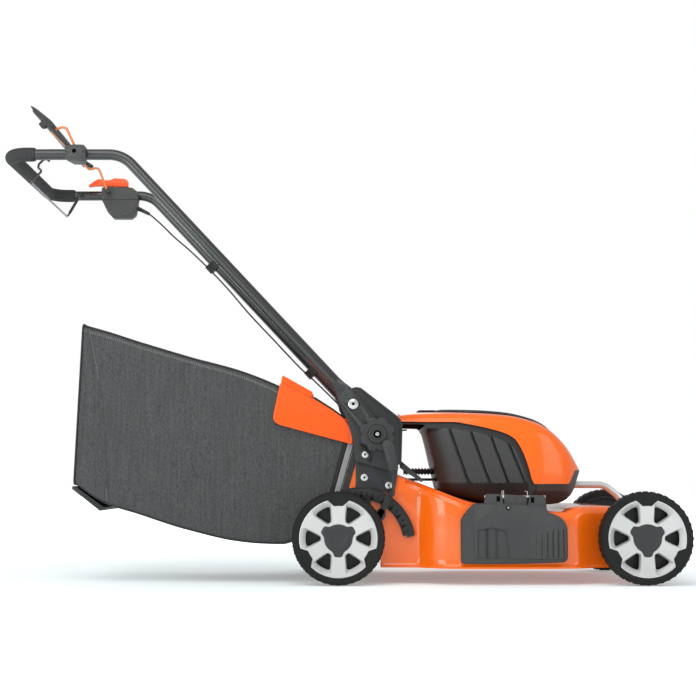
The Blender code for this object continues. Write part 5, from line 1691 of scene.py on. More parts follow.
@dataclass
class Drive:
    """Motor, blade, axles, gearbox, height lever and the front tube.

    Attributes:
        pivot_ahead: How far a crank's pivot lies ahead of its axle.
        pivot_z: Height of the pivots.
    """

    pivot_ahead: float = 0.046
    pivot_z: float = 0.088

    def build(self) -> None:
        """Make the parts that show and finish those that keep their shape."""
        self.make_motor()
        self.make_blade()
        self.make_carry_tube()
        self.make_boot()
        self.make_axle_cover()
        for end, x in (("rear", REAR_AXLE_X), ("front", FRONT_AXLE_X)):
            self.make_axle(end, x)
        self.make_quadrant()
        self.make_lever()
        self.make_gearbox()

    @staticmethod
    def make_motor() -> None:
        """Ribbed motor can with its neck."""
        form = Form()
        profile = [(0.0068, 0.1752), (0.034, 0.1752), (0.034, 0.1862), (0.058, 0.1862), (0.062, 0.1895),
            (0.062, 0.246), (0.058, 0.25), (0.0068, 0.25)]
        form.skin([[Vector((SHAFT_X + r * math.cos(a), r * math.sin(a), z)) for r, z in profile]
            for a in [math.radians(k) for k in range(0, 360, 6)]], looped=True)
        for k in range(36):
            a = math.radians(10 * k)
            out = Vector((math.cos(a), math.sin(a), 0.0))
            form.rod(Vector((SHAFT_X, 0, 0.194)) + out * 0.0612, Vector((SHAFT_X, 0, 0.242)) + out * 0.0612,
                0.0013, sides=6)
        make_piece("ribbed_motor", form, Dressing("chassis", "bright_steel", [ALUMINIUM], ["motor_can"]))
        refinish("motor_shaft", ZINC)
        refinish("blade_adapter", ALUMINIUM)

    @staticmethod
    def make_blade() -> None:
        """Ground steel blade with raised wings, and its hexagon bolt."""
        wing = Curve([(0.0, 0.0), (0.67, 0.0), (0.78, 0.0105), (1.0, 0.0134)])
        rings = []
        for t in steps_between(-1.0, 1.0, 61):
            x = SHAFT_X + 0.23 * t
            rise = wing(abs(t))
            lead = math.copysign(1.0, t) if t else 1.0
            back_y, front_y = -0.024 * lead, 0.024 * lead
            ground = 0.0028 if abs(t) > 0.55 else 0.0
            rings.append([Vector((x, front_y, 0.0446 + ground * 0.3)), Vector((x, front_y, 0.0486 - ground)),
                Vector((x, front_y * 0.55, 0.0486)), Vector((x, back_y * 0.45, 0.0486)),
                Vector((x, back_y, 0.0486 + rise)), Vector((x, back_y, 0.0452 + rise)),
                Vector((x, back_y * 0.45, 0.045)), Vector((x, front_y * 0.6, 0.0446))])
        make_piece("ground_blade", Form().skin(rings),
            Dressing("cutter", "dark_steel", [DARK_STEEL], ["blade"], bevel=0.0004))
        form = Form().rod((SHAFT_X, 0, 0.0362), (SHAFT_X, 0, 0.0442), 0.0105, sides=6, chamfer=0.001)
        form.rod((SHAFT_X, 0, 0.0432), (SHAFT_X, 0, 0.0444), 0.015, sides=36)
        make_piece("hexagon_bolt", form, Dressing("cutter", "bright_steel", [ZINC], ["blade_bolt"]))

    @staticmethod
    def make_carry_tube() -> None:
        """Bare bent tube from the nose down to the axle cover."""
        corners = [(0.523, 0.0, 0.2125), (0.608, 0.0, 0.2125), (0.644, 0.0, 0.183), (0.667, 0.0, 0.133)]
        form = Form().tube(rounded_path(corners, [0.045, 0.06], 14), 0.0078, 32)
        make_piece("bent_front_tube", form,
            Dressing("chassis", "bare_aluminium", [ALUMINIUM], ["front_carry_tube"]))

    @staticmethod
    def make_boot() -> None:
        """Ribbed boot and its base between the cowl and the grass tunnel."""
        rings = []
        for k in range(61):
            x = mix(0.143, 0.215, k / 60)
            r = 0.0068 + 0.0016 * math.cos(k * 2 * math.pi / 6)
            rings.append([Vector((x, r * math.cos(a), 0.243 + r * math.sin(a)))
                for a in [2 * math.pi * j / 28 for j in range(28)]])
        form = Form().skin(rings)
        form.coat = 1
        form.plate(softened([(0.14, 0.2215), (0.218, 0.2215), (0.218, 0.2275), (0.14, 0.2275)], 0.001, 2),
            -0.06, 0.06)
        make_piece("ribbed_boot", form,
            Dressing("chassis", "shield_rubber", [FLAP_PLASTIC, BLACK_PLASTIC], bevel=0.0005))

    @staticmethod
    def make_axle_cover() -> None:
        """Moulded cover that carries the front shaft, with a rib at each end."""
        outline = [(0.65, 0.062), (0.716, 0.062), (0.726, 0.08), (0.72, 0.125), (0.7, 0.146), (0.65, 0.15)]
        inner = [(0.648, 0.059), (0.713, 0.065), (0.7225, 0.081), (0.717, 0.1235), (0.6985, 0.143),
            (0.648, 0.147)]
        form = Form().plate(softened(outline, 0.01, 5), -0.196, 0.196)
        cover = rough_object("front_cover", form)
        space = rough_object("cover_space", Form().plate(inner, -0.191, 0.191))
        shaft = rough_object("cover_bore", Form().rod((0.696, -0.21, 0.088), (0.696, 0.21, 0.088), 0.0064))
        foot, down = Vector((0.667, 0.0, 0.133)), Vector((0.023, 0.0, -0.05)).normalized()
        socket = rough_object("cover_socket", Form().rod(foot - down * 0.03, foot + down * 0.015, 0.0088))
        carve(cover, [space, shaft, socket])
        for k in range(7):
            y = mix(-0.165, 0.165, k / 6)
            rib = rough_object("cover_rib",
                Form().plate(softened([(0.6985, 0.144), (0.7165, 0.124), (0.7225, 0.086), (0.7252, 0.081),
                (0.7195, 0.1252), (0.7, 0.1458)], 0.001, 2), y - 0.0012, y + 0.0012))
            unite(cover, rib)
        dress(cover, Dressing("chassis", "black_plastic", [BLACK_PLASTIC], ["front_axle_cover"],
            bevel=0.0008))

    def make_axle(self, end: str, wheel_x: float) -> None:
        """Cross shaft with a crank and a stub for each wheel.

        Args:
            end: rear or front.
            wheel_x: Place of the wheels' axle.
        """
        pivot = Vector((wheel_x + self.pivot_ahead, 0.0, self.pivot_z))
        form = Form().rod(pivot + Vector((0, -0.2152, 0)), pivot + Vector((0, 0.2152, 0)), 0.006,
            chamfer=0.001)
        for side in (-1, 1):
            crank = capsule((pivot.x, pivot.z), (wheel_x, AXLE_Z), 0.009)
            low, high = sorted((side * 0.2105, side * 0.22))
            form.plate(crank, low, high)
            form.rod((wheel_x, side * 0.215, AXLE_Z), (wheel_x, side * 0.261, AXLE_Z), 0.006, chamfer=0.001)
        make_piece(f"{end}_crank_shaft", form,
            Dressing(f"{end}_crank", "dark_steel", [DARK_STEEL], [f"{end}_axle"], bevel=0.0006))

    def make_quadrant(self) -> None:
        """Toothed arc that the height lever locks into, with a ribbed back."""
        pivot = (REAR_AXLE_X + self.pivot_ahead, self.pivot_z)
        outline = arc(pivot, 0.12, 8, 105, 48)
        for i in range(7):
            start = 100 - 13.5 * i
            outline += arc(pivot, 0.096, start, start - 8.5, 5)
            outline += arc(pivot, 0.103, start - 9.2, start - 12.8, 2)
        form = Form().plate(outline, -0.206, -0.2015)
        form.plate(arc(pivot, 0.119, 9, 104, 40) + arc(pivot, 0.0945, 104, 9, 40), -0.2032, -0.2012)
        form.plate(arc(pivot, 0.12, 8.5, 104, 40) + arc(pivot, 0.1178, 104, 8.5, 40), -0.2072, -0.203)
        # The ticks across the arc are near-black rods in the painted recess shade.
        form.coat = 1
        for i in range(14):
            middle = math.radians(14 + 6.75 * i)
            near = 0.0965 if i % 2 else 0.102
            ends = [Vector((pivot[0] + r * math.cos(middle), -0.2052, pivot[1] + r * math.sin(middle)))
                for r in (near, 0.1105)]
            form.rod(ends[0], ends[1], 0.0012, sides=8)
        make_piece("toothed_quadrant", form,
            Dressing("chassis", "black_plastic", [BLACK_PLASTIC, RECESS_SHADE], ["quadrant"], bevel=0.0005))

    def make_lever(self) -> None:
        """Height lever: a pressed blade, a step outward and a moulded grip with grooves."""
        pivot = (REAR_AXLE_X + self.pivot_ahead, self.pivot_z)
        form = Form().plate(capsule(pivot, (0.085, 0.15), 0.0115), -0.21, -0.2065)
        form.plate(capsule((0.08, 0.143), (0.1085, 0.195), 0.0065, 6), -0.21, -0.2065)
        form.box((0.1025, -0.2585, 0.191), (0.1135, -0.207, 0.199))
        form.box((0.1082, -0.265, 0.192), (0.1145, -0.257, 0.25))
        form.coat = 1
        width = Curve([(0.244, 0.01), (0.248, 0.0112), (0.26, 0.0116), (0.274, 0.0122), (0.29, 0.0128),
            (0.301, 0.012), (0.3065, 0.0092), (0.3095, 0.0035)])
        depth = Curve([(0.244, 0.0052), (0.256, 0.0074), (0.272, 0.008), (0.29, 0.008), (0.303, 0.0068),
            (0.3095, 0.003)])
        middle = Curve([(0.244, 0.112), (0.256, 0.1095), (0.272, 0.106), (0.29, 0.102), (0.3095, 0.0965)])
        rings = []
        for z in steps_between(0.244, 0.3095, 46):
            pinch = 0.0009 if z < 0.264 and math.sin((z - 0.244) * 2 * math.pi / 0.005) > 0.2 else 0.0
            half, deep = width(z) - pinch, depth(z) - pinch
            ring = []
            for k in range(28):
                a = 2 * math.pi * k / 28
                u, v = squarish(a, 0.8)
                ring.append(Vector((middle(z) + half * u, -0.2615 + deep * v, z + 0.2 * half * u)))
            rings.append(ring)
        form.skin(rings)
        make_piece("height_handle", form,
            Dressing("rear_crank", "black_plastic", [PLATE_PAINT, HOUSING_PLASTIC], ["height_lever"],
            bevel=0.0006))

    def make_gearbox(self) -> None:
        """Gearbox round the rear shaft with its split line and screws."""
        form = Form().box((0.015, -0.045, 0.062), (0.08, 0.045, 0.107))
        form.box((0.014, -0.0012, 0.0612), (0.081, 0.0012, 0.1076))
        for x in (0.022, 0.073):
            for z in (0.069, 0.1):
                form.rod((x, -0.0462, z), (x, -0.044, z), 0.003, sides=16)
        make_piece("split_gearbox", form,
            Dressing("chassis", "black_plastic", [BLACK_PLASTIC], ["drive_gearbox"], bevel=0.0016))


# Handle mounting


def screw_tree() -> NodeTree:
    """Tree that sets a round screw head with a hexagon recess on every point, facing along Y.

    Returns:
        The tree.
    """
    tree = new_tree("screw_pattern",
        [("Radius", "NodeSocketFloat"), ("Metal", "NodeSocketMaterial"), ("Recess", "NodeSocketMaterial")])
    graph = Graph(tree)
    given = graph.add("NodeGroupInput").outputs
    together = graph.add("GeometryNodeJoinGeometry")
    # The hexagon recess gets the Recess finish, which callers fill with painted shade.
    parts = (("washer", 1.0, 0.36, 32, "Metal"), ("head", 0.86, 0.62, 32, "Metal"),
        ("crown", 0.7, 0.74, 32, "Metal"), ("recess", 0.36, 0.76, 6, "Recess"))
    for label, width, depth, corners, socket in parts:
        disc = graph.add("GeometryNodeMeshCylinder",
            {"Vertices": corners, "Radius": graph.calculate("MULTIPLY", given["Radius"], width),
            "Depth": graph.calculate("MULTIPLY", given["Radius"], depth)}, label=label)
        paint = graph.add("GeometryNodeSetMaterial",
            {"Geometry": disc.outputs["Mesh"], "Material": given[socket]})
        graph.feed(together, {0: paint.outputs[0]})
    copies = graph.add("GeometryNodeInstanceOnPoints",
        {"Points": given["Geometry"], "Instance": together.outputs[0], "Rotation": (math.pi / 2, 0.0, 0.0)})
    graph.close(copies)
    return tree


@dataclass
class Fasteners:
    """Screw heads of one size on one body.

    Attributes:
        tree: Geometry tree of the heads.
    """

    tree: NodeTree

    def place(self, name: str, body: str, radius: float, places: Sequence[Sequence[float]],
            metal: Finish = ZINC) -> None:
        """Set heads at some places.

        Args:
            name: Piece name.
            body: Body that they ride on.
            radius: Radius of a head.
            places: Middle of each head.
            metal: Finish of the heads.
        """
        item = bare_object(name, places)
        # The recess takes the near-black painted shade.
        run_tree(item, self.tree, {"Radius": radius, "Metal": metal.material(),
            "Recess": RECESS_SHADE.material()})
        dress(item, Dressing(body, "bright_steel", (), bevel=radius * 0.05, sharp=35.0))


@dataclass
class Mounting:
    """Plates, brackets, flattened arm ends and star knobs of one side.

    Attributes:
        hand: right or left.
        side: -1 on the operator's right, 1 on the left.
        screws: Maker of the screw heads.
        fold: Place of the fold axis, in X and Z.
        tube_end: Where the round tube ends.
        knee: Where the arm bends.
    """

    hand: str
    side: int
    screws: Fasteners
    fold: Pair = (0.0776, 0.3221)
    tube_end: Pair = (-0.012, 0.4355)
    knee: Pair = (-0.4823, 0.938)

    def build(self) -> None:
        """Make the four parts and their screws."""
        self.make_plates()
        self.make_arm_end()
        self.make_knob()
        y = self.side * 0.2125
        self.screws.place(f"bracket_screw_{self.hand}", "chassis", 0.0072, [(0.0515, y, 0.2785)])
        self.screws.place(f"plate_screws_{self.hand}", "chassis", 0.0078,
            [(0.05, self.side * 0.203, 0.229), (0.103, self.side * 0.203, 0.212)])
        self.screws.place(f"arm_bolt_{self.hand}", "handle", 0.0112, [(0.0258, self.side * 0.2232, 0.388)])
        self.screws.place(f"arm_pin_{self.hand}", "handle", 0.004, [(-0.004, self.side * 0.2235, 0.4215)],
            DARK_STEEL)

    def layer(self, low: float, high: float) -> list[float]:
        """Two places across the mower on this side, in rising order."""
        return sorted((self.side * low, self.side * high))

    def on_fold(self, y: float) -> Vector:
        """Point on the fold axis at a distance from the mower's middle."""
        return Vector((self.fold[0], self.side * y, self.fold[1]))

    def make_plates(self) -> None:
        """Lower plate, and the bracket with its raised rim, front chamfer and pressed ridge."""
        low = [(0.024, 0.074), (0.056, 0.074), (0.062, 0.15), (0.068, 0.205), (0.1069, 0.1938),
            (0.1177, 0.2066), (0.1221, 0.2344), (0.127, 0.296), (0.03, 0.296), (0.0317, 0.2151),
            (0.018, 0.15)]
        form = Form().plate(softened(low, 0.009, 5), *self.layer(0.1965, 0.201))
        if self.side < 0:
            gusset = [(0.127, 0.268), (0.134, 0.262), (0.18, 0.223), (0.174, 0.219), (0.127, 0.25)]
            form.plate(softened(gusset, 0.002, 3), -0.2, -0.196)
        make_piece(f"shaft_plate_{self.hand}", form,
            Dressing("chassis", "plate_paint", [PLATE_PAINT], [f"mount_plate_{self.hand}"], bevel=0.0008))
        edge = [(-0.0093, 0.3982), (-0.0028, 0.3852), (0.012, 0.356), (0.0188, 0.3312), (0.027, 0.3),
            (0.03, 0.264), (0.105, 0.244), (0.1308, 0.26), (0.1333, 0.3441), (0.129, 0.355), (0.1182, 0.3657),
            (0.0426, 0.4242), (0.033, 0.4262), (0.02, 0.423), (-0.006, 0.418)]
        form = Form().plate(softened(edge, 0.007, 5), *self.layer(0.2015, 0.21))
        raised = self.layer(0.208, 0.2118)
        rim = [(0.03, 0.4262), (0.0426, 0.4242), (0.1182, 0.3657), (0.129, 0.355), (0.1333, 0.3441),
            (0.1308, 0.26), (0.127, 0.258), (0.1285, 0.3425), (0.125, 0.352), (0.115, 0.362),
            (0.0405, 0.4195), (0.031, 0.422)]
        form.plate(softened(rim, 0.002, 3), *raised)
        heel = [(0.027, 0.3), (0.03, 0.264), (0.064, 0.2552), (0.066, 0.276), (0.056, 0.295), (0.038, 0.306)]
        form.plate(softened(heel, 0.005, 4), *raised)
        ridge = arc((0.0515, 0.2785), 0.014, -70, 40, 12) + arc((0.0515, 0.2785), 0.0165, 40, -70, 12)
        form.plate(ridge, *raised)
        form.rod(self.on_fold(0.205), self.on_fold(0.244), 0.004, 20)
        make_piece(f"fold_bracket_{self.hand}", form,
            Dressing("chassis", "plate_paint", [PLATE_PAINT], [f"bracket_{self.hand}"], bevel=0.0012))

    def make_arm_end(self) -> None:
        """End of the tube, pressed from round to flat, with a stiffening channel."""
        half = Curve([(0.0, 0.012), (0.014, 0.0145), (0.028, 0.0185), (0.044, 0.0195), (0.14, 0.0195),
            (0.154, 0.0165), (0.1625, 0.009)])
        deep = Curve([(0.0, 0.012), (0.014, 0.0088), (0.028, 0.0056), (0.044, 0.0045), (0.154, 0.0045),
            (0.1625, 0.004)])
        middle = Curve([(0.0, 0.2265), (0.014, 0.2228), (0.028, 0.2178), (0.044, 0.2167), (0.1625, 0.2167)])
        start = Vector((self.tube_end[0], 0.0, self.tube_end[1]))
        target = Vector((self.fold[0], 0.0, self.fold[1]))
        ahead = (start - Vector((self.knee[0], 0.0, self.knee[1]))).normalized()
        across = Vector((ahead.z, 0.0, -ahead.x))
        off_line = target - start - ahead * (target - start).dot(ahead)
        rings = []
        for run in steps_between(-0.001, 0.1625, 80):
            centre = start + ahead * run + off_line * held(run / 0.144)
            flat = mix(1.0, 0.5, held(run / 0.028))
            ring = []
            for k in range(96):
                a = 2 * math.pi * k / 96
                u, v = squarish(a, flat)
                limit = mix(0.78, 0.34, held((run - 0.04) / 0.08))
                fade = held((run - 0.034) / 0.014)
                channel = 0.0026 * fade * held((limit - abs(u)) / 0.1) if v > 0 else 0.0
                out = middle(run) + deep(run) * v - channel
                ring.append(centre + across * half(run) * u + Vector((0.0, self.side * out, 0.0)))
            rings.append(ring)
        make_piece(f"pressed_arm_end_{self.hand}", Form().skin(rings),
            Dressing("handle", "tube_paint", [TUBE_PAINT], [f"arm_end_{self.hand}"], sharp=50.0))

    def make_knob(self) -> None:
        """Star knob with eight lobes, a raised middle, a ring groove and the nut."""
        form = Form()

        def lobed(a: float) -> float:
            """Radius of the knob's outline at an angle."""
            return 0.0378 - 0.0052 * (0.5 + 0.5 * math.cos(8 * a)) ** 3
        rows = [(1.0, 0.2216), (1.0, 0.2355), (0.985, 0.2372), (0.95, 0.238), (0.8, 0.2382), (0.64, 0.2384)]
        angles = [2 * math.pi * k / 160 for k in range(160)]

        def spot(r: float, a: float, y: float) -> Vector:
            """Point of the knob at a radius, an angle and a distance across."""
            return Vector((self.fold[0] + r * math.cos(a), self.side * y, self.fold[1] + r * math.sin(a)))
        rings = [[spot(0.006, a, 0.2216) for a in angles]]
        rings += [[spot(lobed(a) * s, a, y) for a in angles] for s, y in rows]
        rings += [[spot(r, a, y) for a in angles]
            for r, y in ((0.0215, 0.2386), (0.0205, 0.24), (0.0198, 0.244), (0.0188, 0.2452), (0.015, 0.2456),
            (0.0142, 0.2446), (0.0118, 0.2446), (0.011, 0.2458), (0.0088, 0.2462), (0.0082, 0.243),
            (0.006, 0.243))]
        form.skin(rings, looped=True)
        # The sunk ring round the nut is a near-black disc of painted shade.
        form.coat = 1
        sunk = self.on_fold(0.2425)
        form.rod(sunk, self.on_fold(0.2466), 0.0078, 32, 0.0004)
        form.coat = 2
        form.rod(sunk, self.on_fold(0.2485), 0.0048, 6, 0.0005)
        form.rod(sunk, self.on_fold(0.2505), 0.0026, 20, 0.0005)
        make_piece(f"lobed_knob_{self.hand}", form,
            Dressing(f"knob_{self.hand}", "housing_plastic", [HOUSING_PLASTIC, RECESS_SHADE, ZINC],
            [f"star_knob_{self.hand}"], sharp=30.0))


# Handle and its controls


def clipped(outline: Outline, height: float, keep_above: bool) -> list[Pair]:
    """Part of an outline above, or below, a height.

    Args:
        outline: Closed outline.
        height: Height of the cut.
        keep_above: Whether the part above is kept.

    Returns:
        The part that is kept.
    """
    result: list[Pair] = []
    for (x0, z0), (x1, z1) in zip(outline, list(outline[1:]) + [outline[0]]):
        if (z0 >= height) == keep_above:
            result.append((x0, z0))
        if (z0 - height) * (z1 - height) < 0:
            result.append((mix(x0, x1, (height - z0) / (z1 - z0)), height))
    return result


def inside(outline: Outline, inset: float) -> list[Pair]:
    """Outline moved in towards its middle by about the inset.

    Args:
        outline: Closed outline.
        inset: Distance to move in.

    Returns:
        The smaller outline.
    """
    middle = sum((Vector(p) for p in outline), Vector((0.0, 0.0))) / len(outline)
    moved = []
    for p in outline:
        away = Vector(p) - middle
        moved.append(tuple(middle + away * max(0.2, 1 - inset / away.length)))
    return moved


@dataclass
class Handle:
    """U-shaped tube with its grip, clamp housings, levers, bails and control cable.

    Attributes:
        screws: Maker of the screw heads.
        radius: Radius of the tube.
        arm_y: Distance of the arms from the mower's middle.
        level: Height of the level upper part.
        knee_x: Place of the bend below it.
        knee_radius: Radius of that bend.
        grip_corner: Radius of the corners at the crossbar.
        crossbar_x: Place of the crossbar.
        tube_end: Where the round tube ends, in X and Z.
        pivot: Axis of the two bails, in X and Z.
    """

    screws: Fasteners
    radius: float = 0.012
    arm_y: float = 0.2265
    level: float = 0.938
    knee_x: float = -0.4823
    knee_radius: float = 0.07
    grip_corner: float = 0.042
    crossbar_x: float = -0.7345
    tube_end: Pair = (-0.012, 0.4355)
    pivot: Pair = (-0.585, 0.941)

    def build(self) -> None:
        """Make everything that the handle carries."""
        self.make_tube()
        self.make_right_housing()
        self.make_control_box()
        self.make_speed_lever()
        self.make_brake_bail()
        self.make_drive_bail()
        self.make_wire_bail()
        self.make_cable()

    def make_tube(self) -> None:
        """Handle tube with its knees, and the foam over the crossbar."""
        y, z = self.arm_y, self.level
        corners = [(self.tube_end[0], -y, self.tube_end[1]), (self.knee_x, -y, z), (self.crossbar_x, -y, z),
            (self.crossbar_x, y, z), (self.knee_x, y, z), (self.tube_end[0], y, self.tube_end[1])]
        path = rounded_path(corners, [self.knee_radius, self.grip_corner, self.grip_corner, self.knee_radius],
            24)
        make_piece("bent_handle_tube", Form().tube(path, self.radius, 40),
            Dressing("handle", "tube_paint", [TUBE_PAINT], ["handle_tube"]))
        corners = [(-0.678, -y, z), (self.crossbar_x, -y, z), (self.crossbar_x, y, z), (-0.678, y, z)]
        path = rounded_path(corners, [self.grip_corner, self.grip_corner], 24)
        start, end = path[0], path[-1]
        ahead = Vector((1.0, 0.0, 0.0))
        path = [start, start - ahead * 0.0006, start - ahead * 0.002] + path[1:-1]
        path += [end - ahead * 0.002, end - ahead * 0.0006, end]
        radii = [0.0145, 0.0152, 0.0155] + [0.0155] * (len(path) - 6) + [0.0155, 0.0152, 0.0145]
        form = Form().tube(path, radii, 48)
        form.coat = 1
        for side in (-1, 1):
            form.rod((-0.68, side * y, z), (-0.6745, side * y, z), 0.0149, 40, 0.001)
        make_piece("foam_sleeve", form, Dressing("handle", "grip_foam", [FOAM, BLACK_PLASTIC], ["foam_grip"]))

    def make_right_housing(self) -> None:
        """Clamp housing on the right arm in two halves that narrow inwards, with its pin and round hole."""
        outline = [(-0.605, 0.95), (-0.602, 0.952), (-0.585, 0.9545), (-0.564, 0.954), (-0.559, 0.949),
            (-0.5598, 0.9235), (-0.568, 0.9172), (-0.5783, 0.9176), (-0.6035, 0.9222)]
        body = softened(outline, 0.003, 4)
        form = Form()
        for keep_above, split in ((True, 0.9384), (False, 0.9376)):
            half = clipped(body, split, keep_above)
            form.skin([[(x, y, z) for x, z in inside(half, inset)]
                for y, inset in ((-0.2545, 0.0012), (-0.2538, 0.0), (-0.235, 0.0), (-0.213, 0.005),
                (-0.203, 0.007), (-0.1995, 0.0085))])
        form.plate(inside(body, 0.008), -0.2535, -0.201)
        form.plate(inside(body, 0.0065), -0.2553, -0.25)
        # The round hole is a near-black disc of painted shade.
        form.coat = 1
        form.rod((-0.5841, -0.2556, 0.94), (-0.5841, -0.252, 0.94), 0.005, 28, 0.0004)
        form.coat = 0
        form.rod(self.on_pivot(-0.203), self.on_pivot(-0.1775), 0.003, 16)
        form.rod(self.on_pivot(-0.201), self.on_pivot(-0.1985), 0.0075, 24)
        make_piece("clamp_housing", form,
            Dressing("handle", "housing_plastic", [FLAP_PLASTIC, RECESS_SHADE], ["bail_housing"], bevel=0.0008))

    def make_control_box(self) -> None:
        """Control box on the left arm: a block over a tapered lower part, seams, panels and screws."""
        outline = [(-0.604, 0.9535), (-0.6038, 0.9231), (-0.588, 0.8908), (-0.575, 0.8762), (-0.529, 0.876),
            (-0.5172, 0.8854), (-0.512, 0.9192), (-0.5135, 0.9427), (-0.527, 0.954), (-0.5954, 0.956)]
        body = softened(outline, 0.004, 4)
        form = Form()
        for keep_above, split, inset in ((True, 0.9236, 0.0), (False, 0.9224, 0.0008)):
            half = inside(clipped(body, split, keep_above), inset)
            form.skin([[(mix(x, -0.56, lean), y, mix(z, 0.924, lean * 0.8)) for x, z in half]
                for y, lean in ((0.1995, 0.02), (0.2003, 0.0), (0.226, 0.0), (0.245, 0.1), (0.2545, 0.17))])
        form.skin([[(mix(x, -0.56, lean), y, mix(z, 0.924, lean * 0.8)) for x, z in inside(body, 0.0025)]
            for y, lean in ((0.2015, 0.0), (0.226, 0.0), (0.244, 0.12), (0.252, 0.2))])
        panel = inside(clipped(body, 0.917, False), 0.006)
        form.plate(softened(panel, 0.003, 3), 0.199, 0.203)
        form.rod(self.on_pivot(0.203), self.on_pivot(0.1775), 0.003, 16)
        make_piece("control_housing", form,
            Dressing("handle", "housing_plastic", [FLAP_PLASTIC], ["control_box"], bevel=0.0014))
        self.screws.place("control_screws", "handle", 0.003, [(-0.596, 0.24, 0.918), (-0.546, 0.1996, 0.884)],
            DARK_STEEL)
        form = Form().rod((-0.528, 0.246, 0.9514), (-0.528, 0.246, 0.956), 0.0052, 32, 0.0009)
        make_piece("round_button", form, Dressing("button", "orange_wire", [LEVER_ORANGE], ["power_button"]))

    def make_speed_lever(self) -> None:
        """Orange speed lever with a ribbed thumb blade."""
        outline = [(-0.6396, 0.9596), (-0.6385, 0.9632), (-0.62, 0.9765), (-0.611, 0.979), (-0.6, 0.9752),
            (-0.584, 0.9765), (-0.574, 0.9812), (-0.564, 0.98), (-0.548, 0.9795), (-0.5405, 0.9741),
            (-0.54, 0.9585), (-0.59, 0.96), (-0.6157, 0.9622)]
        form = Form().plate(softened(outline, 0.0016, 4), 0.213, 0.229)
        for k in range(5):
            x = -0.633 + 0.0026 * k
            z = mix(0.9638, 0.9768, (x + 0.637) / 0.018)
            form.rod((x, 0.2138, z), (x, 0.2282, z), 0.0008, 8)
        form.rod((-0.572, 0.222, 0.9532), (-0.572, 0.222, 0.96), 0.008, 32)
        make_piece("thumb_lever", form,
            Dressing("speed_control", "orange_wire", [LEVER_ORANGE], ["speed_lever"], bevel=0.0011))

    def on_pivot(self, y: float) -> Vector:
        """Point on the bails' axis."""
        return Vector((self.pivot[0], y, self.pivot[1]))

    def make_brake_bail(self) -> None:
        """Orange coated wire bail."""
        near = [(-0.589, 0.947), (-0.5975, 0.969), (-0.6165, 1.0088), (-0.627, 1.0108), (-0.65, 1.001)]
        far = [(-0.633, 0.996), (-0.617, 1.0), (-0.609, 0.998), (-0.6, 0.977), (-0.589, 0.947)]
        corners = [(x, -0.183, z) for x, z in near] + [(x, 0.183, z) for x, z in far]
        path = rounded_path(corners, [0.01, 0.006, 0.007, 0.008, 0.008, 0.007, 0.006, 0.01], 8)
        form = Form().tube(path, 0.00275, 20)
        form.coat = 1
        for side in (-1, 1):
            form.rod(self.on_pivot(side * 0.1795), self.on_pivot(side * 0.1865), 0.0058, 28, 0.0006)
        make_piece("brake_wire", form, Dressing("brake_lever", "orange_wire", [WIRE_ORANGE, BLACK_PLASTIC],
            ["brake_bail"]))

    def make_drive_bail(self) -> None:
        """Wing-shaped bail with ribs under its blade, a thin arm, a stub at its far end and a finger tab."""
        wing = [(-0.65, 1.0045), (-0.6445, 1.0054), (-0.6415, 1.009), (-0.6415, 1.015), (-0.648, 1.0225),
            (-0.665, 1.0365), (-0.682, 1.05), (-0.693, 1.056), (-0.6948, 1.0545), (-0.69, 1.048),
            (-0.6895, 1.041), (-0.682, 1.037), (-0.66, 1.016)]
        form = Form().plate(softened(wing, 0.003, 4), -0.198, 0.198)
        form.plate(capsule(self.pivot, (-0.663, 1.0215), 0.0043), -0.1965, -0.1895)
        form.plate(capsule(self.pivot, (-0.663, 1.0215), 0.002), -0.1972, -0.189)
        form.plate(capsule(self.pivot, (self.pivot[0] - 0.004, self.pivot[1] + 0.004), 0.0062), -0.197,
            -0.189)
        stub = [(-0.65, 1.015), (-0.647, 1.006), (-0.627, 1.0015), (-0.6235, 1.008), (-0.644, 1.0215)]
        form.plate(softened(stub, 0.0015, 4), 0.1875, 0.197)
        tab = [(-0.66, 1.02), (-0.668, 1.024), (-0.6765, 1.015), (-0.671, 1.007), (-0.663, 1.006),
            (-0.659, 1.01)]
        form.plate(softened(tab, 0.002, 4), -0.196, -0.183)
        for k in range(15):
            y = mix(-0.165, 0.165, k / 14)
            form.plate([(-0.66, 1.0165), (-0.685, 1.0395), (-0.6835, 1.0405), (-0.656, 1.015)], y - 0.001,
                y + 0.001)
        make_piece("drive_wing", form, Dressing("drive_lever", "black_plastic", [BLACK_PLASTIC],
            ["drive_bail"], bevel=0.0009))

    @staticmethod
    def make_wire_bail() -> None:
        """Dark wire bail under the grip with its end bushes."""
        near = [(-0.6485, 0.928), (-0.6575, 0.9366), (-0.6722, 0.9215), (-0.6735, 0.9135), (-0.665, 0.907),
            (-0.6893, 0.8802)]
        corners = [(x, -0.203, z) for x, z in near] + [(-0.6893, 0.203, 0.8802), (-0.6572, 0.203, 0.9366)]
        radii = [0.004, 0.008, 0.004, 0.004, 0.006, 0.006]
        form = Form().tube(rounded_path(corners, radii, 7), 0.0026, 16)
        form.coat = 1
        for side in (-1, 1):
            form.rod((-0.6572, side * 0.2025, 0.9356), (-0.6572, side * 0.214, 0.9356), 0.0022, 16)
            form.rod((-0.6572, side * 0.2052, 0.9356), (-0.6572, side * 0.2125, 0.9356), 0.0064, 24, 0.0006)
        form.tube([Vector((-0.684, 0.203, 0.8895)), Vector((-0.664, 0.203, 0.9247))], 0.0036, 20)
        make_piece("hanging_wire", form,
            Dressing("wire_lever", "dark_steel", [DARK_STEEL, BLACK_PLASTIC], ["wire_bail"]))

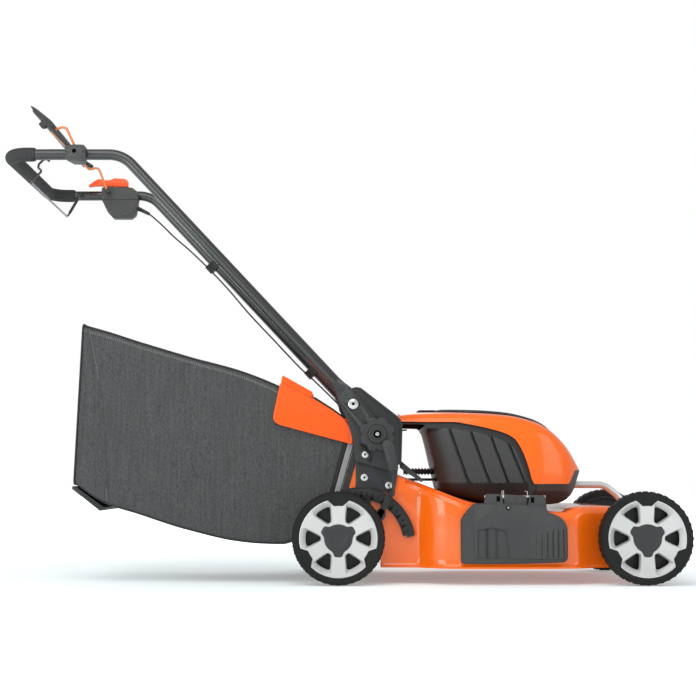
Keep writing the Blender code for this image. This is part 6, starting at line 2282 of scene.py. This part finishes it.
    def make_cable(self) -> None:
        """Control cable in its two lengths, its tapered strain relief, and the ribbed clips."""
        upper = [(-0.5105, 0.2265, 0.903), (-0.488, 0.225, 0.8918), (-0.456, 0.22, 0.864),
            (-0.4216, 0.2165, 0.8304), (-0.382, 0.2155, 0.796), (-0.3403, 0.2155, 0.756),
            (-0.286, 0.2155, 0.699), (-0.2313, 0.2165, 0.6351), (-0.169, 0.2165, 0.569),
            (-0.1055, 0.2165, 0.5017), (-0.075, 0.215, 0.474), (-0.044, 0.208, 0.444), (-0.018, 0.199, 0.418),
            (0.015, 0.1985, 0.384), (0.048, 0.1985, 0.352), (0.068, 0.1985, 0.332), (0.075, 0.197, 0.325),
            (0.0776, 0.193, 0.3221), (0.0776, 0.185, 0.3221)]
        form = Form().tube(flowing(upper, 6), 0.002, 14)
        relief = [Vector((-0.519, 0.2265, 0.907)), Vector((-0.512, 0.2265, 0.9038)),
            Vector((-0.5, 0.2262, 0.898)), Vector((-0.487, 0.225, 0.8912))]
        form.tube(relief, [0.0056, 0.0053, 0.0046, 0.004], 20)
        make_piece("cable_sheath", form, Dressing("handle", "cable_rubber", [CABLE_SKIN], ["control_cable"]))
        lower = [(0.0776, 0.1846, 0.3221), (0.0776, 0.176, 0.3221), (0.08, 0.169, 0.323),
            (0.088, 0.16, 0.327), (0.105, 0.15, 0.334), (0.125, 0.14, 0.34), (0.14, 0.132, 0.3425),
            (0.156, 0.125, 0.3435)]
        make_piece("cable_tail", Form().tube(flowing(lower, 6), 0.002, 14),
            Dressing("chassis", "cable_rubber", [CABLE_SKIN], ["control_cable_lower"]))
        for name, run in (("upper", -0.448), ("lower", -0.084)):
            self.make_clip(name, run)

    def make_clip(self, name: str, run: float) -> None:
        """Ribbed clip round the left arm and the cable.

        Args:
            name: upper or lower.
            run: Place along the arm from its lower end.
        """
        start = Vector((self.tube_end[0], self.arm_y, self.tube_end[1]))
        ahead = (start - Vector((self.knee_x, self.arm_y, self.level))).normalized()
        below = Vector((ahead.z, 0.0, -ahead.x))
        outline = softened([(-0.0175, 0.008), (-0.016, 0.0), (-0.0105, -0.0105), (0.0, -0.0142),
            (0.0105, -0.0105), (0.0142, 0.0), (0.012, 0.0115), (0.004, 0.0215), (-0.009, 0.0268),
            (-0.0165, 0.0215)], 0.003, 3)
        rings = []
        bands = 4
        for k in range(bands * 4 + 1):
            shift = mix(-0.011, 0.011, k / (bands * 4))
            scale = 1.0 if k % 4 in (1, 2) else 0.93
            centre = start + ahead * (run + shift)
            rings.append([centre + Vector((0.0, u * scale, 0.0)) + below * v * scale for u, v in outline])
        make_piece(f"ribbed_clip_{name}", Form().skin(rings),
            Dressing("handle", "black_plastic", [BLACK_PLASTIC], [f"cable_clip_{name}"]))


# Bag and flaps


@dataclass
class Bag:
    """Grass bag: a slack cloth shell on a frame, with piping, tape, stitches and a rear rail.

    Attributes:
        stitches: Geometry tree that lays stitches along lines.
        half: Half width along the bag.
        low: Height of its lower side along it.
        high: Height of its upper side along it.
        slant: How much a section leans forward with height, along it.
        corner: Radius of a section's corners.
        mouth_x: Front end of the cloth at mid height.
        rear_x: Its rear end.
    """

    stitches: NodeTree
    half: Curve = Curve([(-0.578, 0.19), (-0.515, 0.1915), (-0.44, 0.1915), (-0.34, 0.191), (-0.23, 0.1895),
        (-0.14, 0.187), (-0.06, 0.1865), (-0.0098, 0.186)])
    low: Curve = Curve([(-0.578, 0.216), (-0.515, 0.173), (-0.44, 0.148), (-0.34, 0.116), (-0.23, 0.092),
        (-0.16, 0.085), (-0.107, 0.0838), (-0.06, 0.096), (-0.0098, 0.116)])
    high: Curve = Curve([(-0.578, 0.566), (-0.515, 0.549), (-0.44, 0.526), (-0.34, 0.496), (-0.23, 0.464),
        (-0.14, 0.424), (-0.06, 0.374), (-0.0098, 0.334)])
    slant: Curve = Curve([(-0.578, 0.04), (-0.515, 0.02), (-0.44, 0.0), (-0.34, 0.0), (-0.23, 0.04),
        (-0.14, 0.1), (-0.06, 0.2), (-0.0098, 0.28)])
    corner: float = 0.011
    mouth_x: float = -0.0098
    rear_x: float = -0.578

    def build(self) -> None:
        """Make the cloth, its trim, the frame and the rail."""
        self.make_cloth()
        self.make_trim()
        self.make_frame()
        self.make_rail()

    def ring(self, x: float, inset: float = 0.0) -> list[Vector]:
        """Section of the bag at one place, from the left side's middle over the top and round.

        Args:
            x: Station along the bag.
            inset: Distance inside the cloth.

        Returns:
            Points of the section.
        """
        half, low, high = self.half(x) - inset, self.low(x) + inset, self.high(x) - inset
        middle = (low + high) / 2
        r = self.corner
        flat: list[Pair] = []
        for (cy, cz, start), (ny, nz) in zip(((half, high, 0), (-half, high, 90), (-half, low, 180),
                (half, low, 270)), ((-half, high), (-half, low), (half, low), (half, high))):
            oy, oz = cy - math.copysign(r, cy), cz - r if cz == high else cz + r
            flat += arc((oy, oz), r, start, start + 90, 4)
            first = flat[-1]
            next_y = ny - math.copysign(r, ny) if nz == cz else ny
            next_z = nz if nz == cz else (nz + r if nz == low else nz - r)
            flat += [(mix(first[0], next_y, k / 26), mix(first[1], next_z, k / 26)) for k in range(1, 26)]
        return [Vector((x + self.slant(x) * (z - middle), y, z)) for y, z in flat]

    def slack(self, p: Vector, x: float) -> Vector:
        """Point of the cloth with its sag, broad folds and small creases.

        Args:
            p: Point of the tight cloth.
            x: Its station along the bag.

        Returns:
            The moved point.
        """
        from_front = min(1.0, (self.mouth_x - x) / 0.1)
        from_rear = min(1.0, (x - self.rear_x) / 0.07)
        free = max(0.0, min(from_front, from_rear))
        low, high, half = self.low(x), self.high(x), self.half(x)
        up = (p.z - low) / (high - low)
        across = p.y / half
        edge = min(1.0, 4.0 * min(up, 1 - up)) if abs(across) > 0.9 else min(1.0, 3.0 * (1 - abs(across)))
        free *= max(0.0, edge)
        folds = noise.noise(Vector((p.x * 9.0, p.y * 7.0, p.z * 5.0)))
        creases = noise.noise(Vector((p.x * 34.0 + p.z * 12.0, p.y * 20.0, p.z * 17.0)))
        shift = free * (0.0028 * folds + 0.001 * creases)
        moved = p.copy()
        if abs(across) > 0.9:
            moved.y -= math.copysign(0.0022 * free - shift, p.y)
        elif up > 0.5:
            moved.z -= free * 0.0065 - shift
        else:
            moved.z += shift - free * 0.0012
        return moved

    def make_cloth(self) -> None:
        """Cloth shell, open at the mouth and crowned at the rear."""
        xs = steps_between(self.mouth_x, self.rear_x, 120)
        rings = [[self.slack(p, x) for p in self.ring(x)] for x in xs]
        last = rings[-1]
        middle = sum(last, Vector()) / len(last)
        for t in (0.97, 0.88, 0.72, 0.5, 0.25, 0.08):
            rings.append([middle.lerp(p, t) + Vector((-0.003 * (1 - t ** 3), 0.0, 0.0)) for p in last])
        form = Form().skin(rings, capped=False)
        form.add_face([len(form.points) - len(last) + k for k in range(len(last))])
        cloth = rough_object("cloth_bag", form)
        face_outward(cloth, Vector((-0.3, 0.0, 0.3)))
        dress(cloth, Dressing("bag", "bag_cloth", [BAG_CLOTH], ["bag_fabric"], thickness=0.0014, sharp=60.0))

    def edge_line(self, y_sign: int, top: bool, lift: float, x_from: float, x_to: float,
            count: int) -> list[Vector]:
        """Line along a long edge of the bag.

        Args:
            y_sign: -1 right, 1 left.
            top: Upper edge or lower edge.
            lift: Distance outside the edge's rounding.
            x_from: First station.
            x_to: Last station.
            count: Number of points.

        Returns:
            Points along the edge.
        """
        points = []
        for x in steps_between(x_from, x_to, count):
            low, high = self.low(x), self.high(x)
            z = high - self.corner * 0.3 + lift if top else low + self.corner * 0.3 - lift
            middle = (low + high) / 2
            points.append(Vector((x + self.slant(x) * (z - middle),
                y_sign * (self.half(x) - self.corner * 0.3 + lift), z)))
        return points

    def make_trim(self) -> None:
        """Piping on the long edges and round the back, tape at the mouth, and rows of stitches."""
        form = Form()
        for side in (-1, 1):
            form.tube(self.edge_line(side, True, 0.0006, -0.026, -0.577, 60), 0.0024, 10)
            form.tube(self.edge_line(side, False, 0.0, -0.026, -0.575, 60), 0.0018, 10)
        rear = self.ring(-0.5765)
        form.skin(tube_rings(rear + [rear[0], rear[1]], 0.0024, 10), capped=True)
        tape = []
        for x, lift in ((self.mouth_x, 0.0004), (-0.01, 0.001), (-0.0178, 0.0012), (-0.018, 0.0002)):
            tape.append(self.ring(x, -lift))
        tape += [self.ring(-0.018, 0.0022), self.ring(self.mouth_x, 0.0022)]
        form.skin(tape, looped=True)
        make_piece("bag_piping", form, Dressing("bag", "bag_cloth", [TRIM_TAPE]))
        lines = Form()
        for side in (-1, 1):
            for inset in (0.007, 0.01):
                self.stitch_line(lines, side, inset)
            seam = [(-0.559, 0.553), (-0.537, 0.4425), (-0.522, 0.333), (-0.5155, 0.18)]
            for shift in (0.0, 0.0035):
                line = flowing([(x, 0.0, z) for x, z in seam], 10)
                self.add_line(lines, [self.on_side(side, p.x + shift, p.z) for p in line])
        item = bare_object("bag_stitches", lines.points, lines.faces)
        run_tree(item, self.stitches, {"Step": 0.0052, "Length": 0.0034, "Thickness": 0.00042,
            "Finish": GREY_TAPE.material()})
        dress(item, Dressing("bag", "bag_cloth", [GREY_TAPE]))
        self.make_side_seams()

    def on_side(self, side: int, x: float, z: float) -> Vector:
        """Point on the cloth's side at a place and height.

        Args:
            side: -1 right, 1 left.
            x: Place along the bag.
            z: Height.

        Returns:
            The point.
        """
        settled = self.slack(Vector((x, side * self.half(x), z)), x)
        settled.y += side * 0.0003
        return settled

    def make_side_seams(self) -> None:
        """Folded seam that runs down each side near the back."""
        form = Form()
        for side in (-1, 1):
            seam = flowing([(-0.561, 0.0, 0.556), (-0.539, 0.0, 0.4425), (-0.524, 0.0, 0.333),
                (-0.5175, 0.0, 0.178)], 12)
            rings = []
            for p in seam:
                base = self.on_side(side, p.x, p.z)
                rings.append([base + Vector((u, side * v, 0.0))
                    for u, v in ((-0.0016, -0.0008), (-0.0012, 0.0007), (0.0, 0.0011), (0.0014, 0.0006),
                    (0.006, 0.0002), (0.0062, -0.0008))])
            form.skin(rings)
        make_piece("bag_side_seams", form, Dressing("bag", "bag_cloth", [BAG_CLOTH], sharp=60.0))

    def stitch_line(self, lines: Form, side: int, inset: float) -> None:
        """Add a line of stitches just below a top edge.

        Args:
            lines: Form that gathers the lines.
            side: -1 right, 1 left.
            inset: Distance below the edge.
        """
        points = []
        for x in steps_between(-0.034, -0.572, 80):
            points.append(self.on_side(side, x + self.slant(x) * 0.1, self.high(x) - inset - 0.004))
        self.add_line(lines, points)

    @staticmethod
    def add_line(lines: Form, points: Sequence[Vector]) -> None:
        """Add an open line; its edges stand in the form's list of faces."""
        numbers = lines.add_points(points)
        lines.faces += [[a, b] for a, b in zip(numbers, numbers[1:])]

    @staticmethod
    def make_frame() -> None:
        """Frame round the mouth: a black ring with a grey band on its outside."""
        low, high = 0.116, 0.334
        middle = (low + high) / 2
        front = 0.026 - MOUTH_LEAN * (MOUTH_Z - middle) - 0.0008
        form = Form()
        profile = [(-0.0146, 0.001, 0), (-0.014, 0.0, 0), (-0.0136, 0.0, 1), (-0.0012, 0.0, 0),
            (-0.0006, 0.0, 0), (0.0, 0.001, 0), (0.0, 0.012, 0), (-0.0146, 0.012, 0)]
        rings = []
        for shift, inset, _ in profile:
            half, lower, upper = 0.186 - inset, low + inset, high - inset
            r = max(0.002, 0.012 - inset)
            flat = []
            for cy, cz, start in ((half, upper, 0), (-half, upper, 90), (-half, lower, 180),
                    (half, lower, 270)):
                oy, oz = cy - math.copysign(r, cy), cz - r if cz == upper else cz + r
                flat += arc((oy, oz), r, start, start + 90, 6)
            rings.append([Vector((front + shift + MOUTH_LEAN * (z - middle), y, z)) for y, z in flat])
        numbers = [form.add_points(ring) for ring in rings]
        count = len(numbers[0])
        for i, first in enumerate(numbers):
            second = numbers[(i + 1) % len(numbers)]
            form.coat = 1 if profile[i][2] else 0
            for k in range(count):
                n = (k + 1) % count
                form.add_face((first[k], first[n], second[n], second[k]))
        make_piece("mouth_frame", form,
            Dressing("bag", "black_plastic", [BLACK_PLASTIC, GREY_TAPE], ["bag_frame"]))

    @staticmethod
    def make_rail() -> None:
        """Moulded rail under the rear edge with ribs across it."""
        outline = [(-0.589, 0.205), (-0.526, 0.156), (-0.518, 0.164), (-0.578, 0.2078), (-0.587, 0.211)]
        form = Form().plate(softened(outline, 0.0025, 4), -0.188, 0.188)
        for k in range(23):
            y = mix(-0.18, 0.18, k / 22)
            form.plate([(-0.585, 0.204), (-0.528, 0.1598), (-0.5266, 0.1586), (-0.5846, 0.2028)], y - 0.0012,
                y + 0.0012)
        make_piece("ribbed_rail", form,
            Dressing("bag", "black_plastic", [BLACK_PLASTIC], ["bag_rail"], bevel=0.0009))


@dataclass
class Flaps:
    """Rear flap over the bag's mouth and side flap over the discharge chute.

    Attributes:
        hinge: Axis of the rear flap, in X and Z.
        side_y: Inner face of the side flap.
        rear_x: Rear end of the side flap.
        front_x: Its front end.
        crease: Height at which the side flap's face starts to lean in, along it.
        pocket_edge: Front edge of its sunk pocket at each height.
    """

    hinge: Pair = (0.035, 0.352)
    side_y: float = -0.2535
    rear_x: float = 0.2545
    front_x: float = 0.4822
    crease: Curve = Curve([(0.2545, 0.145), (0.284, 0.136), (0.3256, 0.1585), (0.3634, 0.1388),
        (0.4454, 0.1306), (0.4822, 0.123)])
    pocket_edge: Curve = Curve([(0.04, 0.3625), (0.0568, 0.3601), (0.0896, 0.3552), (0.1125, 0.3519),
        (0.1207, 0.34), (0.14, 0.33)])

    def build(self) -> None:
        """Make both flaps and what they hinge on."""
        self.make_rear_flap()
        self.make_side_flap()
        self.make_side_hinge()
        refinish("rear_flap_pin", ZINC)

    def make_rear_flap(self) -> None:
        """Orange flap: two cheeks with rolled edges, the top sheet, a lifting tab and the hinge barrel."""
        shoulder = [(-0.1321, 0.4371), (-0.0662, 0.4048), (-0.02, 0.3765), (0.0066, 0.3573), (0.017, 0.343)]
        cheek = shoulder + [(0.025, 0.32), (0.0256, 0.3003), (-0.1372, 0.344), (-0.148, 0.352),
            (-0.1499, 0.3635), (-0.135, 0.433)]
        face = softened(cheek, 0.007, 5)
        form = Form()
        for side in (-1, 1):
            rings = []
            for inset, out in ((0.0, 0.1885), (0.0, 0.1922), (0.0006, 0.1934), (0.0018, 0.1941),
                    (0.0034, 0.1945), (0.0044, 0.1939), (0.006, 0.1937)):
                rings.append([(x, side * out, z) for x, z in inside(face, inset)])
            form.skin(rings)
        sheet = shoulder[:4] + [(0.018, 0.359), (0.034, 0.359), (0.034, 0.348), (0.006, 0.35),
            (-0.023, 0.3725), (-0.068, 0.4008), (-0.133, 0.4335)]
        form.plate(softened(sheet, 0.0016, 3), -0.189, 0.189)
        lip = [(-0.1328, 0.4365), (-0.13, 0.4515), (-0.1275, 0.4522), (-0.064, 0.4165), (-0.0632, 0.4095),
            (-0.0662, 0.404)]
        form.plate(softened(lip, 0.0018, 4), -0.1915, 0.1915)
        form.rod((self.hinge[0], -0.1885, self.hinge[1]), (self.hinge[0], 0.1885, self.hinge[1]), 0.0075, 32,
            0.0006)
        form.coat = 1
        seal = [(-0.061, 0.403), (-0.02, 0.377), (0.006, 0.3582), (0.0085, 0.3605), (-0.018, 0.38),
            (-0.059, 0.4062)]
        form.plate(softened(seal, 0.001, 2), -0.18, 0.18)
        make_piece("folded_rear_flap", form,
            Dressing("rear_cover", "hood_plastic", [FLAP_ORANGE, BLACK_PLASTIC], ["rear_flap"], bevel=0.001,
            sharp=50.0))

    def flap_height(self, x: float, z: float, low: float, high: float) -> float:
        """How far the side flap's face stands out at a place.

        Args:
            x: Place along the flap.
            z: Height.
            low: Height of the flap's foot there.
            high: Height of its top there.

        Returns:
            Distance outside the plane of its face.
        """
        def rise(value: float, start: float, end: float) -> float:
            """Smooth step from 0 to 1 between two values."""
            t = held((value - start) / (end - start))
            return t * t * (3 - 2 * t)
        from_front = self.front_x - x
        border = min(x - self.rear_x, from_front, z - low, high - z)
        height = 0.0046 * rise(border, 0.0, 0.003) - 0.0046
        height += 0.003 * rise(x, 0.282, 0.285) * rise(from_front, 0.001, 0.004) * rise(z, 0.0555, 0.0575)
        height -= 0.2 * max(0.0, z - self.crease(x)) * rise(x, 0.26, 0.29)
        inner = rise(z, 0.0575, 0.059)
        behind = self.pocket_edge(z) - x
        under = 0.123 - 0.2 * abs(x - 0.32)
        pocket = rise(x, 0.29, 0.2912) * rise(behind, 0.0, 0.0012) * inner * rise(under - z, 0, 0.0015)
        height -= 0.0034 * pocket
        for rib in (0.3099, 0.3306):
            height += 0.0044 * max(0.0, 1 - abs(x - rib) / 0.0012) * pocket
        fine = rise(x, 0.396, 0.405) * inner * rise(mix(0.108, 0.122, (x - 0.4) / 0.08) - z, 0, 0.003)
        wave = math.cos((x - 0.4389) * 2 * math.pi / 0.0115)
        height -= (0.001 + 0.0016 * rise(x, 0.4, 0.45)) * fine * max(0.0, wave) ** 3
        return height

    def make_side_flap(self) -> None:
        """Grey flap: a dished face with ribs and pockets, and lugs with slots that carry it on the pin."""
        top = Curve([(0.2545, 0.1385), (0.2585, 0.146), (0.28, 0.1712), (0.283, 0.1732), (0.305, 0.1745),
            (0.432, 0.17), (0.44, 0.159), (0.4443, 0.1552), (0.462, 0.1475), (0.4734, 0.139), (0.48, 0.128),
            (0.4822, 0.121)])
        foot = Curve([(0.2545, 0.053), (0.256, 0.0485), (0.26, 0.0462), (0.32, 0.0458), (0.4735, 0.0495),
            (0.48, 0.054), (0.4822, 0.061)])
        rings = []
        for x in steps_between(self.rear_x, self.front_x, 305):
            low, high = foot(x), top(x)
            zs = steps_between(low, high, 64)
            front = [Vector((x, -0.2604 - self.flap_height(x, z, low, high), z)) for z in zs]
            rings.append([Vector((x, self.side_y, low))] + front + [Vector((x, self.side_y, high))])
        form = Form().skin(rings)
        for low, high, slot in ((0.308, 0.343, 0.335), (0.402, 0.435, 0.408)):
            crown = 0.1945 if low < 0.35 else 0.192
            lug = softened([(low - 0.004, 0.165), (high + 0.004, 0.16), (high, crown - 0.004),
                (high - 0.003, crown - 0.001), (low + 0.003, crown), (low, crown - 0.003)], 0.003, 4)
            form.plate(lug, -0.2575, -0.2405)
            # Each slot is a near-black block of painted shade.
            form.coat = 1
            form.box((slot - 0.0038, -0.2578, crown - 0.0165), (slot + 0.0038, -0.256, crown - 0.005))
            form.coat = 0
            form.plate([(low - 0.002, 0.1722), (high + 0.002, 0.1702), (high + 0.002, 0.1716),
                (low - 0.002, 0.1736)], -0.259, -0.256)
        # The hole is a near-black disc of painted shade, with the bright pin in it.
        form.coat = 1
        form.rod((0.356, -0.26, 0.165), (0.356, -0.2612, 0.165), 0.0042, 24)
        form.coat = 2
        form.rod((0.356, -0.2602, 0.165), (0.356, -0.2618, 0.165), 0.0022, 20, 0.0004)
        make_piece("ribbed_side_flap", form,
            Dressing("discharge_cover", "housing_plastic", [FLAP_PLASTIC, RECESS_SHADE, ZINC], ["side_flap"],
            sharp=42.0))

    @staticmethod
    def make_side_hinge() -> None:
        """Hinge block with its barrel, the pin, and the coil spring with its two bright ends."""
        form = Form().plate(softened([(0.348, 0.1692), (0.397, 0.1692), (0.397, 0.187), (0.394, 0.19),
            (0.351, 0.1932), (0.348, 0.1905)], 0.003, 4), -0.2525, -0.205)
        for x in (0.359, 0.372, 0.385):
            form.plate([(x - 0.0008, 0.17), (x + 0.0008, 0.17), (x + 0.0008, 0.189), (x - 0.0008, 0.189)],
                -0.2532, -0.25)
        form.coat = 1
        form.rod((0.306, -0.249, 0.188), (0.437, -0.249, 0.188), 0.003, 20, 0.0006)
        coil = []
        for k in range(6 * 16 + 1):
            a = 2 * math.pi * k / 16
            coil.append(Vector((mix(0.3445, 0.3478, k / 96), -0.249 + 0.0044 * math.cos(a),
                0.188 + 0.0044 * math.sin(a))))
        form.tube([Vector((0.3445, -0.244, 0.201))] + coil + [Vector((0.3478, -0.2446, 0.202))], 0.0007, 8)
        form.tube([Vector((0.399, -0.245, 0.189)), Vector((0.399, -0.244, 0.199)),
            Vector((0.3935, -0.2435, 0.2))], 0.0009, 8)
        make_piece("flap_hinge_block", form,
            Dressing("chassis", "housing_plastic", [FLAP_PLASTIC, ZINC], ["side_flap_hinge"], bevel=0.0007))


def main() -> None:
    """Build every piece in order."""
    logging.basicConfig(level=logging.INFO, format="%(name)s: %(message)s")
    Studio().build()
    rings = ring_tree()
    for end, x in (("rear", REAR_AXLE_X), ("front", FRONT_AXLE_X)):
        for hand, side in (("right", -1), ("left", 1)):
            Wheel(f"{end}_{hand}", x, side, rings).build()
    Deck().build()
    Cowl().build()
    Drive().build()
    screws = Fasteners(screw_tree())
    for hand, side in (("right", -1), ("left", 1)):
        Mounting(hand, side, screws).build()
    Handle(screws).build()
    Bag(path_tree()).build()
    Flaps().build()


if __name__ == "__main__":
    main()
